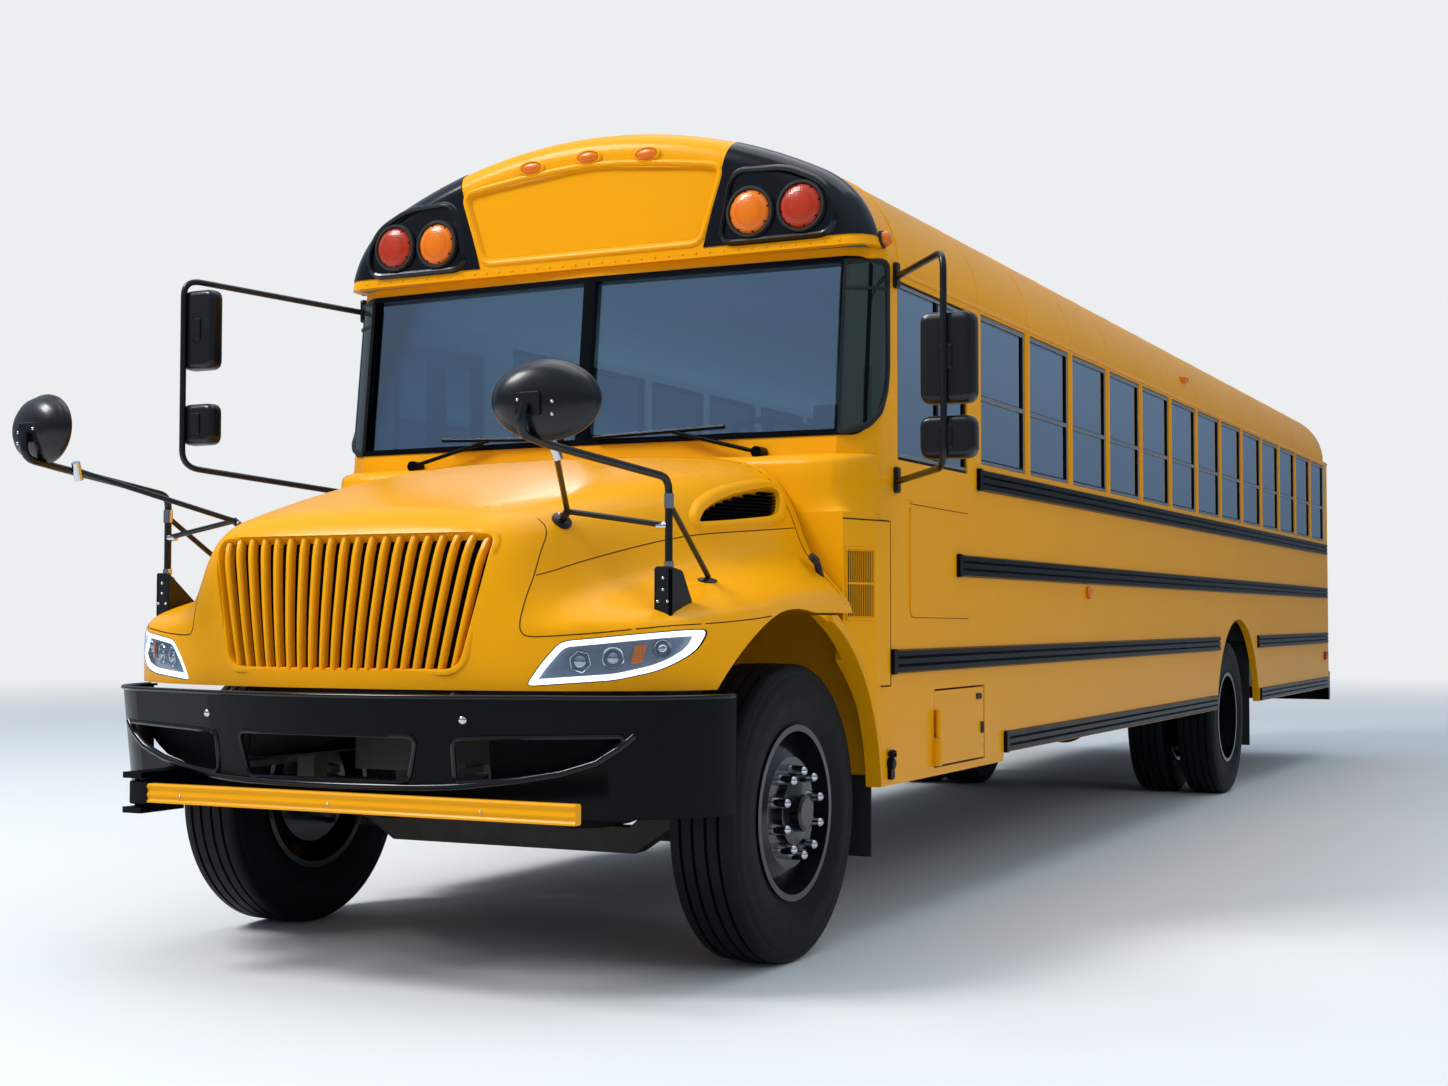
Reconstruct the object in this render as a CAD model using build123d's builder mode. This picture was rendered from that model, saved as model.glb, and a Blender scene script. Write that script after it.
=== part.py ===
from build123d import *
import math
import os

os.makedirs("parts", exist_ok=True)

# A conventional school bus, in millimetres.
# The front looks towards -Y, the driver's side is +X, and the ground is Z = 0.
# The origin is on the ground below the middle of the overall box.

# Driving sizes of the whole bus
OVERALL_LENGTH = 12_400
WHEELBASE = 7_010
FRONT_OVERHANG = 1_430
MIRROR_SPAN = 3_370
BODY_HALF = 1_204
ROOF_TOP_Z = 3_100
EAVES_Z = 2_510
FLOOR_TOP_Z = 1_050
TYRE_RADIUS = 509
TYRE_WIDTH = 254

FRONT_Y = -OVERALL_LENGTH / 2
FRONT_AXLE_Y = FRONT_Y + FRONT_OVERHANG
REAR_AXLE_Y = FRONT_AXLE_Y + WHEELBASE
BACK_Y = OVERALL_LENGTH / 2

# Clearances
SEAT_GAP = 0.3
PANEL_GAP = 8

# Body shell
WALL = 45
ROOF_THICK = 40
SHOULDER_RADIUS = 400
REAR_BUMPER_DEPTH = 120
BODY_BACK_Y = BACK_Y - REAR_BUMPER_DEPTH
REAR_WALL_THICK = 60
SIDE_FRONT_Y = FRONT_AXLE_Y + 680
SKIRT_Z = 586
FRONT_SKIRT_Z = 550
FRONT_SKIRT_LENGTH = 1_350
STEP_SKIRT_Z = 370

# Side windows
WINDOW_COUNT = 13
WINDOW_PITCH = 691.7
WINDOW_POST = 72
FIRST_POST_Y = FRONT_AXLE_Y + 1_710
WINDOW_BOTTOM_Z = 1_828
WINDOW_TOP_Z = 2_473
SASH_BAR_Z = 2_115
SASH_FACE = 24
SASH_DEPTH = 26
GLASS_THICK = 6
DRIVER_WINDOW_Y = (FRONT_AXLE_Y + 775, FRONT_AXLE_Y + 1_570)
DRIVER_WINDOW_Z = (1_775, 2_462)

# Rub rails on the sides: height of the top edge, height, front end and rear end
RAIL_PROUD = 15
RAIL_HEIGHT = 92
RAIL_BACK_Y = BODY_BACK_Y - 90
ARCH_RAIL_GAP = 640

# Wheel arches
REAR_ARCH_RADIUS = 706
REAR_ARCH_Y = REAR_AXLE_Y + 80
REAR_ARCH_Z = 460
FRONT_ARCH_RADIUS = 690
FRONT_ARCH_Y = FRONT_AXLE_Y - 100
FRONT_ARCH_Z = 515

# Chassis
FRAME_TOP_Z = 960
FRAME_DEPTH = 254
FRAME_HALF = 432
RAIL_FLANGE = 76
RAIL_WEB = 8
SILL_HEIGHT = 55
FLOOR_THICK = FLOOR_TOP_Z - FRAME_TOP_Z - SILL_HEIGHT

# Wheels
RIM_RADIUS = 285.75
FLANGE_RADIUS = 300
RIM_THICK = 8
RIM_HALF = 105
FRONT_WHEEL_X = 1_020
REAR_OUTER_X = 1_028
DUAL_SPACING = 330
REAR_MOUNT_X = REAR_OUTER_X - DUAL_SPACING / 2
KINGPIN_X = 860
KINGPIN_RADIUS = 18
SPINDLE_RADIUS = 32
REAR_SPINDLE_RADIUS = 50
DRUM_RADIUS = 200
STEER_ARM = 200
HUB_Z = TYRE_RADIUS

# Hood and front end
HOOD_BACK_Y = FRONT_AXLE_Y + 360
HOOD_PIVOT_Y = FRONT_AXLE_Y - 1_030
HOOD_PIVOT_Z = 920
HOOD_SKIN = 14
FIREWALL_Y = FRONT_AXLE_Y + 625
SCREEN_Y = FRONT_AXLE_Y + 450
SCREEN_BOTTOM_Z = 1_850
SCREEN_TOP_Z = 2_515
SCREEN_LEAN = 70
BUMPER_TOP_Z = 935
BUMPER_BOTTOM_Z = 560
BUMPER_SKIN = 8

# Doors
DOOR_FRONT_Y = FRONT_AXLE_Y + 800
DOOR_WIDTH = 700
DOOR_BOTTOM_Z = 420
DOOR_TOP_Z = 2_400
DOOR_THICK = 38
REAR_DOOR_HALF = 340
REAR_DOOR_BOTTOM_Z = 1_058
REAR_DOOR_TOP_Z = 2_420

# Seats
SEAT_ROWS = 12
SEAT_INNER_X = 165
SEAT_OUTER_X = 1_140
SEAT_FRONT_Y = FIRST_POST_Y + 420
CUSHION_TOP_Z = FLOOR_TOP_Z + 400
BACK_TOP_Z = FLOOR_TOP_Z + 1_080

pieces = {}


def section_at(y):
    """Plane across the bus at y: local X is X, local Y is Z, and it looks towards -Y."""
    return Plane(origin=(0, y, 0), x_dir=(1, 0, 0), z_dir=(0, -1, 0))


def side_at(x):
    """Plane along the bus at x: local X is Y, local Y is Z, and it looks towards +X."""
    return Plane(origin=(x, 0, 0), x_dir=(0, 1, 0), z_dir=(1, 0, 0))


def block(x_range, y_range, z_range, mode=Mode.ADD):
    """Box between two corners, in the part that is being built."""
    middle = [(low + high) / 2 for low, high in (x_range, y_range, z_range)]
    size = [high - low for low, high in (x_range, y_range, z_range)]
    with Locations(tuple(middle)):
        Box(*size, mode=mode)


def rod(start, end, radius, mode=Mode.ADD):
    """Round bar from start to end, in the part that is being built."""
    path = Vector(*end) - Vector(*start)
    with Locations(Plane(origin=start, z_dir=path).location):
        Cylinder(radius, path.length, align=(Align.CENTER, Align.CENTER, Align.MIN), mode=mode)


def roof_outline(half, top_z, inset=0, bottom_z=EAVES_Z):
    """Closed roof section from the eaves up: two shoulder arcs tangent to one crown arc."""
    a = half - inset
    b = top_z - EAVES_Z - inset
    r = SHOULDER_RADIUS - inset
    crown = (a * a - 2 * a * r + b * b) / (2 * (b - r))
    turn = math.atan2(a - r, crown - b)
    tangent = (a - r + r * math.sin(turn), EAVES_Z + r * math.cos(turn))
    shoulder = (a - r + r * math.cos(math.pi / 4 - turn / 2), EAVES_Z + r * math.sin(math.pi / 4 - turn / 2))
    with BuildLine() as line:
        Line((-a, bottom_z), (a, bottom_z))
        if bottom_z < EAVES_Z:
            Line((a, bottom_z), (a, EAVES_Z))
            Line((-a, EAVES_Z), (-a, bottom_z))
        ThreePointArc((a, EAVES_Z), shoulder, tangent)
        ThreePointArc(tangent, (0, top_z - inset), (-tangent[0], tangent[1]))
        ThreePointArc((-tangent[0], tangent[1]), (-shoulder[0], shoulder[1]), (-a, EAVES_Z))
    return line.wires()[0]


# Chassis frame: two channel rails joined by cross members
FRAME_FRONT_Y = FRONT_AXLE_Y - 960
FRAME_BACK_Y = BODY_BACK_Y - REAR_WALL_THICK - SEAT_GAP
CROSS_MEMBER_YS = [FRAME_FRONT_Y + 60, FRONT_AXLE_Y + 1_700, FRONT_AXLE_Y + 2_800, FRONT_AXLE_Y + 3_950,
                   REAR_AXLE_Y - 1_200, REAR_AXLE_Y + 800, REAR_AXLE_Y + 2_200, FRAME_BACK_Y - 60]
CROSS_MEMBER_Z = (FRAME_TOP_Z - 120, FRAME_TOP_Z - 20)
BRACKET_THICK = 10
EAR_RADIUS = 22
PIVOT_PIN_RADIUS = 10
PIVOT_INNER_X = 345
FRAME_BOTTOM_Z = FRAME_TOP_Z - FRAME_DEPTH
TOW_EYE = {"x": FRAME_HALF - RAIL_FLANGE / 2, "y": FRAME_FRONT_Y - 45, "outer": 44, "bore": 22, "thick": 20,
           "tail": 140}
with BuildPart() as frame_rails:
    with BuildSketch(section_at(FRAME_FRONT_Y)):
        with Locations((FRAME_HALF - RAIL_FLANGE / 2, FRAME_TOP_Z - FRAME_DEPTH / 2)):
            Rectangle(RAIL_FLANGE, FRAME_DEPTH)
        with Locations((FRAME_HALF - RAIL_WEB - RAIL_FLANGE / 2, FRAME_TOP_Z - FRAME_DEPTH / 2)):
            Rectangle(RAIL_FLANGE, FRAME_DEPTH - 2 * RAIL_WEB, mode=Mode.SUBTRACT)
        mirror(about=Plane.YZ)
    extrude(amount=-(FRAME_BACK_Y - FRAME_FRONT_Y))
    for y in CROSS_MEMBER_YS:
        block((-FRAME_HALF + RAIL_WEB, FRAME_HALF - RAIL_WEB), (y - 35, y + 35), CROSS_MEMBER_Z)
    # Bumper brackets with the ears that carry the hood's pivot pins
    with BuildSketch(side_at(FRAME_HALF)):
        with BuildLine():
            Polyline((HOOD_PIVOT_Y - 36.2, 720), (HOOD_PIVOT_Y - 57.5, 880), (HOOD_PIVOT_Y - EAR_RADIUS, HOOD_PIVOT_Z),
                     (HOOD_PIVOT_Y + EAR_RADIUS, HOOD_PIVOT_Z), (FRAME_FRONT_Y + 60, 880),
                     (FRAME_FRONT_Y + 60, 720), close=True)
        make_face()
        with Locations((HOOD_PIVOT_Y, HOOD_PIVOT_Z)):
            Circle(EAR_RADIUS)
    extrude(amount=BRACKET_THICK)
    with BuildSketch(side_at(FRAME_HALF + BRACKET_THICK)):
        with Locations((HOOD_PIVOT_Y, HOOD_PIVOT_Z)):
            Circle(PIVOT_PIN_RADIUS)
    extrude(amount=-(FRAME_HALF + BRACKET_THICK - PIVOT_INNER_X))
    # Tow eyes: plates under the rails that reach out in front of them
    with BuildSketch(Plane.XY.offset(FRAME_BOTTOM_Z - TOW_EYE["thick"])):
        with Locations((TOW_EYE["x"], TOW_EYE["y"])):
            Circle(TOW_EYE["outer"])
            Rectangle(2 * TOW_EYE["outer"], TOW_EYE["tail"], align=(Align.CENTER, Align.MIN))
            Circle(TOW_EYE["bore"], mode=Mode.SUBTRACT)
    extrude(amount=TOW_EYE["thick"])
    mirror(about=Plane.YZ)
pieces["frame_rails"] = frame_rails

# Engine with its gearbox, and the radiator behind the grille
ENGINE_Y = (FRONT_AXLE_Y - 560, FRONT_AXLE_Y + 560)
GEARBOX_BACK_Y = FRONT_AXLE_Y + 1_300
with BuildPart() as engine_block:
    block((-300, 300), ENGINE_Y, (650, 1_400))
    with BuildSketch(section_at(ENGINE_Y[1])):
        with Locations((0, 830)):
            Rectangle(440, 320)
    with BuildSketch(section_at(GEARBOX_BACK_Y)):
        with Locations((0, 800)):
            Rectangle(260, 240)
    loft()
    block((-380, 380), (FRONT_AXLE_Y - 800, FRONT_AXLE_Y - 740), (FRAME_TOP_Z + 15, 1_400))
    block((-240, 240), (FRONT_AXLE_Y - 741, FRONT_AXLE_Y - 559), (FRAME_TOP_Z + 40, 1_300))
pieces["engine_block"] = engine_block

# Front axle beam, dropped between its ends, with the fixed kingpins
BEAM_HALF_WIDTH = 42
EYE_RADIUS = 38
EYE_Z = (450, 570)
with BuildPart() as front_axle_beam:
    with BuildSketch(section_at(FRONT_AXLE_Y + BEAM_HALF_WIDTH)):
        with BuildLine():
            Polyline((0, 340), (520, 340), (700, 458), (KINGPIN_X, 458), (KINGPIN_X, 562),
                     (660, 562), (500, 432), (0, 432), close=True)
        make_face()
        mirror(about=Plane.YZ)
    extrude(amount=2 * BEAM_HALF_WIDTH)
    for side in (-1, 1):
        with Locations((side * KINGPIN_X, FRONT_AXLE_Y, HUB_Z)):
            Cylinder(EYE_RADIUS, EYE_Z[1] - EYE_Z[0])
            Cylinder(KINGPIN_RADIUS, 210)
pieces["front_axle_beam"] = front_axle_beam

# Rear axle housing with its spindles
PINION_LENGTH = 420
with BuildPart() as rear_axle:
    with Locations(Plane(origin=(0, REAR_AXLE_Y, HUB_Z), z_dir=(1, 0, 0)).location):
        Cylinder(80, 1_080)
        Cylinder(REAR_SPINDLE_RADIUS, 2 * (REAR_MOUNT_X + 60))
    with Locations((0, REAR_AXLE_Y, HUB_Z)):
        Sphere(205)
    with Locations(Plane(origin=(0, REAR_AXLE_Y, HUB_Z), z_dir=(0, -1, 0)).location):
        Cone(150, 60, PINION_LENGTH, align=(Align.CENTER, Align.CENTER, Align.MIN))
pieces["rear_axle"] = rear_axle

# Drive shaft in two lengths with a bearing at the cross member
SHAFT_RADIUS = 48
YOKE_LENGTH = 60
SHAFT_FRONT = (0, GEARBOX_BACK_Y + YOKE_LENGTH / 2, 800)
SHAFT_MIDDLE = (0, FRONT_AXLE_Y + 3_950, 700)
SHAFT_BACK = (0, REAR_AXLE_Y - PINION_LENGTH - YOKE_LENGTH / 2, HUB_Z)
with BuildPart() as driveshaft:
    rod(SHAFT_FRONT, SHAFT_MIDDLE, SHAFT_RADIUS)
    rod(SHAFT_MIDDLE, SHAFT_BACK, SHAFT_RADIUS)
    with Locations(SHAFT_MIDDLE):
        Sphere(64)
    block((-40, 40), (SHAFT_MIDDLE[1] - 20, SHAFT_MIDDLE[1] + 20), (690, CROSS_MEMBER_Z[0] - SEAT_GAP))
    for y, z in ((SHAFT_FRONT[1], SHAFT_FRONT[2]), (SHAFT_BACK[1], SHAFT_BACK[2])):
        rod((0, y - YOKE_LENGTH / 2 + SEAT_GAP, z), (0, y + YOKE_LENGTH / 2 - SEAT_GAP, z), 62)
    for y, side in ((GEARBOX_BACK_Y, -1), (REAR_AXLE_Y - PINION_LENGTH, 1)):
        block((-90, 90), sorted((y + side * 100, y - side * SEAT_GAP)), (HUB_Z - 90, 900), mode=Mode.SUBTRACT)
pieces["driveshaft"] = driveshaft

# Leaf springs under the rails: axle place, height of the seat on the axle, half length, centre X
SPRINGS = [
    (FRONT_AXLE_Y, 432, 680, 392),
    (REAR_AXLE_Y, 589, 720, 392),
]
LEAF_HALF_WIDTH = 36
with BuildPart() as leaf_springs:
    for axle_y, seat_z, half_length, centre_x in SPRINGS:
        with BuildSketch(side_at(centre_x - LEAF_HALF_WIDTH)):
            rail_z = FRAME_TOP_Z - FRAME_DEPTH
            rise = rail_z - 60
            with BuildLine():
                ThreePointArc((axle_y - half_length, rise), (axle_y, seat_z + 42), (axle_y + half_length, rise))
                Line((axle_y + half_length, rise), (axle_y + half_length, rise - 14))
                Line((axle_y + half_length, rise - 14), (axle_y + 330, seat_z + 20))
                Line((axle_y + 330, seat_z + 20), (axle_y + 90, seat_z))
                Line((axle_y + 90, seat_z), (axle_y - 90, seat_z))
                Line((axle_y - 90, seat_z), (axle_y - 330, seat_z + 20))
                Line((axle_y - 330, seat_z + 20), (axle_y - half_length, rise - 14))
                Line((axle_y - half_length, rise - 14), (axle_y - half_length, rise))
            make_face()
            for end in (-1, 1):
                with Locations((axle_y + end * half_length, rail_z - 45)):
                    Rectangle(70, 90)
        extrude(amount=2 * LEAF_HALF_WIDTH)
    mirror(about=Plane.YZ)
pieces["leaf_springs"] = leaf_springs

# Fuel tank between the rails and its straps, behind the rear axle
TANK_Y = (REAR_AXLE_Y + 950, REAR_AXLE_Y + 2_050)
with BuildPart() as fuel_tank:
    with BuildSketch(section_at(TANK_Y[0])):
        with Locations((0, 640)):
            RectangleRounded(660, 330, 60)
    extrude(amount=-(TANK_Y[1] - TANK_Y[0]))
    for y in (TANK_Y[0] + 200, TANK_Y[1] - 200):
        block((-340, 340), (y - 30, y + 30), (468, 475))
        for side in (-1, 1):
            block(sorted((side * 331, side * 345)), (y - 30, y + 30), (468, FRAME_TOP_Z - 20))
            block(sorted((side * 331, side * (FRAME_HALF - RAIL_FLANGE - SEAT_GAP))), (y - 30, y + 30),
                  (FRAME_TOP_Z - FRAME_DEPTH - 6, FRAME_TOP_Z - FRAME_DEPTH + 10))
pieces["fuel_tank"] = fuel_tank

# Exhaust: pipe and silencer outside the right-hand rail, with its hangers
EXHAUST_X = -610
EXHAUST_Z = 640
with BuildPart() as exhaust:
    rod((EXHAUST_X, FRONT_AXLE_Y + 1_750, EXHAUST_Z), (EXHAUST_X, REAR_AXLE_Y - 1_050, EXHAUST_Z), 50)
    rod((EXHAUST_X, FRONT_AXLE_Y + 3_000, EXHAUST_Z), (EXHAUST_X, FRONT_AXLE_Y + 4_200, EXHAUST_Z), 130)
    for y in (FRONT_AXLE_Y + 2_400, REAR_AXLE_Y - 1_400):
        block((EXHAUST_X - 12, -FRAME_HALF), (y - 20, y + 20), (EXHAUST_Z + 30, EXHAUST_Z + 120))
pieces["exhaust"] = exhaust

# Floor on its sills, open over the rear wheels under two boxes, with the step well
BOX_HALF_LENGTH = 640
BOX_TOP_Z = 1_190
BOX_INNER_X = 520
BOX_SHEET = 8
INNER_HALF = BODY_HALF - WALL - SEAT_GAP
FLOOR_FRONT_Y = FIREWALL_Y + 40 + SEAT_GAP
FLOOR_BACK_Y = BODY_BACK_Y - REAR_WALL_THICK - SEAT_GAP
STEP_INNER_X = -560
STEP_RISE = (FLOOR_TOP_Z - DOOR_BOTTOM_Z) / 3
STEP_SHEET = 12
step_y = (DOOR_FRONT_Y, DOOR_FRONT_Y + DOOR_WIDTH)
with BuildPart() as floor_pan:
    block((-INNER_HALF, INNER_HALF), (FLOOR_FRONT_Y, FLOOR_BACK_Y), (FLOOR_TOP_Z - FLOOR_THICK, FLOOR_TOP_Z))
    sill_y = SIDE_FRONT_Y + 1_000
    while sill_y < FLOOR_BACK_Y - 60:
        if abs(sill_y - REAR_AXLE_Y) > BOX_HALF_LENGTH + 40:
            block((-INNER_HALF, INNER_HALF), (sill_y - 20, sill_y + 20), (FRAME_TOP_Z, FLOOR_TOP_Z - FLOOR_THICK))
        sill_y += WINDOW_PITCH
    for side in (-1, 1):
        block(sorted((side * (BOX_INNER_X + BOX_SHEET), side * INNER_HALF)),
              (REAR_AXLE_Y - BOX_HALF_LENGTH + BOX_SHEET, REAR_AXLE_Y + BOX_HALF_LENGTH - BOX_SHEET),
              (FLOOR_TOP_Z - FLOOR_THICK, FLOOR_TOP_Z), mode=Mode.SUBTRACT)
    block((-INNER_HALF, STEP_INNER_X + STEP_SHEET + SEAT_GAP), (step_y[0] - SEAT_GAP, step_y[1] + SEAT_GAP),
          (FLOOR_TOP_Z - FLOOR_THICK, FLOOR_TOP_Z), mode=Mode.SUBTRACT)
pieces["floor_pan"] = floor_pan

# Boxes over the rear wheels, open towards the wheels
with BuildPart() as wheel_boxes:
    for side in (-1, 1):
        outer = sorted((side * BOX_INNER_X, side * INNER_HALF))
        inner = sorted((side * (BOX_INNER_X + BOX_SHEET), side * INNER_HALF))
        block(outer, (REAR_AXLE_Y - BOX_HALF_LENGTH, REAR_AXLE_Y + BOX_HALF_LENGTH),
              (FLOOR_TOP_Z + SEAT_GAP, BOX_TOP_Z))
        block(inner, (REAR_AXLE_Y - BOX_HALF_LENGTH + BOX_SHEET, REAR_AXLE_Y + BOX_HALF_LENGTH - BOX_SHEET),
              (FLOOR_TOP_Z, BOX_TOP_Z - BOX_SHEET), mode=Mode.SUBTRACT)
pieces["wheel_boxes"] = wheel_boxes

# Step well behind the entrance door: one bent sheet with two treads
with BuildPart() as entrance_steps:
    with BuildSketch(section_at(step_y[0])):
        tread = (INNER_HALF + STEP_INNER_X) / 2
        low = [(-INNER_HALF, DOOR_BOTTOM_Z), (-INNER_HALF + tread, DOOR_BOTTOM_Z),
               (-INNER_HALF + tread, DOOR_BOTTOM_Z + STEP_RISE), (STEP_INNER_X, DOOR_BOTTOM_Z + STEP_RISE),
               (STEP_INNER_X, FLOOR_TOP_Z)]
        with BuildLine():
            Polyline(*low, (STEP_INNER_X + STEP_SHEET, FLOOR_TOP_Z),
                     (STEP_INNER_X + STEP_SHEET, DOOR_BOTTOM_Z + STEP_RISE - STEP_SHEET),
                     (-INNER_HALF + tread + STEP_SHEET, DOOR_BOTTOM_Z + STEP_RISE - STEP_SHEET),
                     (-INNER_HALF + tread + STEP_SHEET, DOOR_BOTTOM_Z - STEP_SHEET),
                     (-INNER_HALF, DOOR_BOTTOM_Z - STEP_SHEET), close=True)
        make_face()
    extrude(amount=-DOOR_WIDTH)
pieces["entrance_steps"] = entrance_steps

# Side walls: one panel each side, with its windows, the rear arch and the door openings cut
WALL_BACK_Y = BODY_BACK_Y - REAR_WALL_THICK
HATCH_Y = (FRONT_AXLE_Y + 1_165, FRONT_AXLE_Y + 1_775)
HATCH_Z = (FRONT_SKIRT_Z + 30, 892)
window_ys = [FIRST_POST_Y + WINDOW_PITCH * (i + 0.5) for i in range(WINDOW_COUNT)]
WINDOW_WIDTH = WINDOW_PITCH - WINDOW_POST
WINDOW_HEIGHT = WINDOW_TOP_Z - WINDOW_BOTTOM_Z
WINDOW_MIDDLE_Z = (WINDOW_TOP_Z + WINDOW_BOTTOM_Z) / 2
DRIVER_WINDOW_SIZE = (DRIVER_WINDOW_Y[1] - DRIVER_WINDOW_Y[0], DRIVER_WINDOW_Z[1] - DRIVER_WINDOW_Z[0])
DRIVER_WINDOW_MIDDLE = (sum(DRIVER_WINDOW_Y) / 2, sum(DRIVER_WINDOW_Z) / 2)
DOOR_BACK_Y = DOOR_FRONT_Y + DOOR_WIDTH
DOOR_MIDDLE = (DOOR_FRONT_Y + DOOR_WIDTH / 2, (DOOR_BOTTOM_Z + DOOR_TOP_Z) / 2)
FRONT_SKIRT_BACK_Y = SIDE_FRONT_Y + FRONT_SKIRT_LENGTH
for name, side, front_bottom in (("wall_left", 1, FRONT_SKIRT_Z), ("wall_right", -1, STEP_SKIRT_Z)):
    with BuildPart() as wall:
        with BuildSketch(side_at(BODY_HALF - WALL if side > 0 else -BODY_HALF)):
            with BuildLine():
                Polyline((SIDE_FRONT_Y, front_bottom), (FRONT_SKIRT_BACK_Y, front_bottom),
                         (FRONT_SKIRT_BACK_Y, SKIRT_Z), (WALL_BACK_Y, SKIRT_Z), (WALL_BACK_Y, EAVES_Z),
                         (SIDE_FRONT_Y, EAVES_Z), close=True)
            make_face()
            with Locations(*[(y, WINDOW_MIDDLE_Z) for y in window_ys]):
                Rectangle(WINDOW_WIDTH, WINDOW_HEIGHT, mode=Mode.SUBTRACT)
            with Locations((REAR_ARCH_Y, REAR_ARCH_Z)):
                Circle(REAR_ARCH_RADIUS, mode=Mode.SUBTRACT)
            if side > 0:
                with Locations(DRIVER_WINDOW_MIDDLE):
                    Rectangle(*DRIVER_WINDOW_SIZE, mode=Mode.SUBTRACT)
                with Locations((sum(HATCH_Y) / 2, sum(HATCH_Z) / 2)):
                    Rectangle(HATCH_Y[1] - HATCH_Y[0], HATCH_Z[1] - HATCH_Z[0], mode=Mode.SUBTRACT)
            else:
                with Locations(DOOR_MIDDLE):
                    Rectangle(DOOR_WIDTH, DOOR_TOP_Z - DOOR_BOTTOM_Z, mode=Mode.SUBTRACT)
        extrude(amount=WALL)
    pieces[name] = wall

# Windows in the side walls: an outer frame with a bar, and one pane behind it
FRAME_OUT_X = BODY_HALF - 8
SASH_BACK_X = FRAME_OUT_X - SASH_DEPTH
driver_opening = (DRIVER_WINDOW_MIDDLE, DRIVER_WINDOW_SIZE)
side_openings = [((y, WINDOW_MIDDLE_Z), (WINDOW_WIDTH, WINDOW_HEIGHT)) for y in window_ys]
with BuildPart() as window_sashes:
    for side in (-1, 1):
        face_x = SASH_BACK_X if side > 0 else -FRAME_OUT_X
        for centre, size in side_openings:
            with BuildSketch(side_at(face_x)):
                with Locations(centre):
                    Rectangle(size[0] - 2 * SEAT_GAP, size[1] - 2 * SEAT_GAP)
                    Rectangle(size[0] - 2 * SASH_FACE, size[1] - 2 * SASH_FACE, mode=Mode.SUBTRACT)
                with Locations((centre[0], SASH_BAR_Z)):
                    Rectangle(size[0] - 2 * SASH_FACE, SASH_FACE)
            extrude(amount=SASH_DEPTH)
    with BuildSketch(side_at(SASH_BACK_X)):
        with Locations(driver_opening[0]):
            Rectangle(*[length - 2 * SEAT_GAP for length in driver_opening[1]])
            Rectangle(*[length - 2 * SASH_FACE for length in driver_opening[1]], mode=Mode.SUBTRACT)
        with Locations((driver_opening[0][0] + 60, driver_opening[0][1])):
            Rectangle(SASH_FACE, driver_opening[1][1] - 2 * SASH_FACE)
    extrude(amount=SASH_DEPTH)

PANE_MARGIN = 6
with BuildPart() as side_glass:
    for side in (-1, 1):
        inner_x = SASH_BACK_X - SEAT_GAP - GLASS_THICK
        for centre, size in side_openings + ([driver_opening] if side > 0 else []):
            with BuildSketch(side_at(inner_x if side > 0 else -inner_x - GLASS_THICK)):
                with Locations(centre):
                    Rectangle(*[length - 2 * PANE_MARGIN for length in size])
            extrude(amount=GLASS_THICK)

# Cowl: the front of the body with the windshield opening, the side panels behind the hood,
# the firewall and the rear half of each front wheel arch
SCREEN_HEAD_Z = 2_560
FLARE_Z = 1_192
DECK_TOP_Z = 1_560
DECK_THICK = 22
PILLAR_X = 1_178
# Plan of the front face: half width, set back from the middle of the face
SCREEN_PLAN = [(0, 0), (1_075, 40), (1_165, 92), (BODY_HALF, 150)]
FRONT_WALL = 40


def lean(z):
    """How far the front face has leaned back at height z."""
    return SCREEN_LEAN * (z - SCREEN_BOTTOM_Z) / (SCREEN_TOP_Z - SCREEN_BOTTOM_Z)


def front_plan(z, inset=0.0, back_y=SIDE_FRONT_Y):
    """Closed plan of the front of the body at height z, from the face back to back_y."""
    face_y = SCREEN_Y + lean(z)
    half = [(x - inset if x > 0 else 0, face_y + set_back + inset) for x, set_back in SCREEN_PLAN[:-1]]
    half += [(BODY_HALF - inset, face_y + SCREEN_PLAN[-1][1]), (BODY_HALF - inset, back_y)]
    return half + [(-x, y) for x, y in reversed(half) if x > 0]


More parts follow.
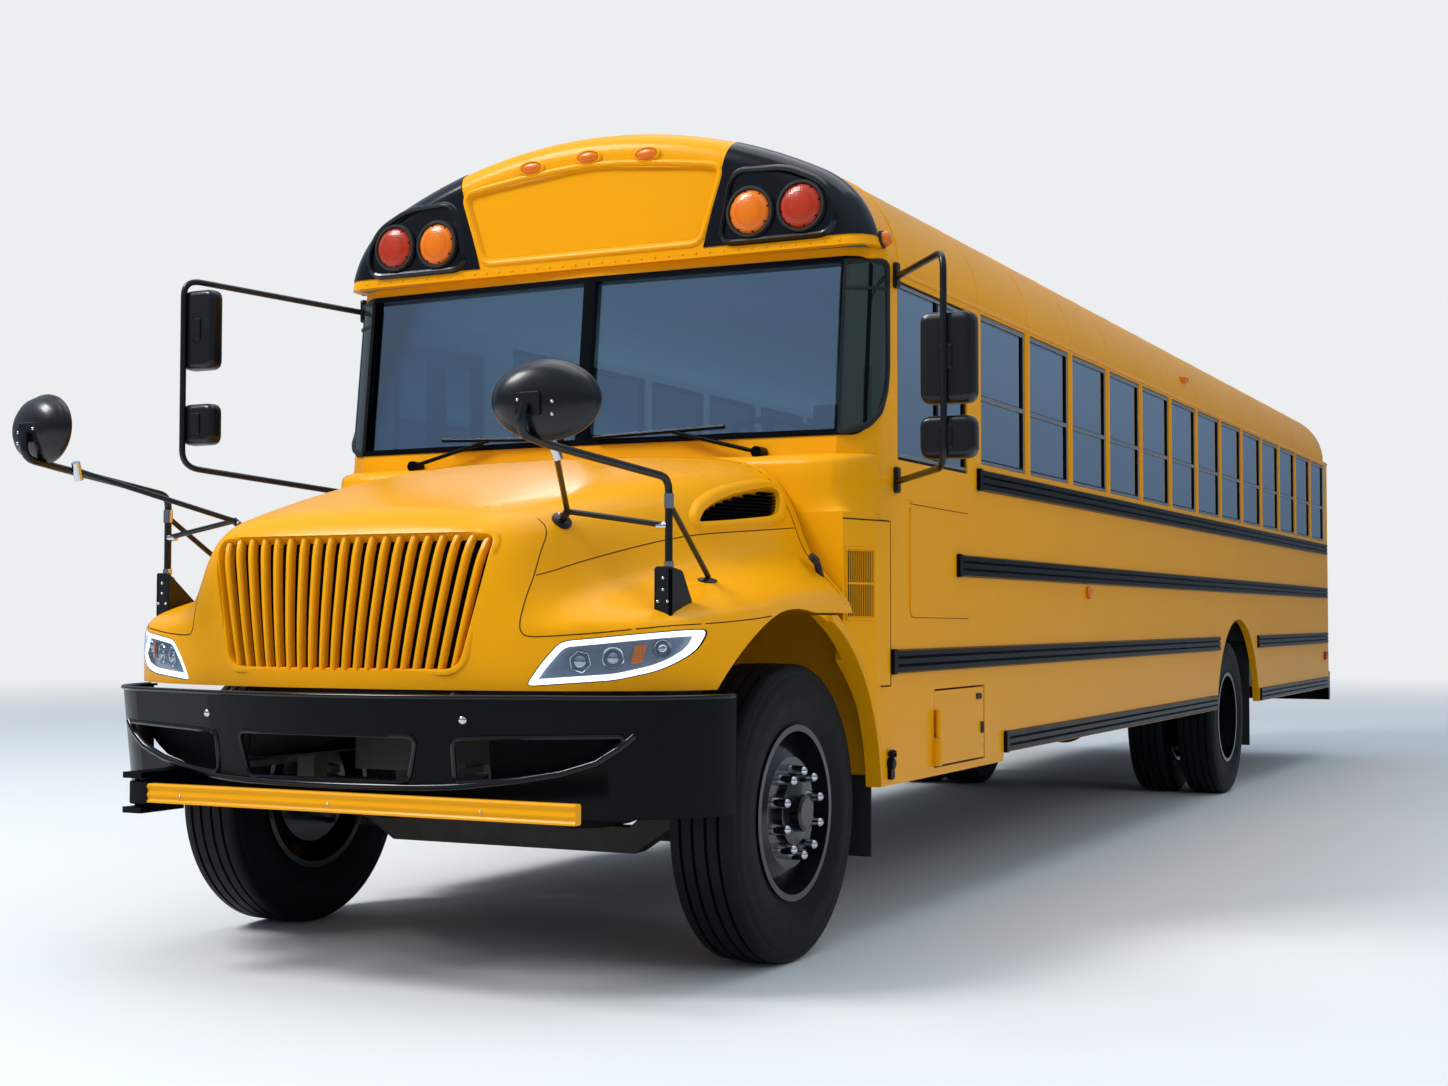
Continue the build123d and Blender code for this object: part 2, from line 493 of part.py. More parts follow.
with BuildPart() as cowl:
    for z in (DECK_TOP_Z, SCREEN_HEAD_Z):
        with BuildSketch(Plane.XY.offset(z)):
            with BuildLine():
                Polyline(*front_plan(z), close=True)
            make_face()
    loft(ruled=True)
    for z in (DECK_TOP_Z - 1, SCREEN_HEAD_Z + 1):
        with BuildSketch(Plane.XY.offset(z)):
            with BuildLine():
                Polyline(*front_plan(z, FRONT_WALL, SIDE_FRONT_Y + 1), close=True)
            make_face()
    loft(ruled=True, mode=Mode.SUBTRACT)
    with BuildSketch(section_at(SIDE_FRONT_Y + 10)):
        with Locations((0, (SCREEN_BOTTOM_Z + SCREEN_TOP_Z) / 2 + 6)):
            RectangleRounded(2 * PILLAR_X, SCREEN_TOP_Z - SCREEN_BOTTOM_Z + 12, 60)
    extrude(amount=600, mode=Mode.SUBTRACT)
    # Side panels behind the hood, from the skirt to the corner of the body
    for side in (-1, 1):
        with BuildSketch(Plane.XY.offset(FRONT_SKIRT_Z)):
            with BuildLine():
                Polyline((side * BODY_HALF, SIDE_FRONT_Y), (side * (BODY_HALF - 6), SIDE_FRONT_Y - 110),
                         (side * 1_150, HOOD_BACK_Y + PANEL_GAP), (side * 1_120, HOOD_BACK_Y + PANEL_GAP),
                         (side * (BODY_HALF - WALL), SIDE_FRONT_Y - 110), (side * (BODY_HALF - WALL), SIDE_FRONT_Y),
                         close=True)
            make_face()
        extrude(amount=DECK_TOP_Z - FRONT_SKIRT_Z)
    # Rear half of each wheel arch's edge, below the back of the hood
    for side in (-1, 1):
        with BuildSketch(side_at(1_150 if side > 0 else -1_190)):
            with Locations((FRONT_ARCH_Y, FRONT_ARCH_Z)):
                Circle(FRONT_ARCH_RADIUS + 55)
            with Locations((FRONT_AXLE_Y + 260, 950)):
                Rectangle(370, 2 * (FLARE_Z - PANEL_GAP - 950), mode=Mode.INTERSECT)
        extrude(amount=40)
    # Deck that closes the top between the side panels and the windshield
    block((-1_150, 1_150), (HOOD_BACK_Y + PANEL_GAP, FIREWALL_Y), (DECK_TOP_Z - DECK_THICK, DECK_TOP_Z))
    block((-INNER_HALF, INNER_HALF), (FIREWALL_Y, FIREWALL_Y + FRONT_WALL), (FLOOR_TOP_Z - FLOOR_THICK, DECK_TOP_Z))
    # Upright panels that close the gap between the hood's shoulders and the side panels
    for side in (-1, 1):
        block(sorted((side * 860, side * 1_135)), (HOOD_BACK_Y + PANEL_GAP, HOOD_BACK_Y + PANEL_GAP + 12),
              (FLARE_Z, DECK_TOP_Z - 1))
    # Panels behind the wheels
    for side in (-1, 1):
        block(sorted((side * 470, side * (BODY_HALF - WALL))), (FIREWALL_Y, FIREWALL_Y + 16),
              (FRONT_SKIRT_Z, FLOOR_TOP_Z))
    with BuildSketch(side_at(-BODY_HALF - 10)):
        with Locations((FRONT_ARCH_Y, FRONT_ARCH_Z)):
            Circle(FRONT_ARCH_RADIUS)
    extrude(amount=2 * BODY_HALF + 20, mode=Mode.SUBTRACT)
pieces["cowl"] = cowl

# Windshield: rubber surround with its dividers, and four panes
PANE_INSET = 12
with BuildPart() as windshield_gasket:
    for z in (SCREEN_BOTTOM_Z - 20, SCREEN_HEAD_Z - 20):
        with BuildSketch(Plane.XY.offset(z)):
            with BuildLine():
                Polyline(*front_plan(z, -4), close=True)
            make_face()
    loft(ruled=True)
    for z in (SCREEN_BOTTOM_Z - 21, SCREEN_HEAD_Z - 19):
        with BuildSketch(Plane.XY.offset(z)):
            with BuildLine():
                Polyline(*front_plan(z, 24, SIDE_FRONT_Y + 1), close=True)
            make_face()
    loft(ruled=True, mode=Mode.SUBTRACT)
    with BuildSketch(section_at(SIDE_FRONT_Y + 10)):
        with Locations((0, (SCREEN_BOTTOM_Z + SCREEN_TOP_Z) / 2 + 6)):
            RectangleRounded(2 * PILLAR_X - 2 * SEAT_GAP, SCREEN_TOP_Z - SCREEN_BOTTOM_Z + 12 - 2 * SEAT_GAP, 60)
            for x in (-562, 562):
                with Locations((x, 0)):
                    Rectangle(2 * 562 - 26 - 26, SCREEN_TOP_Z - SCREEN_BOTTOM_Z - 34, mode=Mode.SUBTRACT)
            for x in (-1_135, 1_135):
                with Locations((x, 0)):
                    Rectangle(40, SCREEN_TOP_Z - SCREEN_BOTTOM_Z - 34, mode=Mode.SUBTRACT)
    extrude(amount=700, mode=Mode.INTERSECT)
with BuildPart() as window_frames:
    add(window_sashes.part)
    add(windshield_gasket.part)
pieces["window_frames"] = window_frames

GLASS_HALF = 1_145
with BuildPart() as windshield_glass:
    for z in (SCREEN_BOTTOM_Z, SCREEN_TOP_Z):
        with BuildSketch(Plane.XY.offset(z)):
            with BuildLine():
                Polyline(*front_plan(z, 24 + SEAT_GAP), close=True)
            make_face()
    loft(ruled=True)
    for z in (SCREEN_BOTTOM_Z - 1, SCREEN_TOP_Z + 1):
        with BuildSketch(Plane.XY.offset(z)):
            with BuildLine():
                Polyline(*front_plan(z, 24 + SEAT_GAP + GLASS_THICK, SIDE_FRONT_Y + 1), close=True)
            make_face()
    loft(ruled=True, mode=Mode.SUBTRACT)
    with BuildSketch(section_at(SIDE_FRONT_Y + 10)):
        with Locations((0, (SCREEN_BOTTOM_Z + SCREEN_TOP_Z) / 2)):
            Rectangle(2 * GLASS_HALF, SCREEN_TOP_Z - SCREEN_BOTTOM_Z - 20)
    extrude(amount=700, mode=Mode.INTERSECT)

# Roof: one bent sheet from the front cap to the rear cap
CAP_BACK_Y = FRONT_AXLE_Y + 790
ROOF_BACK_Y = BODY_BACK_Y - 420
with BuildPart() as roof:
    with BuildSketch(section_at(CAP_BACK_Y)):
        make_face(roof_outline(BODY_HALF, ROOF_TOP_Z).edges())
        make_face(roof_outline(BODY_HALF, ROOF_TOP_Z, ROOF_THICK).edges(), mode=Mode.SUBTRACT)
    extrude(amount=-(ROOF_BACK_Y - CAP_BACK_Y))
pieces["roof"] = roof

# Front cap over the windshield, with the blank sign recess
CAP_FACE_Y = FRONT_AXLE_Y + 505
CAP_ROUND = 95
CAP_FACE_THICK = 45
SIGN = {"bottom_z": 2_622, "top_z": 2_962, "bottom_half": 492, "top_half": 585, "depth": 12}
with BuildPart() as roof_cap_front:
    with BuildSketch(section_at(CAP_BACK_Y)):
        make_face(roof_outline(BODY_HALF, ROOF_TOP_Z).edges())
    extrude(amount=CAP_BACK_Y - CAP_FACE_Y)
    fillet(roof_cap_front.faces().sort_by(Axis.Y)[0].edges().sort_by(Axis.Z)[1:], CAP_ROUND)
    with BuildSketch(section_at(CAP_BACK_Y)):
        make_face(roof_outline(BODY_HALF, ROOF_TOP_Z, ROOF_THICK, EAVES_Z - 1).edges())
    extrude(amount=CAP_BACK_Y - CAP_FACE_Y - CAP_FACE_THICK, mode=Mode.SUBTRACT)
    block((-BODY_HALF, BODY_HALF), (CAP_FACE_Y - 1, SIDE_FRONT_Y), (EAVES_Z - 2, SCREEN_HEAD_Z + SEAT_GAP),
          mode=Mode.SUBTRACT)
    with BuildSketch(section_at(CAP_FACE_Y + SIGN["depth"])):
        with BuildLine():
            Polyline((-SIGN["bottom_half"], SIGN["bottom_z"]), (SIGN["bottom_half"], SIGN["bottom_z"]),
                     (SIGN["top_half"], SIGN["top_z"] - 60), (0, SIGN["top_z"]),
                     (-SIGN["top_half"], SIGN["top_z"] - 60), close=True)
        make_face()
    extrude(amount=SIGN["depth"] + 1, mode=Mode.SUBTRACT)
pieces["roof_cap_front"] = roof_cap_front

# Rear wall with its door and window openings, and the rounded cap over it
REAR_WINDOW = {"x": 745, "z": 2_150, "width": 560, "height": 560}
REAR_ROUND = 200
PLATE_HOLES = {"z": 930, "spacing": 178, "radius": 3.5, "depth": 30}
with BuildPart() as rear_wall:
    with BuildSketch(section_at(ROOF_BACK_Y)):
        make_face(roof_outline(BODY_HALF, ROOF_TOP_Z).edges())
    extrude(amount=-(BODY_BACK_Y - ROOF_BACK_Y))
    fillet(rear_wall.faces().sort_by(Axis.Y)[-1].edges().sort_by(Axis.Z)[1:], REAR_ROUND)
    with BuildPart(mode=Mode.SUBTRACT) as hollow:
        with BuildSketch(section_at(ROOF_BACK_Y - 1)):
            make_face(roof_outline(BODY_HALF, ROOF_TOP_Z, ROOF_THICK, EAVES_Z - 1).edges())
        extrude(amount=-(BODY_BACK_Y - REAR_WALL_THICK - ROOF_BACK_Y + 1))
        fillet(hollow.faces().sort_by(Axis.Y)[-1].edges().sort_by(Axis.Z)[1:], REAR_ROUND - ROOF_THICK)
    block((-BODY_HALF, BODY_HALF), (BODY_BACK_Y - REAR_WALL_THICK, BODY_BACK_Y), (SKIRT_Z, EAVES_Z))
    block((-REAR_DOOR_HALF, REAR_DOOR_HALF), (BODY_BACK_Y - 200, BODY_BACK_Y + 1),
          (REAR_DOOR_BOTTOM_Z, REAR_DOOR_TOP_Z), mode=Mode.SUBTRACT)
    with BuildSketch(section_at(BODY_BACK_Y + 1)):
        with Locations((REAR_WINDOW["x"], REAR_WINDOW["z"]), (-REAR_WINDOW["x"], REAR_WINDOW["z"])):
            RectangleRounded(REAR_WINDOW["width"], REAR_WINDOW["height"], 60)
    extrude(amount=REAR_WALL_THICK + 2, mode=Mode.SUBTRACT)
    with BuildSketch(section_at(BODY_BACK_Y - PLATE_HOLES["depth"])):
        with GridLocations(PLATE_HOLES["spacing"], 0, 2, 1):
            with Locations((0, PLATE_HOLES["z"])):
                Circle(PLATE_HOLES["radius"])
    extrude(amount=-PLATE_HOLES["depth"] - 1, mode=Mode.SUBTRACT)
pieces["rear_wall"] = rear_wall

with BuildPart() as rear_glass:
    with BuildSketch(section_at(BODY_BACK_Y - 20)):
        with Locations((REAR_WINDOW["x"], REAR_WINDOW["z"]), (-REAR_WINDOW["x"], REAR_WINDOW["z"])):
            RectangleRounded(REAR_WINDOW["width"] - 2 * SEAT_GAP, REAR_WINDOW["height"] - 2 * SEAT_GAP, 60)
    extrude(amount=GLASS_THICK)
with BuildPart() as body_glass:
    add(windshield_glass.part)
    add(side_glass.part)
    add(rear_glass.part)
pieces["body_glass"] = body_glass

# Rub rails: top edge height, front end, rear end
SIDE_RAILS = [
    (1_806, FRONT_AXLE_Y + 1_690, RAIL_BACK_Y),
    (1_436, FRONT_AXLE_Y + 1_435, RAIL_BACK_Y),
    (1_056, FRONT_AXLE_Y + 700, REAR_ARCH_Y - ARCH_RAIL_GAP),
    (1_056, REAR_ARCH_Y + ARCH_RAIL_GAP, RAIL_BACK_Y),
    (680, FRONT_SKIRT_BACK_Y + 5, REAR_ARCH_Y - 720),
    (680, REAR_ARCH_Y + 720, RAIL_BACK_Y),
]
RIB_COUNT = 3
DOOR_RAIL_CLEAR = 120
with BuildPart() as rub_rails:
    for side in (-1, 1):
        for top_z, start_y, end_y in SIDE_RAILS:
            if side < 0:
                start_y = max(start_y, DOOR_BACK_Y + DOOR_RAIL_CLEAR)
            face_x = side * (BODY_HALF + SEAT_GAP)
            with BuildSketch(section_at(start_y)):
                with BuildLine():
                    rib = RAIL_HEIGHT / RIB_COUNT
                    profile = [(face_x, top_z - RAIL_HEIGHT), (face_x, top_z)]
                    for i in range(RIB_COUNT):
                        crest_z = top_z - rib * (i + 0.5)
                        profile += [(face_x + side * (RAIL_PROUD - SEAT_GAP), crest_z + rib * 0.3),
                                    (face_x + side * (RAIL_PROUD - SEAT_GAP), crest_z - rib * 0.3)]
                        if i < RIB_COUNT - 1:
                            profile.append((face_x + side * 6, crest_z - rib * 0.5))
                    Polyline(*profile, close=True)
                make_face()
            extrude(amount=-(end_y - start_y))
pieces["rub_rails"] = rub_rails

# Hood with its front fenders: half sections from the front back
# Each row: place along the bus, then (X, Z) from the crown to the flare
HOOD_BOTTOM_Z = 950
HOOD_SECTIONS = [
    (FRONT_AXLE_Y - 1_110, [(0, 1_470), (430, 1_462), (580, 1_415), (645, 1_250), (700, 1_130), (950, 1_118),
                            (1_120, 1_100), (1_185, 1_060)]),
    (FRONT_AXLE_Y - 600, [(0, 1_610), (520, 1_595), (690, 1_530), (770, 1_370), (830, 1_275), (980, 1_240),
                          (1_120, 1_200), (1_190, 1_150)]),
    (FRONT_AXLE_Y - 100, [(0, 1_715), (620, 1_700), (810, 1_630), (895, 1_480), (935, 1_375), (1_040, 1_315),
                          (1_140, 1_255), (1_190, 1_185)]),
    (HOOD_BACK_Y, [(0, 1_790), (700, 1_775), (890, 1_700), (980, 1_540), (1_010, 1_430), (1_080, 1_335),
                   (1_140, 1_265), (1_190, 1_200)]),
]
HOOD_FLARE_X = 1_200
NOSE_Y = FRONT_AXLE_Y - 1_065
NOSE_CORNER = (640, NOSE_Y + 72)
NOSE_SIDE = (980, NOSE_Y + 215)
NOSE_END = (HOOD_FLARE_X, NOSE_Y + 490)


def hood_volume(inset, bottom_z):
    """Solid inside the hood's surface, moved in by inset."""
    with BuildPart() as volume:
        for y, half in HOOD_SECTIONS:
            with BuildSketch(section_at(y + (1 if inset and y == HOOD_BACK_Y else 0))):
                points = [(x - inset if x > 0 else 0, z - inset) for x, z in half]
                points += [(HOOD_FLARE_X - inset, bottom_z)]
                with BuildLine():
                    Polyline(*points, *[(-x, z) for x, z in reversed(points) if x > 0], close=True)
                make_face()
        loft(ruled=True)
        with BuildSketch(Plane.XY.offset(bottom_z)):
            with BuildLine():
                end = (NOSE_END[0] - inset, NOSE_END[1])
                corner = (NOSE_CORNER[0] - inset / 2, NOSE_CORNER[1] + inset)
                side = (NOSE_SIDE[0] - inset * 0.7, NOSE_SIDE[1] + inset * 0.7)
                ThreePointArc((-corner[0], corner[1]), (0, NOSE_Y + inset), corner)
                for way in (1, -1):
                    ThreePointArc((way * corner[0], corner[1]), (way * side[0], side[1]), (way * end[0], end[1]))
                    Line((way * end[0], end[1]), (way * end[0], HOOD_BACK_Y + 2))
                Line((end[0], HOOD_BACK_Y + 2), (-end[0], HOOD_BACK_Y + 2))
            make_face()
        extrude(amount=2_000 - bottom_z, mode=Mode.INTERSECT)
        with BuildSketch(side_at(-HOOD_FLARE_X - 5)):
            with BuildLine():
                Polyline((NOSE_Y - 15 + inset, bottom_z - 5), (NOSE_Y + 55 + inset, 1_400),
                         (NOSE_Y + 105 + inset, 1_470 - inset / 2), (NOSE_Y + 220 + inset, 1_540 - inset / 2),
                         (NOSE_Y + 220 + inset, 2_000), (HOOD_BACK_Y + 3, 2_000), (HOOD_BACK_Y + 3, bottom_z - 5),
                         close=True)
            make_face()
        extrude(amount=2 * HOOD_FLARE_X + 10, mode=Mode.INTERSECT)
    return volume.part


HEADLAMP = [(674, 962), (752, 1_100), (1_165, 1_146), (1_010, 1_005)]
GRILLE = {"top_z": 1_425, "bottom_z": 1_008, "top_half": 547, "bottom_half": 458, "round": 45}
GRILLE_BARS = 20
GRILLE_RIM = 16
INTAKE = {"front_y": FRONT_AXLE_Y - 330, "back_y": FRONT_AXLE_Y + 200, "bottom_z": 1_500, "top_z": 1_600}


def headlamp_outline(grow):
    """Swept headlamp outline seen from the front, grown all round."""
    (x0, z0), (x1, z1), (x2, z2), (x3, z3) = HEADLAMP
    with BuildLine() as line:
        Line((x0 - grow, z0 - grow), (x1 - grow, z1 + grow))
        Line((x1 - grow, z1 + grow), (x2 + grow, z2 + grow))
        ThreePointArc((x2 + grow, z2 + grow), (x3 + grow * 0.7, z3 - grow * 0.7), (x0 - grow, z0 - grow))
    return line.edges()


def grille_outline(shrink):
    """Grille opening seen from the front, shrunk all round."""
    top, bottom = GRILLE["top_half"] - shrink, GRILLE["bottom_half"] - shrink
    with BuildLine() as line:
        FilletPolyline((-bottom, GRILLE["bottom_z"] + shrink), (bottom, GRILLE["bottom_z"] + shrink),
                       (top, GRILLE["top_z"] - shrink), (-top, GRILLE["top_z"] - shrink),
                       radius=GRILLE["round"] - shrink, close=True)
    return line.edges()


def intake_outline(grow):
    """Hood side intake seen from the side: flat at the bottom and back, round over the front."""
    front = INTAKE["front_y"] - 2 * grow
    back = INTAKE["back_y"] + grow
    low = INTAKE["bottom_z"] - grow
    high = INTAKE["top_z"] + grow
    with BuildLine() as line:
        Line((front, low), (back, low))
        Line((back, low), (back, high))
        Line((back, high), (back - 150, high))
        ThreePointArc((back - 150, high), (front + 110 + grow, low + 70 + 2 * grow), (front, low))
    return line.edges()


hood_outer = hood_volume(0, HOOD_BOTTOM_Z)
hood_inner = hood_volume(HOOD_SKIN, HOOD_BOTTOM_Z - 20)
FIT = 2
with BuildPart() as hood_shell:
    add(hood_outer)
    with BuildSketch(side_at(-BODY_HALF - 10)):
        make_face(intake_outline(FIT))
    extrude(amount=2 * BODY_HALF + 20, mode=Mode.SUBTRACT)
    add(hood_inner, mode=Mode.SUBTRACT)
    with BuildSketch(side_at(-BODY_HALF - 10)):
        with Locations((FRONT_ARCH_Y, FRONT_ARCH_Z)):
            Circle(FRONT_ARCH_RADIUS)
    extrude(amount=2 * BODY_HALF + 20, mode=Mode.SUBTRACT)
    block((-BODY_HALF, BODY_HALF), (FRONT_ARCH_Y, HOOD_BACK_Y + 10), (HOOD_BOTTOM_Z - 10, FLARE_Z), mode=Mode.SUBTRACT)
    with BuildSketch(section_at(FRONT_AXLE_Y - 800)):
        make_face(grille_outline(0))
    extrude(amount=400, mode=Mode.SUBTRACT)
    with BuildSketch(section_at(FRONT_AXLE_Y - 560)):
        make_face(headlamp_outline(FIT))
        mirror(about=Plane.YZ)
    extrude(amount=600, mode=Mode.SUBTRACT)
    for side in (-1, 1):
        # Lugs on the pivot pins, and the two tabs under the front edge
        lug_x = sorted((side * 360, side * 400))
        rod((lug_x[0], HOOD_PIVOT_Y, HOOD_PIVOT_Z), (lug_x[1], HOOD_PIVOT_Y, HOOD_PIVOT_Z), 22)
        block(lug_x, (HOOD_PIVOT_Y - 6, HOOD_PIVOT_Y + 20), (HOOD_PIVOT_Z, HOOD_BOTTOM_Z + 35))
        rod((lug_x[0] - 1, HOOD_PIVOT_Y, HOOD_PIVOT_Z), (lug_x[1] + 1, HOOD_PIVOT_Y, HOOD_PIVOT_Z),
            PIVOT_PIN_RADIUS + SEAT_GAP, mode=Mode.SUBTRACT)
        block(sorted((side * 78, side * 122)), (NOSE_Y + 4, NOSE_Y + 12), (HOOD_BOTTOM_Z - 45, HOOD_BOTTOM_Z + 4))
pieces["hood_shell"] = hood_shell

GRILLE_DEPTH = 40
grille_inner = hood_volume(GRILLE_DEPTH, HOOD_BOTTOM_Z - 20)
with BuildPart() as grille:
    with BuildSketch(section_at(FRONT_AXLE_Y - 800)):
        make_face(grille_outline(SEAT_GAP))
        make_face(grille_outline(GRILLE_RIM), mode=Mode.SUBTRACT)
        for i in range(GRILLE_BARS):
            share = (i + 0.5) / GRILLE_BARS * 2 - 1
            top_x = share * (GRILLE["top_half"] - GRILLE_RIM)
            bottom_x = share * (GRILLE["bottom_half"] - GRILLE_RIM)
            with BuildLine():
                Polyline((bottom_x - 11, GRILLE["bottom_z"] + 12), (bottom_x + 11, GRILLE["bottom_z"] + 12),
                         (top_x + 13, GRILLE["top_z"] - 12), (top_x - 13, GRILLE["top_z"] - 12), close=True)
            make_face()
    extrude(amount=400)
    add(hood_outer, mode=Mode.INTERSECT)
    add(grille_inner, mode=Mode.SUBTRACT)
pieces["grille"] = grille

LAMP_DEPTH = 60
lamp_inner = hood_volume(LAMP_DEPTH, HOOD_BOTTOM_Z - 20)
with BuildPart() as headlamps:
    with BuildSketch(section_at(FRONT_AXLE_Y - 560)):
        make_face(headlamp_outline(FIT - SEAT_GAP))
        mirror(about=Plane.YZ)
    extrude(amount=600)
    add(hood_outer, mode=Mode.INTERSECT)
    add(lamp_inner, mode=Mode.SUBTRACT)
pieces["headlamps"] = headlamps

# The intake panels lie a little below the hood's surface, inside its openings
INTAKE_INSET = 3
intake_outer = hood_volume(INTAKE_INSET, HOOD_BOTTOM_Z)
intake_inner = hood_volume(HOOD_SKIN - INTAKE_INSET, HOOD_BOTTOM_Z - 20)
with BuildPart() as hood_intakes:
    with BuildSketch(side_at(-BODY_HALF - 10)):
        make_face(intake_outline(FIT - SEAT_GAP))
    extrude(amount=2 * BODY_HALF + 20)
    add(intake_outer, mode=Mode.INTERSECT)
    add(intake_inner, mode=Mode.SUBTRACT)
pieces["hood_intakes"] = hood_intakes


def tube(points, radius, bend):
    """Round tube along a path with rounded corners, in the part that is being built."""
    with BuildLine() as path:
        FilletPolyline(*points, radius=bend)
    with BuildSketch(Plane(origin=path.line @ 0, z_dir=path.line % 0)) as section:
        Circle(radius)
    sweep(section.sketch, path=path.line)


# Mirrors that look along the front of the bus, on their tube brackets
HEAD_CENTRE = (965, FRONT_AXLE_Y - 1_338, 1_792)
HEAD_SIZE = (310, 184, 235)
POST = (1_022, FRONT_AXLE_Y - 715)
with BuildPart() as head_ball:
    Sphere(HEAD_SIZE[1] / 2)
head_shape = scale(head_ball.part, by=(HEAD_SIZE[0] / HEAD_SIZE[1], 1, HEAD_SIZE[2] / HEAD_SIZE[1]))
with BuildPart() as cross_view_mirrors:
    add(Pos(*HEAD_CENTRE) * head_shape)
    block((HEAD_CENTRE[0] - 200, HEAD_CENTRE[0] + 200), (HEAD_CENTRE[1] + 20, HEAD_CENTRE[1] + 120),
          (HEAD_CENTRE[2] - 150, HEAD_CENTRE[2] + 150), mode=Mode.SUBTRACT)
    tube([(*POST, 1_240), (*POST, 1_625), (960, FRONT_AXLE_Y - 1_310, 1_668), (960, FRONT_AXLE_Y - 1_322, 1_790)], 12, 40)
    block((980, 1_050), (POST[1] - 35, POST[1] + 15), (1_115, 1_262))
    rod((POST[0], POST[1], 1_440), (720, FRONT_AXLE_Y - 885, 1_450), 9)
    rod((720, FRONT_AXLE_Y - 885, 1_450), (940, FRONT_AXLE_Y - 1_230, 1_662), 9)
    rod((720, FRONT_AXLE_Y - 885, 1_450), (600, FRONT_AXLE_Y - 860, 1_445), 22)
    rod((POST[0], POST[1], 1_560), (1_060, FRONT_AXLE_Y - 500, 1_230), 9)
    mirror(about=Plane.YZ)
    add(hood_outer, mode=Mode.SUBTRACT)
pieces["cross_view_mirrors"] = cross_view_mirrors

# Mirrors beside the windshield: tube path from mount to mount, then the two heads
DOOR_SIDE_TUBE = [(-BODY_HALF - 14, FRONT_AXLE_Y + 660, 2_490), (-1_665, FRONT_AXLE_Y + 45, 2_570),
                  (-1_665, FRONT_AXLE_Y + 45, 1_795), (-BODY_HALF - 14, FRONT_AXLE_Y + 660, 1_700)]
DRIVER_SIDE_TUBE = [(BODY_HALF + 14, FRONT_AXLE_Y + 745, 2_478), (1_560, FRONT_AXLE_Y + 290, 2_455),
                    (1_560, FRONT_AXLE_Y + 290, 1_700), (BODY_HALF + 14, FRONT_AXLE_Y + 745, 1_690)]
# Centre, then width, depth and height
MIRROR_HEADS = [
    ((1_560, FRONT_AXLE_Y + 330, 2_095), (250, 66, 310)),
    ((1_560, FRONT_AXLE_Y + 330, 1_812), (250, 66, 140)),
    ((-1_600, FRONT_AXLE_Y + 85, 2_360), (170, 66, 330)),
    ((-1_600, FRONT_AXLE_Y + 85, 1_970), (170, 66, 170)),
]
HEAD_ROUND = 26
with BuildPart() as rear_view_mirrors:
    for centre, size in MIRROR_HEADS:
        with Locations(centre):
            Box(*size)
    fillet(rear_view_mirrors.edges(), HEAD_ROUND)
    for path in (DOOR_SIDE_TUBE, DRIVER_SIDE_TUBE):
        tube(path, 12, 45)
        for x, y, z in (path[0], path[-1]):
            side = 1 if x > 0 else -1
            block(sorted((side * (BODY_HALF + SEAT_GAP), side * (BODY_HALF + 20))), (y - 18, y + 18), (z - 45, z + 55))
pieces["rear_view_mirrors"] = rear_view_mirrors

# Wipers parked along the foot of the windshield
WIPER_Y = SCREEN_Y - 14
with BuildPart() as wipers:
    for side in (-1, 1):
        rod((side * 780, SCREEN_Y + 25, 1_793), (side * 780, WIPER_Y - 22, 1_793), 22)
        rod((side * 780, WIPER_Y - 12, 1_793), (side * 420, WIPER_Y - 4, 1_884), 8)
        rod((side * 640, WIPER_Y - 4, 1_894), (side * 70, WIPER_Y - 4, 1_876), 8)
    for z in (1_750, 1_850):
        with BuildSketch(Plane.XY.offset(z)):
            with BuildLine():
                Polyline(*front_plan(z, -SEAT_GAP, SIDE_FRONT_Y), close=True)
            make_face()
    loft(ruled=True, mode=Mode.SUBTRACT)
pieces["wipers"] = wipers

# Lamps on the body: each row is X, Z, lens radius
CAP_LAMPS = {"red": (929, 2_716), "amber": (717, 2_713)}
REAR_CAP_LAMPS = {"red": (870, 2_610), "amber": (655, 2_610)}
BEZEL_RADIUS = 98
LENS_RADIUS = 84
BEZEL_DEPTH = 16
LENS_DEPTH = 24
REAR_FACE_Y = BODY_BACK_Y + SEAT_GAP
FRONT_FACE_Y = CAP_FACE_Y - SEAT_GAP
with BuildPart() as lamp_bezels:
    for table, y, way in ((CAP_LAMPS, FRONT_FACE_Y, -1), (REAR_CAP_LAMPS, REAR_FACE_Y, 1)):
        for x, z in table.values():
            for side in (-1, 1):
                with BuildSketch(section_at(y)):
                    with Locations((side * x, z)):
                        Circle(BEZEL_RADIUS)
                        Circle(LENS_RADIUS + SEAT_GAP, mode=Mode.SUBTRACT)
                extrude(amount=-way * BEZEL_DEPTH)
pieces["lamp_bezels"] = lamp_bezels

REAR_LAMP_Z = 865
MARKER_Z = 2_605
with BuildPart() as red_lamps:
    for side in (-1, 1):
        for (x, z), y, way in ((CAP_LAMPS["red"], FRONT_FACE_Y, -1), (REAR_CAP_LAMPS["red"], REAR_FACE_Y, 1),
                               ((960, REAR_LAMP_Z), REAR_FACE_Y, 1)):
            with BuildSketch(section_at(y)):
                with Locations((side * x, z)):
                    Circle(LENS_RADIUS)
            extrude(amount=-way * LENS_DEPTH)
        block(sorted((side * (BODY_HALF + SEAT_GAP), side * (BODY_HALF + 16))),
              (FRONT_AXLE_Y + 10_610, FRONT_AXLE_Y + 10_730), (825, 895))
pieces["red_lamps"] = red_lamps

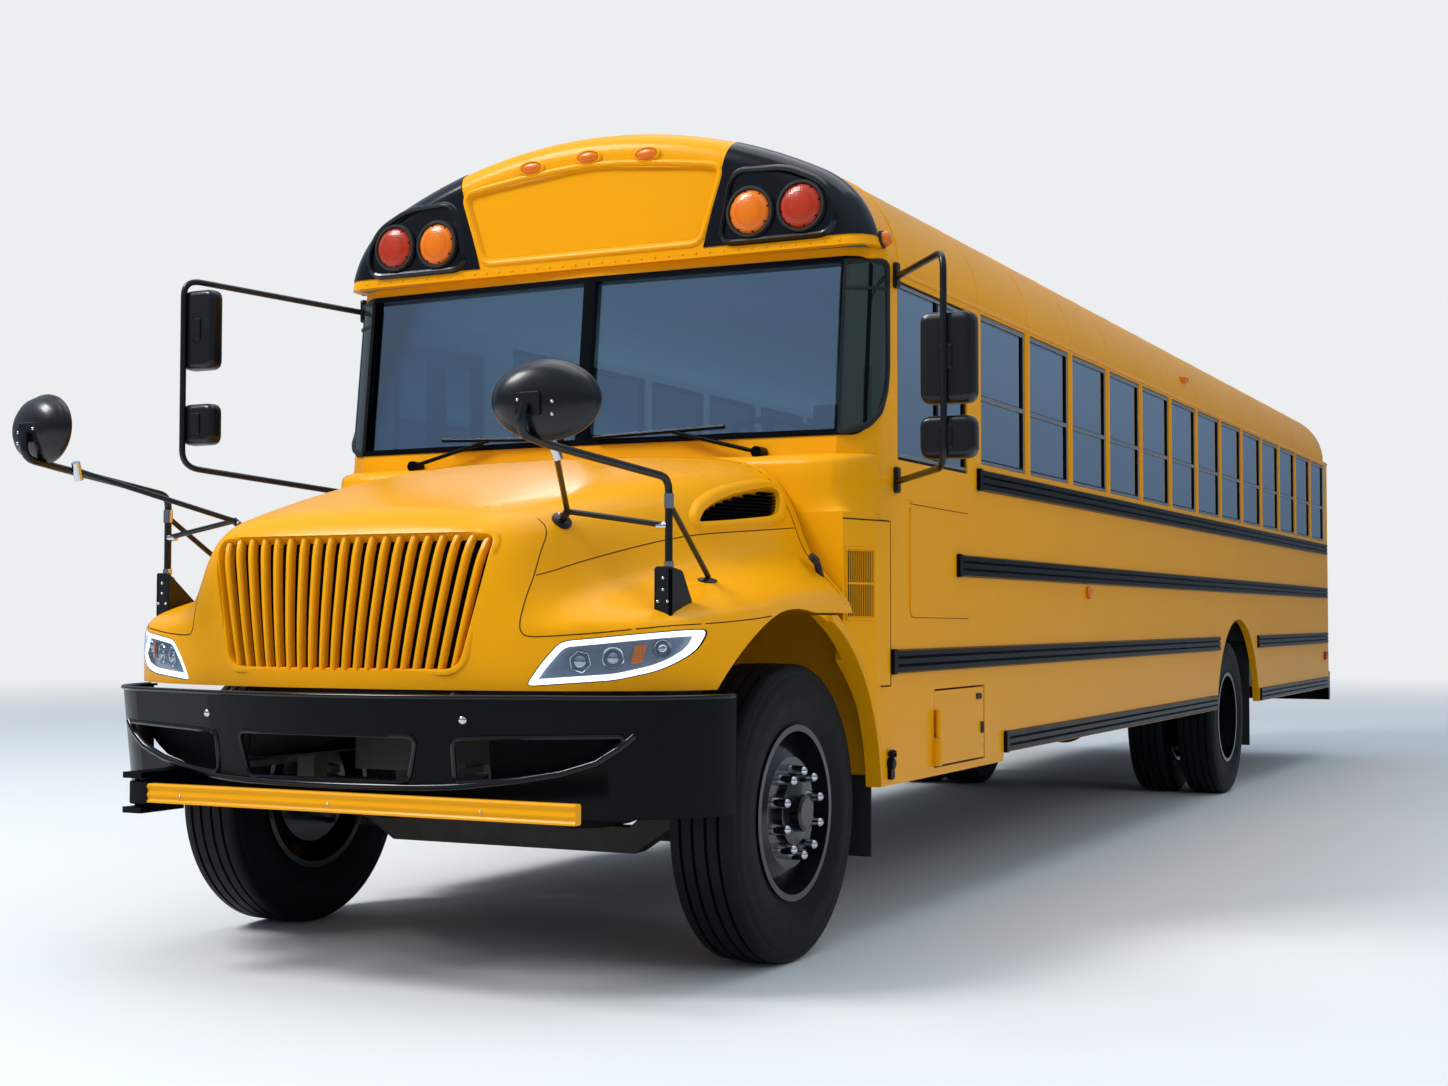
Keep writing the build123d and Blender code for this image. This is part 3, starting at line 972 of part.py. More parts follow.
with BuildPart() as amber_lamps:
    for side in (-1, 1):
        for (x, z), y, way in ((CAP_LAMPS["amber"], FRONT_FACE_Y, -1), (REAR_CAP_LAMPS["amber"], REAR_FACE_Y, 1),
                               ((740, REAR_LAMP_Z), REAR_FACE_Y, 1)):
            with BuildSketch(section_at(y)):
                with Locations((side * x, z)):
                    Circle(LENS_RADIUS)
            extrude(amount=-way * LENS_DEPTH)
        rod((side * (BODY_HALF + SEAT_GAP), FRONT_AXLE_Y + 3_376, 1_302),
            (side * (BODY_HALF + 16), FRONT_AXLE_Y + 3_376, 1_302), 32)
        rod((side * (BODY_HALF - 20), FRONT_AXLE_Y + 640, 2_590),
            (side * (BODY_HALF + 22), FRONT_AXLE_Y + 640, 2_590), 24)
        block(sorted((side * (BODY_HALF - 30), side * (BODY_HALF + 10))),
              (FRONT_AXLE_Y + 5_500, FRONT_AXLE_Y + 5_600), (2_610, 2_645))
    with BuildSketch(section_at(FRONT_FACE_Y)):
        with Locations((0, 3_000), (265, 2_984), (-265, 2_984)):
            Ellipse(45, 17)
    extrude(amount=14)
    add(roof.part, mode=Mode.SUBTRACT)
    add(roof_cap_front.part, mode=Mode.SUBTRACT)
pieces["amber_lamps"] = amber_lamps

# Bumpers: the front one wraps round and leans back towards its lower edge
BUMPER_LEAN = 50
LIP_DEPTH = 25


def bumper_plan(z, inset):
    """Closed plan of the front bumper at height z, moved in by inset."""
    y0 = FRONT_AXLE_Y + BUMPER_LEAN * (BUMPER_TOP_Z - z) / (BUMPER_TOP_Z - BUMPER_BOTTOM_Z)
    knee = (500 - inset * 0.24, y0 - 1_090 + inset * 0.97)
    turn = (930 - inset * 0.3, y0 - 962 + inset * 0.95)
    middle = (1_115 - inset * 0.66, y0 - 825 + inset * 0.75)
    end = (1_200 - inset, y0 - 590)
    with BuildLine() as line:
        ThreePointArc((-knee[0], knee[1]), (0, y0 - 1_150 + inset), knee)
        for way in (1, -1):
            Line((way * knee[0], knee[1]), (way * turn[0], turn[1]))
            ThreePointArc((way * turn[0], turn[1]), (way * middle[0], middle[1]), (way * end[0], end[1]))
        Line(end, (-end[0], end[1]))
    return line.edges()


def bumper_solid(inset, low, high):
    """Solid inside the bumper's outline between two heights."""
    with BuildPart() as solid:
        for z in (low, high):
            with BuildSketch(Plane.XY.offset(z)):
                make_face(bumper_plan(z, inset))
        loft(ruled=True)
    return solid.part


ARM_PIVOT = (-750, FRONT_AXLE_Y - 1_137)
ARM_Z = (558, 637)
ARM_PIN_RADIUS = 8
REAR_BUMPER_Z = (480, 720)
with BuildPart() as bumpers:
    add(bumper_solid(0, BUMPER_BOTTOM_Z, BUMPER_TOP_Z))
    add(bumper_solid(BUMPER_SKIN, BUMPER_BOTTOM_Z - 1, BUMPER_TOP_Z - BUMPER_SKIN), mode=Mode.SUBTRACT)
    add(bumper_solid(LIP_DEPTH, BUMPER_TOP_Z - 2 * BUMPER_SKIN, BUMPER_TOP_Z + 1), mode=Mode.SUBTRACT)
    block((-BODY_HALF, BODY_HALF), (FRONT_AXLE_Y - 596, FRONT_AXLE_Y - 500), (500, 1_000), mode=Mode.SUBTRACT)
    # Openings: one in the middle and a crescent each side
    with BuildSketch(section_at(FRONT_AXLE_Y - 700)):
        with BuildLine():
            FilletPolyline((-345, 805), (345, 805), (310, 668), (-310, 668), radius=28, close=True)
        make_face()
        for side in (-1, 1):
            with BuildLine():
                Line((side * 470, 800), (side * 985, 812))
                ThreePointArc((side * 985, 812), (side * 850, 722), (side * 470, 672))
                Line((side * 470, 672), (side * 470, 800))
            make_face()
    extrude(amount=600, mode=Mode.SUBTRACT)
    # Mount of the crossing arm with its pin
    block((ARM_PIVOT[0] - 40, ARM_PIVOT[0] + 40), (ARM_PIVOT[1] + 32, ARM_PIVOT[1] + 178), (530, 665))
    for z in ((530, 550), (645, 665)):
        block((ARM_PIVOT[0] - 40, ARM_PIVOT[0] + 40), (ARM_PIVOT[1] - 24, ARM_PIVOT[1] + 33), z)
    rod((*ARM_PIVOT, 545), (*ARM_PIVOT, 650), ARM_PIN_RADIUS)
    # Rear bumper
    with BuildSketch(Plane.XY.offset(REAR_BUMPER_Z[0])):
        with BuildLine():
            FilletPolyline((-BODY_HALF, REAR_FACE_Y), (-BODY_HALF, BACK_Y), (BODY_HALF, BACK_Y),
                           (BODY_HALF, REAR_FACE_Y), radius=60)
            Line((BODY_HALF, REAR_FACE_Y), (-BODY_HALF, REAR_FACE_Y))
        make_face()
    extrude(amount=REAR_BUMPER_Z[1] - REAR_BUMPER_Z[0])
pieces["bumpers"] = bumpers

with BuildPart() as crossing_arm:
    block((ARM_PIVOT[0] - 18, 950), (ARM_PIVOT[1] - 17, ARM_PIVOT[1] + 17), ARM_Z)
    rod((*ARM_PIVOT, ARM_Z[0] - 1), (*ARM_PIVOT, ARM_Z[1] + 1), ARM_PIN_RADIUS + SEAT_GAP, mode=Mode.SUBTRACT)
pieces["crossing_arm"] = crossing_arm

# Mud flaps behind the wheels
with BuildPart() as mud_flaps:
    for side in (-1, 1):
        block(sorted((side * 880, side * (BODY_HALF - WALL - 4))), (FIREWALL_Y - 8, FIREWALL_Y - SEAT_GAP), (290, 590))
        block(sorted((side * 585, side * (BODY_HALF - WALL - 4))), (REAR_AXLE_Y + 660, REAR_AXLE_Y + 668),
              (280, FLOOR_TOP_Z - FLOOR_THICK - SEAT_GAP))
pieces["mud_flaps"] = mud_flaps

# Seats: one bench each side in every row, and the driver's seat
SEAT_DEPTH = 400
DRIVER_SEAT = {"x": (370, 850), "y": FRONT_AXLE_Y + 1_370, "rise": 60}


def seat_profile(y, z):
    """Side view of a seat pad with its back, its front at y on a base at z."""
    with BuildLine() as line:
        FilletPolyline((y, z), (y + SEAT_DEPTH + 30, z), (y + SEAT_DEPTH + 125, z + 750), (y + SEAT_DEPTH + 55, z + 750),
                       (y + SEAT_DEPTH - 30, z + 110), (y, z + 120), radius=22, close=True)
    return line.edges()


seat_ys = [SEAT_FRONT_Y + WINDOW_PITCH * i for i in range(SEAT_ROWS)]
SEAT_BASE_Z = CUSHION_TOP_Z - 120
with BuildPart() as seat_cushions:
    for low, high in ((SEAT_INNER_X, SEAT_OUTER_X), (-SEAT_OUTER_X, -SEAT_INNER_X)):
        for y in seat_ys:
            with BuildSketch(side_at(low)):
                make_face(seat_profile(y, SEAT_BASE_Z))
            extrude(amount=high - low)
    with BuildSketch(side_at(DRIVER_SEAT["x"][0])):
        make_face(seat_profile(DRIVER_SEAT["y"], SEAT_BASE_Z + DRIVER_SEAT["rise"]))
    extrude(amount=DRIVER_SEAT["x"][1] - DRIVER_SEAT["x"][0])
pieces["seat_cushions"] = seat_cushions

LEG = 30
with BuildPart() as seat_frames:
    for side in (-1, 1):
        for y in seat_ys:
            block(sorted((side * (SEAT_INNER_X + 60), side * (SEAT_OUTER_X - 20))), (y + 60, y + SEAT_DEPTH - 20),
                  (SEAT_BASE_Z - 24, SEAT_BASE_Z - SEAT_GAP))
            for leg_y in (y + 80, y + SEAT_DEPTH - 60):
                for leg_x in (SEAT_INNER_X + 90, SEAT_OUTER_X - 60):
                    near_box = abs(leg_y - REAR_AXLE_Y) < BOX_HALF_LENGTH + LEG and leg_x > BOX_INNER_X
                    foot_z = BOX_TOP_Z if near_box else FLOOR_TOP_Z
                    block(sorted((side * (leg_x - LEG / 2), side * (leg_x + LEG / 2))),
                          (leg_y - LEG / 2, leg_y + LEG / 2), (foot_z + SEAT_GAP, SEAT_BASE_Z - 20))
    block((470, 750), (DRIVER_SEAT["y"] + 80, DRIVER_SEAT["y"] + 360),
          (FLOOR_TOP_Z + SEAT_GAP, SEAT_BASE_Z + DRIVER_SEAT["rise"] - SEAT_GAP))
pieces["seat_frames"] = seat_frames

# Dashboard with the steering column
WHEEL_CENTRE = Vector(600, FRONT_AXLE_Y + 1_050, 1_850)
WHEEL_AXIS = Vector(0, 0.5, math.sqrt(3) / 2)
COLUMN_TOP = WHEEL_CENTRE - WHEEL_AXIS * 30
COLUMN_RADIUS = 28
DASH_X = (STEP_INNER_X + 20, 1_100)
with BuildPart() as dashboard:
    with BuildSketch(side_at(DASH_X[0])):
        with BuildLine():
            Polyline((FIREWALL_Y + 41, 1_300), (FIREWALL_Y + 200, 1_380), (FIREWALL_Y + 290, 1_560),
                     (FIREWALL_Y + 250, 1_740), (FIREWALL_Y - 20, 1_800), (FIREWALL_Y - 20, DECK_TOP_Z + SEAT_GAP),
                     (FIREWALL_Y + 41, DECK_TOP_Z + SEAT_GAP), close=True)
        make_face()
    extrude(amount=DASH_X[1] - DASH_X[0])
    rod(tuple(WHEEL_CENTRE - WHEEL_AXIS * 380), tuple(COLUMN_TOP), COLUMN_RADIUS)
    rod(tuple(COLUMN_TOP - WHEEL_AXIS * 5), tuple(WHEEL_CENTRE + WHEEL_AXIS * 5), 10)
pieces["dashboard"] = dashboard

with BuildPart() as steering_wheel:
    with Locations(Plane(origin=tuple(WHEEL_CENTRE), z_dir=tuple(WHEEL_AXIS)).location):
        Torus(225, 14)
        Cylinder(45, 36)
        Box(450, 34, 12)
        with Locations((0, -110, 0)):
            Box(34, 220, 12)
        with Locations((0, 0, -13)):
            Cylinder(10 + SEAT_GAP, 40, mode=Mode.SUBTRACT)
pieces["steering_wheel"] = steering_wheel

# Steering knuckles: ears round the kingpin, web, spindle and arm
KNUCKLE_EARS = ((415, 445), (575, 605))
KNUCKLE_WEB_X = (903, 925)
SPINDLE_END_X = 1_090
ARM_PIN = 10
TIE_ROD_Z = 375
for name, side in (("knuckle_left", 1), ("knuckle_right", -1)):
    with BuildPart() as knuckle:
        for low, high in KNUCKLE_EARS:
            with Locations((side * KINGPIN_X, FRONT_AXLE_Y, (low + high) / 2)):
                Cylinder(42, high - low)
            block(sorted((side * KINGPIN_X, side * KNUCKLE_WEB_X[1])), (FRONT_AXLE_Y - 42, FRONT_AXLE_Y + 42), (low, high))
        block(sorted((side * KNUCKLE_WEB_X[0], side * KNUCKLE_WEB_X[1])), (FRONT_AXLE_Y - 42, FRONT_AXLE_Y + 42),
              (KNUCKLE_EARS[0][0], KNUCKLE_EARS[1][1]))
        rod((side * 910, FRONT_AXLE_Y, HUB_Z), (side * SPINDLE_END_X, FRONT_AXLE_Y, HUB_Z), SPINDLE_RADIUS)
        block(sorted((side * (KINGPIN_X - 18), side * (KINGPIN_X + 18))), (FRONT_AXLE_Y + 20, FRONT_AXLE_Y + STEER_ARM),
              (415, 435))
        with Locations((side * KINGPIN_X, FRONT_AXLE_Y + STEER_ARM, 425)):
            Cylinder(22, 20)
            Cylinder(ARM_PIN + SEAT_GAP, 30, mode=Mode.SUBTRACT)
        with Locations((side * KINGPIN_X, FRONT_AXLE_Y, HUB_Z)):
            Cylinder(KINGPIN_RADIUS + SEAT_GAP, 260, mode=Mode.SUBTRACT)
    pieces[name] = knuckle

with BuildPart() as tie_rod:
    ends = [(-KINGPIN_X, FRONT_AXLE_Y + STEER_ARM, TIE_ROD_Z), (KINGPIN_X, FRONT_AXLE_Y + STEER_ARM, TIE_ROD_Z)]
    rod(*ends, 16)
    for end in ends:
        with Locations(end):
            Cylinder(22, 36)
            Cylinder(ARM_PIN, 70, align=(Align.CENTER, Align.CENTER, Align.MIN))
pieces["tie_rod"] = tie_rod


def round_x(profile, axle_y):
    """Solid turned about the wheel axis at axle_y from a profile of (X, radius)."""
    with BuildSketch(Plane(origin=(0, axle_y, HUB_Z), x_dir=(1, 0, 0), z_dir=(0, -1, 0))) as half:
        with BuildLine():
            Polyline(*profile, close=True)
        make_face()
    revolve(half.sketch, axis=Axis((0, axle_y, HUB_Z), (1, 0, 0)))


def rim_profile(side, centre):
    """Barrel and flanges of a rim."""
    flat = RIM_HALF
    edge = RIM_HALF + RIM_THICK
    low = RIM_RADIUS - RIM_THICK
    profile = [(-edge, low), (-edge, FLANGE_RADIUS), (-flat, FLANGE_RADIUS), (-flat, RIM_RADIUS),
               (flat, RIM_RADIUS), (flat, FLANGE_RADIUS), (edge, FLANGE_RADIUS), (edge, low)]
    return [(side * (centre + x), r) for x, r in profile]


FRONT_FACE_X = 1_100
DISC_THICK = 12
REAR_HUB_END_X = 1_030
for name, side in (("front_wheel_left", 1), ("front_wheel_right", -1)):
    with BuildPart() as wheel:
        round_x(rim_profile(side, FRONT_WHEEL_X), FRONT_AXLE_Y)
        low = RIM_RADIUS - RIM_THICK + 2
        round_x([(side * x, r) for x, r in ((1_040, low), (1_060, low), (FRONT_FACE_X + DISC_THICK, 190),
                                            (FRONT_FACE_X + DISC_THICK, 100), (FRONT_FACE_X, 100),
                                            (FRONT_FACE_X, 190))], FRONT_AXLE_Y)
        round_x([(side * x, r) for x, r in ((935, 0), (935, DRUM_RADIUS), (1_075, DRUM_RADIUS), (1_085, 110),
                                            (1_130, 110), (1_136, 66), (1_168, 62), (1_174, 50), (1_174, 0))],
                FRONT_AXLE_Y)
        rod((side * 930, FRONT_AXLE_Y, HUB_Z), (side * (SPINDLE_END_X + 5), FRONT_AXLE_Y, HUB_Z),
            SPINDLE_RADIUS + SEAT_GAP, mode=Mode.SUBTRACT)
    pieces[name] = wheel

for name, side in (("rear_wheels_left", 1), ("rear_wheels_right", -1)):
    with BuildPart() as wheel:
        low = RIM_RADIUS - RIM_THICK + 2
        for centre, way in ((REAR_OUTER_X, -1), (REAR_OUTER_X - DUAL_SPACING, 1)):
            round_x(rim_profile(side, centre), REAR_AXLE_Y)
            face = REAR_MOUNT_X
            round_x([(side * x, r) for x, r in ((centre + way * 20, low), (centre + way * 40, low), (face, 190),
                                                (face, 100), (face - way * DISC_THICK, 100),
                                                (face - way * DISC_THICK, 190))], REAR_AXLE_Y)
        round_x([(side * x, r) for x, r in ((600, 0), (600, DRUM_RADIUS + 5), (800, DRUM_RADIUS + 5), (820, 110),
                                            (960, 110), (970, 92), (REAR_HUB_END_X - 10, 88), (REAR_HUB_END_X, 70),
                                            (REAR_HUB_END_X, 0))], REAR_AXLE_Y)
        rod((side * 590, REAR_AXLE_Y, HUB_Z), (side * (REAR_MOUNT_X + 65), REAR_AXLE_Y, HUB_Z),
            REAR_SPINDLE_RADIUS + SEAT_GAP, mode=Mode.SUBTRACT)
    pieces[name] = wheel


def tyre_solid(centre, axle_y):
    """Tyre with its bore on the rim, turned about the axle."""
    bore = RIM_RADIUS + SEAT_GAP
    with BuildSketch(Plane(origin=(centre, axle_y, HUB_Z), x_dir=(1, 0, 0), z_dir=(0, -1, 0))) as half:
        with BuildLine():
            Line((-100, bore), (100, bore))
            Line((-90, TYRE_RADIUS), (90, TYRE_RADIUS))
            for side in (-1, 1):
                Line((side * 100, bore), (side * 104, 300))
                ThreePointArc((side * 104, 300), (side * TYRE_WIDTH / 2, 395), (side * 114, 478))
                ThreePointArc((side * 114, 478), (side * 107, 500), (side * 90, TYRE_RADIUS))
        make_face()
    revolve(half.sketch, axis=Axis((0, axle_y, HUB_Z), (1, 0, 0)))


for name, centres, axle_y in (("front_tyre_left", [FRONT_WHEEL_X], FRONT_AXLE_Y),
                              ("front_tyre_right", [-FRONT_WHEEL_X], FRONT_AXLE_Y),
                              ("rear_tyres_left", [REAR_OUTER_X, REAR_OUTER_X - DUAL_SPACING], REAR_AXLE_Y),
                              ("rear_tyres_right", [-REAR_OUTER_X, DUAL_SPACING - REAR_OUTER_X], REAR_AXLE_Y)):
    with BuildPart() as tyre:
        for centre in centres:
            tyre_solid(centre, axle_y)
    pieces[name] = tyre

# Doors. Each hangs on barrels that stand off the outside of the body
HINGE_OFFSET = 18
BARREL_RADIUS = 12
HINGE_PIN = 6
BARREL_HALF = 55
LEAF_THICK = 34
LEAF_FACE = BODY_HALF - 2
LEAF_SPLIT = 9


def fixed_barrel(x, y, z, plate):
    """Lower half of a hinge with its pin, joined to the body by the plate."""
    rod((x, y, z - 2 * BARREL_HALF), (x, y, z - 1), BARREL_RADIUS)
    rod((x, y, z - 2 * BARREL_HALF), (x, y, z + 2 * BARREL_HALF - 4), HINGE_PIN)
    block(*plate, (z - 2 * BARREL_HALF, z - 1))


def moving_barrel(x, y, z, plate):
    """Upper half of a hinge, round the pin, joined to the leaf by the plate."""
    rod((x, y, z + 1), (x, y, z + 2 * BARREL_HALF), BARREL_RADIUS)
    block(*plate, (z + 1, z + 2 * BARREL_HALF))
    rod((x, y, z), (x, y, z + 2 * BARREL_HALF - 2), HINGE_PIN + SEAT_GAP, mode=Mode.SUBTRACT)


DOOR_HINGE_X = -(BODY_HALF + HINGE_OFFSET)
DOOR_HINGE_ZS = (700, 2_150)
DOOR_FRAME_WIDTH = 48
DOOR_PANES = ((560, 1_240), (1_330, 2_330))
for name, hinge_y, way in (("front", DOOR_FRONT_Y, 1), ("rear", DOOR_BACK_Y, -1)):
    edge_y = hinge_y + way * PANEL_GAP
    free_y = hinge_y + way * (DOOR_WIDTH / 2 - LEAF_SPLIT)
    leaf_y = sorted((edge_y, free_y))
    leaf_x = (-LEAF_FACE, -LEAF_FACE + LEAF_THICK)
    with BuildPart() as leaf:
        block(leaf_x, leaf_y, (DOOR_BOTTOM_Z + PANEL_GAP, DOOR_TOP_Z - PANEL_GAP))
        for low, high in DOOR_PANES:
            block((-BODY_HALF - 1, -BODY_HALF + WALL), (leaf_y[0] + DOOR_FRAME_WIDTH, leaf_y[1] - DOOR_FRAME_WIDTH),
                  (low, high), mode=Mode.SUBTRACT)
        for z in DOOR_HINGE_ZS:
            plate = ((DOOR_HINGE_X, -LEAF_FACE + 1), sorted((hinge_y + way * 6, hinge_y + way * 30)))
            moving_barrel(DOOR_HINGE_X, hinge_y, z, plate)
    pieces[f"entrance_door_{name}"] = leaf
    with BuildPart() as pane:
        for low, high in DOOR_PANES:
            block((leaf_x[0] + 12, leaf_x[0] + 18),
                  (leaf_y[0] + DOOR_FRAME_WIDTH + SEAT_GAP, leaf_y[1] - DOOR_FRAME_WIDTH - SEAT_GAP),
                  (low + SEAT_GAP, high - SEAT_GAP))
    pieces[f"entrance_glass_{name}"] = pane

REAR_HINGE = (-REAR_DOOR_HALF, BODY_BACK_Y + HINGE_OFFSET)
REAR_HINGE_ZS = (1_300, 2_150)
REAR_PANES = ((1_180, 1_560), (1_720, 2_320))
REAR_LEAF_Y = (BODY_BACK_Y - 2 - LEAF_THICK, BODY_BACK_Y - 2)
with BuildPart() as emergency_door:
    block((-REAR_DOOR_HALF + PANEL_GAP, REAR_DOOR_HALF - PANEL_GAP), REAR_LEAF_Y,
          (REAR_DOOR_BOTTOM_Z + PANEL_GAP, REAR_DOOR_TOP_Z - PANEL_GAP))
    for low, high in REAR_PANES:
        block((-REAR_DOOR_HALF + 90, REAR_DOOR_HALF - 90), (REAR_LEAF_Y[0] - 1, REAR_LEAF_Y[1] + 1), (low, high),
              mode=Mode.SUBTRACT)
    for z in REAR_HINGE_ZS:
        plate = ((REAR_HINGE[0] + 6, REAR_HINGE[0] + 30), (REAR_LEAF_Y[1] - 1, REAR_HINGE[1]))
        moving_barrel(*REAR_HINGE, z, plate)
pieces["emergency_door"] = emergency_door

with BuildPart() as emergency_glass:
    for low, high in REAR_PANES:
        block((-REAR_DOOR_HALF + 90 + SEAT_GAP, REAR_DOOR_HALF - 90 - SEAT_GAP),
              (REAR_LEAF_Y[0] + 12, REAR_LEAF_Y[0] + 18), (low + SEAT_GAP, high - SEAT_GAP))
pieces["emergency_glass"] = emergency_glass

HATCH_HINGE = (BODY_HALF + HINGE_OFFSET, HATCH_Y[0])
HATCH_HINGE_Z = 700
with BuildPart() as compartment_door:
    block((BODY_HALF - 26, BODY_HALF - 2), (HATCH_Y[0] + PANEL_GAP, HATCH_Y[1] - PANEL_GAP),
          (HATCH_Z[0] + PANEL_GAP, HATCH_Z[1] - PANEL_GAP))
    moving_barrel(*HATCH_HINGE, HATCH_HINGE_Z,
                  ((BODY_HALF - 3, HATCH_HINGE[0]), (HATCH_Y[0] + 6, HATCH_Y[0] + 30)))
pieces["compartment_door"] = compartment_door

with pieces["wall_right"]:
    for hinge_y, way in ((DOOR_FRONT_Y, -1), (DOOR_BACK_Y, 1)):
        for z in DOOR_HINGE_ZS:
            fixed_barrel(DOOR_HINGE_X, hinge_y, z, ((DOOR_HINGE_X, -BODY_HALF + 1), sorted((hinge_y, hinge_y + way * 25))))
with pieces["wall_left"]:
    fixed_barrel(*HATCH_HINGE, HATCH_HINGE_Z, ((BODY_HALF - 1, HATCH_HINGE[0]), (HATCH_Y[0] - 25, HATCH_Y[0])))
with pieces["rear_wall"]:
    for z in REAR_HINGE_ZS:
        fixed_barrel(*REAR_HINGE, z, ((REAR_HINGE[0] - 25, REAR_HINGE[0]), (BODY_BACK_Y - 1, REAR_HINGE[1])))

for name, piece in pieces.items():
    piece.part.label = name
    export_step(piece.part, f"parts/{name}.step")
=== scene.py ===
# %% [markdown]
# # A conventional school bus
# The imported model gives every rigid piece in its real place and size. This notebook dresses it:
# paint, glass and rubber for the pieces that are already right, and new meshes for the tyre tread,
# the seat pads, the lamp lenses, the rivets and the trim.

# %% Load the frame
import math

import bmesh
import bpy
import numpy as np
from mathutils import Matrix, Vector
from mathutils.bvhtree import BVHTree


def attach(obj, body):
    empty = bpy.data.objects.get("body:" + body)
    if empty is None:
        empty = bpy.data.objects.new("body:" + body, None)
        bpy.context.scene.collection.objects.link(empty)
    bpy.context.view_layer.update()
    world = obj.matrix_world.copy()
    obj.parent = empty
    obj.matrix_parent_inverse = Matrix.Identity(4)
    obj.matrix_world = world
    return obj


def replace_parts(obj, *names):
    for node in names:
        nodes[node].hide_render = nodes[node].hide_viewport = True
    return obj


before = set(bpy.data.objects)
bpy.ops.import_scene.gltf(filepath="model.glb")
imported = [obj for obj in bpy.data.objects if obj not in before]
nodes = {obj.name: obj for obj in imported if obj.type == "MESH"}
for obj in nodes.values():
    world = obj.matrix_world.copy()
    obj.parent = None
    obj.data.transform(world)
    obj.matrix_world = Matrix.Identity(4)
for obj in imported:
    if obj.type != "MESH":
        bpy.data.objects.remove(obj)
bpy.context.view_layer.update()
# Metres in the frame's own axes: the front faces -Y and the driver's side is +X
FRONT_AXLE_Y = -4.77
REAR_AXLE_Y = 2.24
HUB_Z = 0.509
BODY_HALF = 1.204
SIDES = (("left", 1), ("right", -1))

# %% [markdown]
# ## Camera
# The view stands at head height in front of the driver's corner, with a normal lens. The small
# shift keeps the bus as far off the middle of the frame as it is in the photograph.

# %% Camera
camera_data = bpy.data.cameras.new("camera")
camera = bpy.data.objects.new("camera", camera_data)
bpy.context.scene.collection.objects.link(camera)
bpy.context.scene.camera = camera
camera_data.lens = 46.96
camera_data.sensor_width = 36
camera_data.shift_x = -0.0185
camera_data.shift_y = 0.0059
camera_data.clip_end = 300
TURN = math.radians(25.87)
RISE = math.radians(2.04)
look = Vector((-math.sin(TURN) * math.cos(RISE), math.cos(TURN) * math.cos(RISE), math.sin(RISE)))
camera.location = (3.8233, -10.6749, 1.1711)
camera.rotation_euler = look.to_track_quat("-Z", "Y").to_euler()
bpy.context.scene.view_settings.view_transform = "Standard"
print("camera looks along", tuple(round(v, 3) for v in look))

# %% [markdown]
# ## Small helpers
# One function turns a written sRGB colour to linear, and one adds a node with its settings and
# links. The others turn points and faces into a mesh, and a mesh into an object that rides on a body.


# %% Helpers
def linear(hex_colour, alpha=1.0):
    """Linear RGBA of a colour written as six sRGB hex digits."""
    parts = [int(hex_colour[i:i + 2], 16) / 255 for i in (0, 2, 4)]
    return (*[c / 12.92 if c <= 0.04045 else ((c + 0.055) / 1.055) ** 2.4 for c in parts], alpha)


def add_node(tree, kind, settings=None, inputs=None):
    """Adds a node. An input that is a socket is linked, and any other is set."""
    node = tree.nodes.new(kind)
    for key, value in (settings or {}).items():
        setattr(node, key, value)
    for key, value in (inputs or {}).items():
        if isinstance(value, bpy.types.NodeSocket):
            tree.links.new(value, node.inputs[key])
        else:
            node.inputs[key].default_value = value
    return node


def new_material(name):
    """Empty material and its node tree."""
    material = bpy.data.materials.new(name)
    material.use_nodes = True
    material.node_tree.nodes.clear()
    return material, material.node_tree


def finish_material(tree, shader):
    """Links the shader to a new output."""
    add_node(tree, "ShaderNodeOutputMaterial", None, {"Surface": shader.outputs[0]})


def linked(name, data):
    """New object at the origin, in the scene."""
    made = bpy.data.objects.new(name, data)
    bpy.context.scene.collection.objects.link(made)
    return made


def mesh_object(name, mesh, material, smooth_angle=None):
    """Object with one material; edges flatter than the angle are shaded smooth."""
    piece = linked(name, mesh)
    mesh.materials.clear()
    mesh.materials.append(material)
    if smooth_angle is not None:
        mesh.shade_smooth()
        mesh.set_sharp_from_angle(angle=math.radians(smooth_angle))
    return piece


def fitted(name, mesh, material, body, slot, smooth_angle=None):
    """Object with one material that rides on a body; slot is not used."""
    piece = mesh_object(name, mesh, material, smooth_angle)
    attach(piece, body)
    return piece


def mesh_of(name, bm):
    """Mesh from a bmesh, which is then freed."""
    mesh = bpy.data.meshes.new(name)
    bm.to_mesh(mesh)
    bm.free()
    return mesh


def mesh_from(name, vertices, faces):
    """Mesh from points and faces, with its doubles merged and its faces pointing outwards."""
    bm = bmesh.new()
    points = [bm.verts.new(v) for v in vertices]
    for face in faces:
        if len(set(face)) > 2:
            bm.faces.new([points[i] for i in face])
    bmesh.ops.remove_doubles(bm, verts=bm.verts, dist=1e-5)
    bmesh.ops.recalc_face_normals(bm, faces=bm.faces)
    return mesh_of(name, bm)


def plain_mesh(carrier):
    """Mesh of an object with its modifiers applied; the object itself is removed."""
    depsgraph = bpy.context.evaluated_depsgraph_get()
    made = bpy.data.meshes.new_from_object(carrier.evaluated_get(depsgraph), depsgraph=depsgraph)
    bpy.data.objects.remove(carrier)
    return made


def ring_faces(rows, columns, wrap_rows=True, wrap_columns=True):
    """Quads of a grid of points stored row by row."""
    faces = []
    for i in range(rows if wrap_rows else rows - 1):
        for j in range(columns if wrap_columns else columns - 1):
            a, b = i * columns + j, i * columns + (j + 1) % columns
            c, d = ((i + 1) % rows) * columns + (j + 1) % columns, ((i + 1) % rows) * columns + j
            faces.append((a, b, c, d))
    return faces


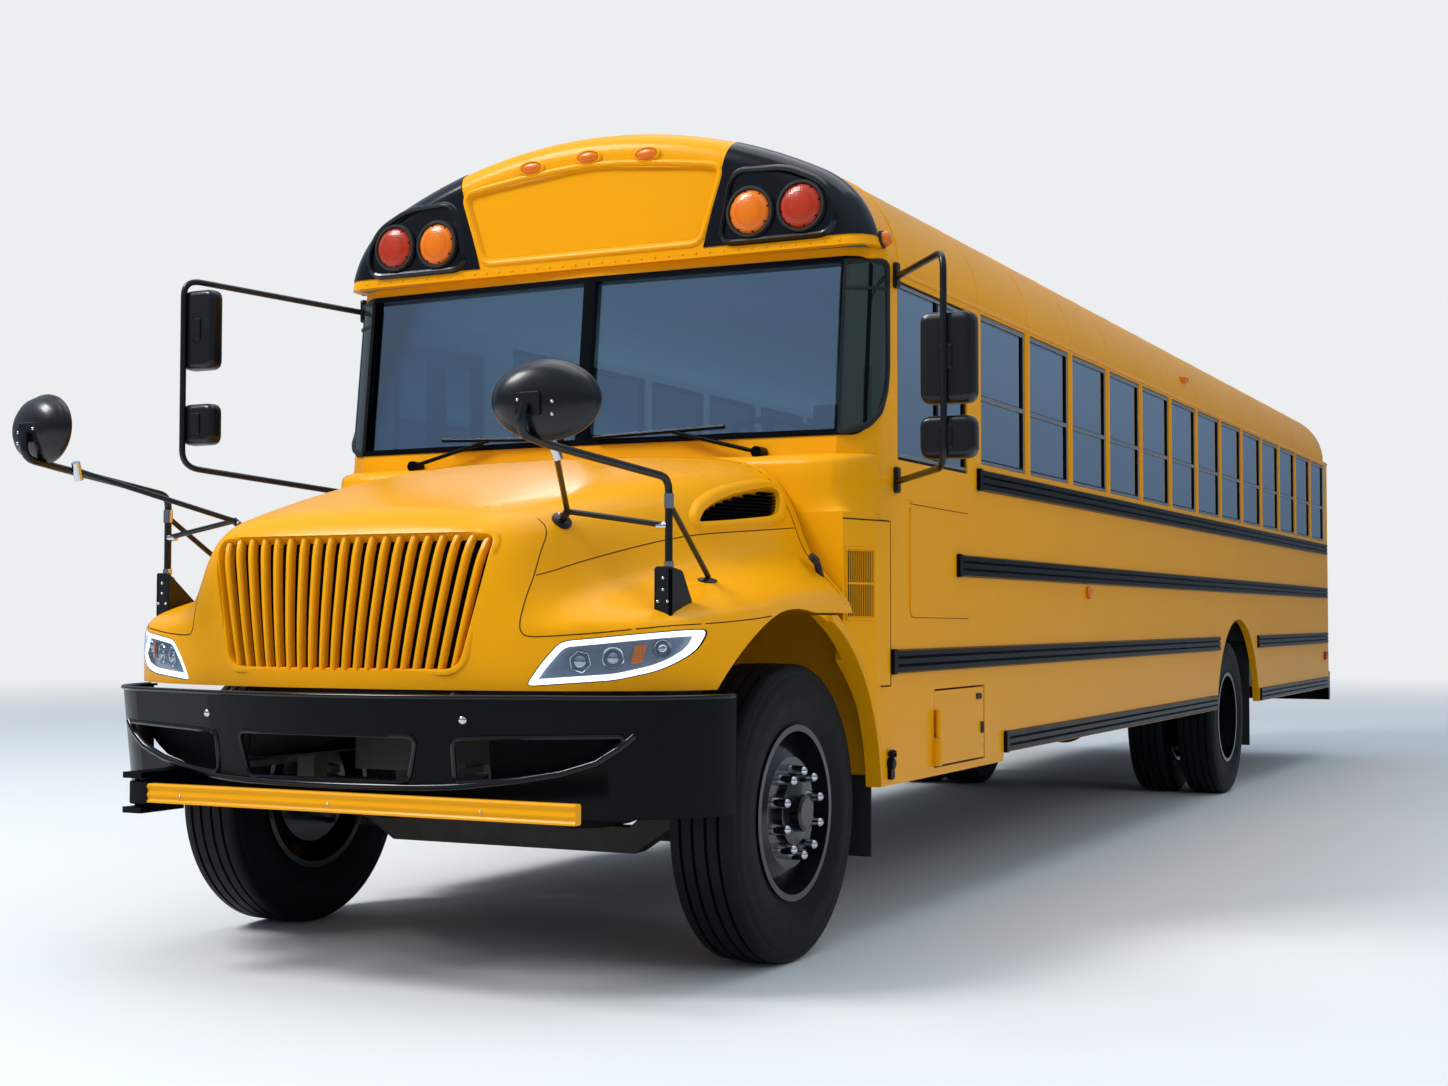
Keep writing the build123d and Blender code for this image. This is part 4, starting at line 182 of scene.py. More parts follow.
def closed_tube(rows, columns):
    """Faces of a tube of closed rings stored row by row, with both ends filled."""
    ends = [tuple(range(columns))[::-1], tuple(range((rows - 1) * columns, rows * columns))]
    return ring_faces(rows, columns, False, True) + ends


# %% [markdown]
# ## Finishes
# Each finish starts from what the real one is and how its surface was made.

# %% Painted sheet and bare black finishes
def bump_of(tree, scale, strength, distance, detail=3.0):
    """Bump from noise in object space; scale is in cycles per metre."""
    place = add_node(tree, "ShaderNodeTexCoord")
    noise = add_node(tree, "ShaderNodeTexNoise", None,
                     {"Vector": place.outputs["Object"], "Scale": scale, "Detail": detail})
    return add_node(tree, "ShaderNodeBump", None,
                    {"Height": noise.outputs["Fac"], "Strength": strength, "Distance": distance})


def mottled(tree, low, high, scale):
    """Colour that drifts between two close tones."""
    place = add_node(tree, "ShaderNodeTexCoord")
    noise = add_node(tree, "ShaderNodeTexNoise", None,
                     {"Vector": place.outputs["Object"], "Scale": scale, "Detail": 4.0})
    return add_node(tree, "ShaderNodeMix", {"data_type": "RGBA"},
                    {"Factor": noise.outputs["Fac"], "A": linear(low), "B": linear(high)})


def make_finish(name, low, high, mottle, roughness, bump, coat=0.0, coat_roughness=0.05,
                metallic=0.0, specular=0.5):
    """Opaque finish with a drifting colour, a drifting roughness and a fine bump."""
    material, tree = new_material(name)
    colour = mottled(tree, low, high, mottle)
    place = add_node(tree, "ShaderNodeTexCoord")
    wear = add_node(tree, "ShaderNodeTexNoise", None,
                    {"Vector": place.outputs["Object"], "Scale": mottle * 2.3, "Detail": 5.0})
    rough = add_node(tree, "ShaderNodeMapRange", None,
                     {"Value": wear.outputs["Fac"], "To Min": roughness[0], "To Max": roughness[1]})
    relief = bump_of(tree, *bump)
    shader = add_node(tree, "ShaderNodeBsdfPrincipled", None,
                      {"Base Color": colour.outputs["Result"], "Roughness": rough.outputs["Result"],
                       "Metallic": metallic, "Specular IOR Level": specular, "Coat Weight": coat,
                       "Coat Roughness": coat_roughness, "Normal": relief.outputs["Normal"]})
    finish_material(tree, shader)
    return material


# Two-pack enamel on steel sheet: deep gloss with a faint orange peel
YELLOW_LOW, YELLOW_HIGH, YELLOW_DRIFT = "EDA208", "E59A06", 1.7
ORANGE_PEEL = (220.0, 0.04, 0.002)
ENAMEL_COAT, ENAMEL_SPECULAR = 0.06, 0.1
bus_yellow = make_finish("gloss_enamel_yellow", YELLOW_LOW, YELLOW_HIGH, YELLOW_DRIFT, (0.24, 0.34),
                         ORANGE_PEEL, coat=ENAMEL_COAT, specular=ENAMEL_SPECULAR)
# The same enamel in black, on bumpers and rails: deep, with sharp lights
black_enamel = make_finish("gloss_enamel_black", "020306", "04060B", 2.5, (0.2, 0.3), (260.0, 0.04, 0.002),
                           coat=0.04, specular=0.08)
# Stoved enamel of the wheel discs: smoother and glossier than the bumper's
stoved_enamel = make_finish("stoved_enamel_black", "05070B", "090C12", 5.0, (0.16, 0.24),
                            (300.0, 0.03, 0.001), coat=0.3, specular=0.4)
# Chassis paint: brushed on, dusty
chassis_paint = make_finish("chassis_paint", "1A1A1A", "2C2A28", 6.0, (0.55, 0.8), (60.0, 0.25, 0.002))
# Forged and cast parts under the bus
forged_steel = make_finish("forged_steel", "3A3835", "4B4642", 12.0, (0.5, 0.75), (90.0, 0.3, 0.002),
                           metallic=0.6)
# Moulded ABS of the mirror shells
mirror_shell = make_finish("moulded_abs_black", "08090B", "0D0E10", 8.0, (0.26, 0.36),
                           (900.0, 0.1, 0.0008), coat=0.1, specular=0.35)
# Tyre rubber: dull, with a faint blue-black drift
tyre_rubber = make_finish("tyre_rubber", "07080B", "0E1014", 9.0, (0.5, 0.68), (400.0, 0.2, 0.001),
                          specular=0.16)
# Near-black sheets set behind the grille, the intakes, the louvre and the bumper openings: painted shade
# for the dark depth of each opening
shade_black = make_finish("painted_shade_black", "040405", "08080A", 8.0, (0.6, 0.8), (100.0, 0.05, 0.001),
                           specular=0.08)
# Sheet rubber of the flaps
flap_rubber = make_finish("sheet_rubber", "121213", "1B1B1C", 7.0, (0.5, 0.7), (150.0, 0.15, 0.001),
                          specular=0.4)
# Ribbed floor covering
floor_rubber = make_finish("floor_rubber", "2A2B2D", "36373A", 5.0, (0.55, 0.7), (120.0, 0.2, 0.001))
# Stretched vinyl over foam, with a fine grain
seat_vinyl = make_finish("seat_vinyl", "24343F", "2B3D4A", 10.0, (0.42, 0.55), (1400.0, 0.3, 0.0006))
# Moulded dashboard plastic
dash_plastic = make_finish("moulded_dash_plastic", "2B2C2F", "34363A", 6.0, (0.5, 0.65),
                           (1200.0, 0.25, 0.0006))
# Drawn and polished metal
bright_steel = make_finish("polished_steel", "D5D6D8", "C3C5C8", 20.0, (0.08, 0.18), (500.0, 0.03, 0.0005),
                           metallic=1.0)
# Silvered back of the mirrors
mirror_glass = make_finish("silvered_convex_mirror", "C9D0D6", "C2CAD1", 1.0, (0.02, 0.04),
                           (50.0, 0.01, 0.0005), metallic=1.0)
# Anodised aluminium of window edges
anodised = make_finish("anodised_aluminium", "A9ADB2", "9A9EA4", 15.0, (0.3, 0.42), (700.0, 0.06, 0.0005),
                       metallic=0.9)
print("finishes", len(bpy.data.materials))


# %% Body panels with a lining on their inner face
CABIN_FRONT_Y, CABIN_BACK_Y, CABIN_MIDDLE_Z = -3.4, 5.2, 2.1
# A face is lined where it looks towards the cabin's middle line from a plane over 0.6 m off it
LINING_LIMIT = -0.6


def lined_paint(name, lining):
    """Outside enamel; pale lining where the surface faces the middle of the cabin."""
    material, tree = new_material(name)
    place = add_node(tree, "ShaderNodeTexCoord")
    form = add_node(tree, "ShaderNodeNewGeometry")
    turned_back = add_node(tree, "ShaderNodeVectorTransform",
                           {"vector_type": "NORMAL", "convert_from": "WORLD", "convert_to": "OBJECT"},
                           {"Vector": form.outputs["True Normal"]})
    split = add_node(tree, "ShaderNodeSeparateXYZ", None, {"Vector": place.outputs["Object"]})
    along = add_node(tree, "ShaderNodeClamp", None,
                     {"Value": split.outputs["Y"], "Min": CABIN_FRONT_Y, "Max": CABIN_BACK_Y})
    middle = add_node(tree, "ShaderNodeCombineXYZ", None, {"Y": along.outputs[0], "Z": CABIN_MIDDLE_Z})
    away = add_node(tree, "ShaderNodeVectorMath", {"operation": "SUBTRACT"},
                    {0: place.outputs["Object"], 1: middle.outputs[0]})
    facing = add_node(tree, "ShaderNodeVectorMath", {"operation": "DOT_PRODUCT"},
                      {0: turned_back.outputs[0], 1: away.outputs[0]})
    inside = add_node(tree, "ShaderNodeMath", {"operation": "LESS_THAN"},
                      {0: facing.outputs["Value"], 1: LINING_LIMIT})
    paint = mottled(tree, YELLOW_LOW, YELLOW_HIGH, YELLOW_DRIFT)
    colour = add_node(tree, "ShaderNodeMix", {"data_type": "RGBA"},
                      {"Factor": inside.outputs[0], "A": paint.outputs["Result"], "B": linear(lining)})
    relief = bump_of(tree, *ORANGE_PEEL)
    shader = add_node(tree, "ShaderNodeBsdfPrincipled", None,
                      {"Base Color": colour.outputs["Result"], "Roughness": 0.3,
                       "Specular IOR Level": ENAMEL_SPECULAR, "Coat Weight": ENAMEL_COAT,
                       "Coat Roughness": 0.05, "Normal": relief.outputs["Normal"]})
    finish_material(tree, shader)
    return material


wall_paint = lined_paint("gloss_enamel_wall", "9CA39F")
roof_paint = lined_paint("gloss_enamel_roof", "B4B9B4")


# %% Glass and lenses
# The side panes are toughened sheet, and shine more than the laminated windshield. The change falls
# on the body's front corner, between the two.
FLANK_MIRROR, FLANK_START_Y, FLANK_FULL_Y = 2.5, -4.1, -3.95


def make_glass(name, colour, mirror, slant_share, sheen):
    """Thin tinted pane: clear from the front, and more of a mirror at a slant."""
    material, tree = new_material(name)
    tint = mottled(tree, colour, colour, 1.0)
    clear = add_node(tree, "ShaderNodeBsdfTransparent", None, {"Color": tint.outputs["Result"]})
    shine = add_node(tree, "ShaderNodeBsdfGlossy", None, {"Color": linear(sheen), "Roughness": 0.02})
    slant = add_node(tree, "ShaderNodeFresnel", None, {"IOR": 1.52})
    place = add_node(tree, "ShaderNodeTexCoord")
    split = add_node(tree, "ShaderNodeSeparateXYZ", None, {"Vector": place.outputs["Object"]})
    flank = add_node(tree, "ShaderNodeMapRange", None,
                     {"Value": split.outputs["Y"], "From Min": FLANK_START_Y, "From Max": FLANK_FULL_Y,
                      "To Min": mirror, "To Max": mirror * FLANK_MIRROR})
    share = add_node(tree, "ShaderNodeMath", {"operation": "MULTIPLY_ADD", "use_clamp": True},
                     {0: slant.outputs[0], 1: slant_share, 2: flank.outputs["Result"]})
    pane = add_node(tree, "ShaderNodeMixShader", None,
                    {0: share.outputs[0], 1: clear.outputs[0], 2: shine.outputs[0]})
    finish_material(tree, pane)
    return material


def make_lens(name, colour, deep, ribs):
    """Moulded lens with rings of prisms on its inner face."""
    material, tree = new_material(name)
    place = add_node(tree, "ShaderNodeTexCoord")
    wave = add_node(tree, "ShaderNodeTexVoronoi", {"feature": "F1"},
                    {"Vector": place.outputs["Object"], "Scale": ribs, "Randomness": 0.0})
    tone = add_node(tree, "ShaderNodeMix", {"data_type": "RGBA"},
                    {"Factor": wave.outputs["Distance"], "A": linear(colour), "B": linear(deep)})
    relief = add_node(tree, "ShaderNodeBump", None,
                      {"Height": wave.outputs["Distance"], "Strength": 0.35, "Distance": 0.002})
    shader = add_node(tree, "ShaderNodeBsdfPrincipled", None,
                      {"Base Color": tone.outputs["Result"], "Roughness": 0.22, "Specular IOR Level": 0.35,
                       "Coat Weight": 0.08, "Coat Roughness": 0.05, "Normal": relief.outputs["Normal"]})
    finish_material(tree, shader)
    return material


pane_tint = make_glass("tinted_float_glass", "A6C0CE", 0.26, 1.1, "CBE0F6")
amber_lens = make_lens("moulded_amber_lens", "F5820F", "BE560A", 110.0)
red_lens = make_lens("moulded_red_lens", "C43C1C", "861E10", 110.0)
clear_lens = make_glass("clear_polycarbonate", "F2F5F8", 0.03, 0.25, "F2F6FA")
print("glass and lenses made")

# %% [markdown]
# ## Finishes on the pieces that are already right
# A node of the frame keeps its mesh and only gets its finish.

# %% Assign finishes
plan = {
    "cowl": wall_paint, "wall_left": wall_paint, "wall_right": wall_paint, "rear_wall": roof_paint,
    "roof": roof_paint, "roof_cap_front": roof_paint, "hood_shell": bus_yellow, "grille": bus_yellow,
    "emergency_door": wall_paint, "compartment_door": bus_yellow, "crossing_arm": bus_yellow,
    "rub_rails": black_enamel, "lamp_bezels": black_enamel, "wipers": black_enamel, "bumpers": black_enamel,
    "hood_intakes": black_enamel, "window_frames": black_enamel, "entrance_door_front": black_enamel,
    "entrance_door_rear": black_enamel, "rear_view_mirrors": mirror_shell,
    "cross_view_mirrors": mirror_shell, "frame_rails": chassis_paint, "fuel_tank": chassis_paint,
    "seat_frames": chassis_paint, "engine_block": forged_steel, "front_axle_beam": forged_steel,
    "rear_axle": forged_steel, "driveshaft": forged_steel, "leaf_springs": forged_steel,
    "exhaust": forged_steel, "tie_rod": forged_steel, "knuckle_left": forged_steel,
    "knuckle_right": forged_steel, "mud_flaps": flap_rubber, "floor_pan": floor_rubber,
    "wheel_boxes": floor_rubber, "entrance_steps": floor_rubber, "dashboard": dash_plastic,
    "steering_wheel": dash_plastic, "body_glass": pane_tint, "entrance_glass_front": pane_tint,
    "entrance_glass_rear": pane_tint, "emergency_glass": pane_tint, "headlamps": clear_lens,
    "amber_lamps": amber_lens, "red_lamps": red_lens, "front_wheel_left": stoved_enamel,
    "front_wheel_right": stoved_enamel, "rear_wheels_left": stoved_enamel,
    "rear_wheels_right": stoved_enamel,
}
for name, finish in plan.items():
    mesh = nodes[name].data
    mesh.materials.clear()
    mesh.materials.append(finish)
    for face in mesh.polygons:
        face.material_index = 0
print("finishes on", len(plan), "nodes")

# %% [markdown]
# ## Tyres
# A truck tyre is a ring of one section. Four grooves run round the tread of this highway pattern, so
# the section is drawn once, with the grooves in it, and turned.


# %% Turned tyres
TREAD_STEPS = 96


def turned(name, profile, centre, steps):
    """Closed ring about the X axis through centre, from a closed profile of (x, radius)."""
    points = []
    for i in range(steps):
        angle = 2 * math.pi * i / steps
        points += [(centre[0] + x, centre[1] + r * math.cos(angle), centre[2] + r * math.sin(angle))
                   for x, r in profile]
    return mesh_from(name, points, ring_faces(steps, len(profile)))


def tyre_profile():
    """Half of the section from the bead to the middle of the tread, mirrored."""
    half = [(0.100, 0.2862), (0.1035, 0.297), (0.1045, 0.305), (0.1095, 0.318), (0.1175, 0.340),
            (0.1235, 0.365), (0.1255, 0.372), (0.1268, 0.395), (0.1262, 0.42), (0.1238, 0.442),
            (0.1246, 0.446), (0.1215, 0.462), (0.1165, 0.475), (0.1175, 0.479), (0.1155, 0.489),
            (0.109, 0.5), (0.0985, 0.5065), (0.074, 0.5078), (0.0725, 0.494), (0.0635, 0.494),
            (0.062, 0.508), (0.030, 0.509), (0.0285, 0.495), (0.0195, 0.495), (0.018, 0.509)]
    return half + [(-x, r) for x, r in half[::-1]]


# Node: the body that it turns with, its axle, and the middle of each tyre
TYRES = {"front_tyre_left": ("front_left_wheel", FRONT_AXLE_Y, [1.020]),
         "front_tyre_right": ("front_right_wheel", FRONT_AXLE_Y, [-1.020]),
         "rear_tyres_left": ("rear_left_wheels", REAR_AXLE_Y, [1.028, 0.698]),
         "rear_tyres_right": ("rear_right_wheels", REAR_AXLE_Y, [-1.028, -0.698])}
for node, (body, axle_y, middles) in TYRES.items():
    treads = []
    for i, x in enumerate(middles):
        name = f"{node}_tread_{i}"
        ring = turned(name, tyre_profile(), (x, axle_y, HUB_Z), TREAD_STEPS)
        treads.append(fitted(name, ring, tyre_rubber, body, "tyre_rubber", 35))
    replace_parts(treads[0], node)
print("tyres turned")

# %% [markdown]
# ## Wheel nuts
# Ten nuts stand on a circle of 285.75 mm. A small node tree makes the circle and puts one nut on
# each of its points, and the result becomes a plain mesh that turns with its wheel.


# %% Trees that repeat a shape
def repeat_tree(name, sockets):
    """Empty node group for a modifier, with named number inputs."""
    tree = bpy.data.node_groups.new(name, "GeometryNodeTree")
    tree.interface.new_socket("Geometry", in_out="INPUT", socket_type="NodeSocketGeometry")
    for label, value in sockets.items():
        made = tree.interface.new_socket(label, in_out="INPUT", socket_type="NodeSocketFloat")
        made.default_value = value
    tree.interface.new_socket("Geometry", in_out="OUTPUT", socket_type="NodeSocketGeometry")
    return tree, tree.nodes.new("NodeGroupInput"), tree.nodes.new("NodeGroupOutput")


def end_tree(tree, out, geometry, material):
    """Realize Instances and Set Material, into the output."""
    real = add_node(tree, "GeometryNodeRealizeInstances", None, {"Geometry": geometry})
    painted = add_node(tree, "GeometryNodeSetMaterial", None,
                       {"Geometry": real.outputs[0], "Material": material})
    tree.links.new(painted.outputs[0], out.inputs[0])


def point_mesh(name, points):
    """Mesh of loose points for a tree to work on."""
    mesh = bpy.data.meshes.new(name)
    mesh.from_pydata(points, [], [])
    return mesh


def run_tree(name, mesh, tree, values, material, body, slot, smooth_angle):
    """Runs the tree on a mesh, and fits the result as a plain mesh on its body."""
    carrier = linked(name + "_carrier", mesh)
    modifier = carrier.modifiers.new("repeat", "NODES")
    modifier.node_group = tree
    for socket in tree.interface.items_tree:
        if socket.item_type == "SOCKET" and socket.in_out == "INPUT" and socket.name in values:
            modifier[socket.identifier] = values[socket.name]
    made = plain_mesh(carrier)
    made.name = name
    return fitted(name, made, material, body, slot, smooth_angle)


def stud_tree(name, material, sides=6, rows=2):
    """Domed stud on every point of a mesh, standing along the point's attribute called out."""
    tree, start, end = repeat_tree(name, {"Radius": 0.01, "Height": 0.005})
    dome = add_node(tree, "GeometryNodeMeshUVSphere", None,
                    {"Segments": sides, "Rings": rows + 2, "Radius": 1.0})
    size = add_node(tree, "ShaderNodeCombineXYZ", None,
                    {"X": start.outputs["Radius"], "Y": start.outputs["Radius"],
                     "Z": start.outputs["Height"]})
    out = add_node(tree, "GeometryNodeInputNamedAttribute", {"data_type": "FLOAT_VECTOR"}, {"Name": "out"})
    turn = add_node(tree, "FunctionNodeAlignEulerToVector", {"axis": "Z"},
                    {"Vector": out.outputs["Attribute"]})
    studs = add_node(tree, "GeometryNodeInstanceOnPoints", None,
                     {"Points": start.outputs[0], "Instance": dome.outputs["Mesh"],
                      "Rotation": turn.outputs[0], "Scale": size.outputs[0]})
    end_tree(tree, end, studs.outputs[0], material)
    return tree


def studs(name, places, radius, height, material, body, slot, tree=None):
    """Studs at (point, outward direction) pairs."""
    mesh = point_mesh(name + "_points", [p for p, _ in places])
    out = mesh.attributes.new("out", "FLOAT_VECTOR", "POINT")
    out.data.foreach_set("vector", [c for _, n in places for c in n])
    return run_tree(name, mesh, tree or stud_tree(name + "_tree", material),
                    {"Radius": radius, "Height": height}, material, body, slot, 60)


# %% Nuts on the four hubs
NUT_CIRCLE, NUT_COUNT, NUT_LENGTH = 0.1429, 10, 0.045
HUBS = (("front_left_wheel", 1.112, FRONT_AXLE_Y, 1), ("front_right_wheel", -1.112, FRONT_AXLE_Y, -1),
        ("rear_left_wheels", 0.8755, REAR_AXLE_Y, 1), ("rear_right_wheels", -0.8755, REAR_AXLE_Y, -1))
for body, x, axle_y, side in HUBS:
    ring = [2 * math.pi * (i + 0.5) / NUT_COUNT for i in range(NUT_COUNT)]
    spots = [(x, axle_y + NUT_CIRCLE * math.cos(a), HUB_Z + NUT_CIRCLE * math.sin(a)) for a in ring]
    tree, start, end = repeat_tree("nut_tree_" + body, {"Radius": 0.021, "Length": NUT_LENGTH})
    nut = add_node(tree, "GeometryNodeMeshCone", {"fill_type": "NGON"},
                   {"Vertices": 12, "Radius Top": 0.0165, "Radius Bottom": start.outputs["Radius"],
                    "Depth": start.outputs["Length"]})
    cup = add_node(tree, "GeometryNodeMeshUVSphere", None, {"Segments": 12, "Rings": 8, "Radius": 0.017})
    cup = add_node(tree, "GeometryNodeTransform", None,
                   {"Geometry": cup.outputs["Mesh"], "Translation": (0, 0, NUT_LENGTH)})
    both = add_node(tree, "GeometryNodeJoinGeometry")
    tree.links.new(nut.outputs["Mesh"], both.inputs[0])
    tree.links.new(cup.outputs[0], both.inputs[0])
    on_ring = add_node(tree, "GeometryNodeInstanceOnPoints", None,
                       {"Points": start.outputs[0], "Instance": both.outputs[0],
                        "Rotation": (0, side * math.pi / 2, 0)})
    end_tree(tree, end, on_ring.outputs[0], bright_steel)
    run_tree("wheel_nuts_" + body, point_mesh("nut_spots", spots), tree, {}, bright_steel, body,
             "axle_steel", 40)
print("wheel nuts placed")

# %% [markdown]
# ## Hood with swept fenders
# The real hood is one moulding: the crown rolls down over the grille, runs into a hollow beside it
# and comes out again as the fender. A faceted loft can't show that. Here four half sections are
# blended with smooth curves, and a leaning, curved nose is rounded into them. Each point of a grid
# is pushed out from the middle until it meets that surface.

# %% Hood surface
HOOD_BASE_Z = 0.95
HOOD_BACK = 0.36
HOOD_STATIONS = [-1.11, -0.6, -0.1, 0.36]
HOOD_HALVES = np.array([
    [(0, 1.470), (0.430, 1.462), (0.580, 1.415), (0.645, 1.250), (0.700, 1.130), (0.950, 1.118),
     (1.120, 1.100), (1.188, 1.060), (1.203, 0.990), (1.204, 0.95)],
    [(0, 1.612), (0.520, 1.600), (0.695, 1.540), (0.770, 1.370), (0.830, 1.275), (0.980, 1.240),
     (1.130, 1.205), (1.200, 1.150), (1.206, 1.000), (1.204, 0.95)],
    [(0, 1.718), (0.620, 1.706), (0.815, 1.640), (0.895, 1.480), (0.935, 1.375), (1.040, 1.320),
     (1.150, 1.262), (1.205, 1.185), (1.208, 1.000), (1.204, 0.95)],
    [(0, 1.795), (0.700, 1.783), (0.893, 1.708), (0.980, 1.540), (1.010, 1.430), (1.080, 1.340),
     (1.150, 1.272), (1.204, 1.200), (1.207, 1.000), (1.204, 0.95)],
])
NOSE_Y = -1.065
PLAN_X = np.array([0, 0.2, 0.4, 0.64, 0.8, 0.98, 1.08, 1.15, 1.2, 1.25])
PLAN_BACK = np.array([0, 0.007, 0.028, 0.072, 0.122, 0.215, 0.30, 0.385, 0.49, 0.62])
# The nose leans back with height, and its edges are rounded by these lengths
FACE_Y, FACE_LEAN, FACE_EASE, EDGE_EASE = -1.078, 0.154, 0.03, 0.13
ANGLES = np.linspace(0, math.pi / 2, 240)


def spline(points, count):
    """Uniform cubic B-spline through clamped control points."""
    p = np.vstack([points[0], points[0], points, points[-1], points[-1]])
    steps = np.linspace(0, len(p) - 3 - 1e-6, count)
    i = steps.astype(int)
    t = (steps - i)[:, None]
    return ((1 - t) ** 3 * p[i] + (3 * t ** 3 - 6 * t ** 2 + 4) * p[i + 1]
            + (-3 * t ** 3 + 3 * t ** 2 + 3 * t + 1) * p[i + 2] + t ** 3 * p[i + 3]) / 6


def section_radii(y):
    """Distance from the middle of the base to the section at y, for each of ANGLES."""
    weight = [math.prod((y - b) / (a - b) for b in HOOD_STATIONS if b != a) for a in HOOD_STATIONS]
    half = sum(w * h for w, h in zip(weight, HOOD_HALVES))
    mirrored = np.vstack([half[::-1], half[1:] * [-1, 1]])
    curve = spline(mirrored, 900)
    curve = curve[curve[:, 0] >= -1e-6]
    angle = np.arctan2(curve[:, 1] - HOOD_BASE_Z, curve[:, 0])
    radius = np.hypot(curve[:, 0], curve[:, 1] - HOOD_BASE_Z)
    order = np.argsort(angle)
    return np.interp(ANGLES, angle[order], radius[order])


TABLE_Y = np.linspace(-1.2, HOOD_BACK, 80)
TABLE = np.array([section_radii(y) for y in TABLE_Y])


def smooth_max(a, b, k):
    """Larger of two distances, rounded over k."""
    h = np.clip(0.5 + 0.5 * (a - b) / k, 0, 1)
    return b * (1 - h) + a * h + k * h * (1 - h)


def hood_distance(p):
    """Roughly the distance outside the hood for points (x, y from the axle, z)."""
    x, y, z = np.abs(p[:, 0]), p[:, 1], p[:, 2] - HOOD_BASE_Z
    angle = np.arctan2(np.maximum(z, 0), np.maximum(x, 1e-9)) / (math.pi / 2) * (len(ANGLES) - 1)
    row = np.clip((y - TABLE_Y[0]) / (TABLE_Y[1] - TABLE_Y[0]), 0, len(TABLE_Y) - 1.001)
    i, j = row.astype(int), np.minimum(angle.astype(int), len(ANGLES) - 2)
    s, t = row - i, angle - j
    reach = ((1 - s) * (1 - t) * TABLE[i, j] + s * (1 - t) * TABLE[i + 1, j]
             + (1 - s) * t * TABLE[i, j + 1] + s * t * TABLE[i + 1, j + 1])
    section = np.hypot(x, z) - reach
    slope = np.interp(x, PLAN_X[:-1], np.diff(PLAN_BACK) / np.diff(PLAN_X))
    plan = (NOSE_Y + np.interp(x, PLAN_X, PLAN_BACK) - y) / np.sqrt(1 + slope ** 2)
    face = (FACE_Y + FACE_LEAN * z - y) / 1.012
    return smooth_max(smooth_max(plan, face, FACE_EASE), section, EDGE_EASE)


def hood_grid(turns, front_rows, back_rows):
    """Grid of points on the hood: a quarter-sphere of rays at the nose, then section by section."""
    middle_y = -0.45
    theta = np.linspace(0, math.pi, turns)
    rays = []
    for k in range(front_rows):
        phi = math.pi / 2 * (1 - (k + 0.35) / front_rows)
        rays.append((middle_y, np.stack([np.cos(theta) * math.cos(phi), np.full(turns, -math.sin(phi)),
                                         np.sin(theta) * math.cos(phi)], 1)))
    for y in np.linspace(middle_y, HOOD_BACK, back_rows):
        rays.append((y, np.stack([np.cos(theta), np.zeros(turns), np.sin(theta)], 1)))
    start = np.concatenate([np.tile([0, y, HOOD_BASE_Z], (turns, 1)) for y, _ in rays])
    way = np.concatenate([d for _, d in rays])
    near, far = np.zeros(len(start)), np.full(len(start), 2.0)
    for _ in range(34):
        middle = (near + far) / 2
        outside = hood_distance(start + way * middle[:, None]) > 0
        far = np.where(outside, middle, far)
        near = np.where(outside, near, middle)
    points = start + way * near[:, None]
    points[:, 1] += FRONT_AXLE_Y
    return points, len(rays)


TURNS = 181
grid, rows = hood_grid(TURNS, 64, 44)
hood_bm = bmesh.new()
verts = [hood_bm.verts.new(p) for p in grid]
for face in ring_faces(rows, TURNS, False, False):
    hood_bm.faces.new([verts[i] for i in face])
hood_bm.faces.new([verts[i] for i in range(TURNS)][::-1])
bmesh.ops.recalc_face_normals(hood_bm, faces=hood_bm.faces)
if sum(f.normal.z for f in hood_bm.faces) < 0:
    bmesh.ops.reverse_faces(hood_bm, faces=hood_bm.faces)
hood_tree = BVHTree.FromBMesh(hood_bm)
print("hood grid", len(grid), "box", grid.min(0).round(3), grid.max(0).round(3))


def meet(tree, start, way, out=0.0):
    """Point and outward normal where a ray meets a surface, moved out along that normal."""
    place, normal, _, _ = tree.ray_cast(Vector(start), Vector(way))
    normal = normal if normal.dot(Vector(way)) < 0 else -normal
    return place + normal * out, normal


def on_front(x, z, out=0.0):
    """Point on the hood met by a level ray from the front."""
    return meet(hood_tree, (x, -7, z), (0, 1, 0), out)


def on_side(side, y, z, out=0.0):
    """Point on the hood met by a level ray from the side."""
    return meet(hood_tree, (side * 2, y, z), (-side, 0, 0), out)


def on_top(x, y, out=0.0):
    """Point on the hood met by a ray from above."""
    return meet(hood_tree, (x, y, 3), (0, 0, -1), out)


# %% Hood shell and its openings
HOOD_SKIN = 0.012


def thickened(name, bm, thick, material, smooth_angle=None):
    """Closed shell from an open surface, grown inwards."""
    carrier = linked(name + "_surface", mesh_of(name, bm))
    shell = carrier.modifiers.new("skin", "SOLIDIFY")
    shell.thickness = thick
    shell.offset = -1
    shell.use_even_offset = False
    return mesh_object(name, plain_mesh(carrier), material, smooth_angle)


def prism(name, outline, place, low, high):
    """Closed prism: place maps (a, b, depth) of each outline point to a point in space."""
    points = [place(a, b, depth) for depth in (low, high) for a, b in outline]
    return linked(name, mesh_from(name, points, closed_tube(2, len(outline))))


def cut_away(piece, tools):
    """Plain mesh of a piece with the tools cut from it; all of them are removed."""
    for tool in tools:
        modifier = piece.modifiers.new("cut", "BOOLEAN")
        modifier.operation = "DIFFERENCE"
        modifier.solver = "EXACT"
        modifier.object = tool
    made = plain_mesh(piece)
    for tool in tools:
        bpy.data.objects.remove(tool)
    return made


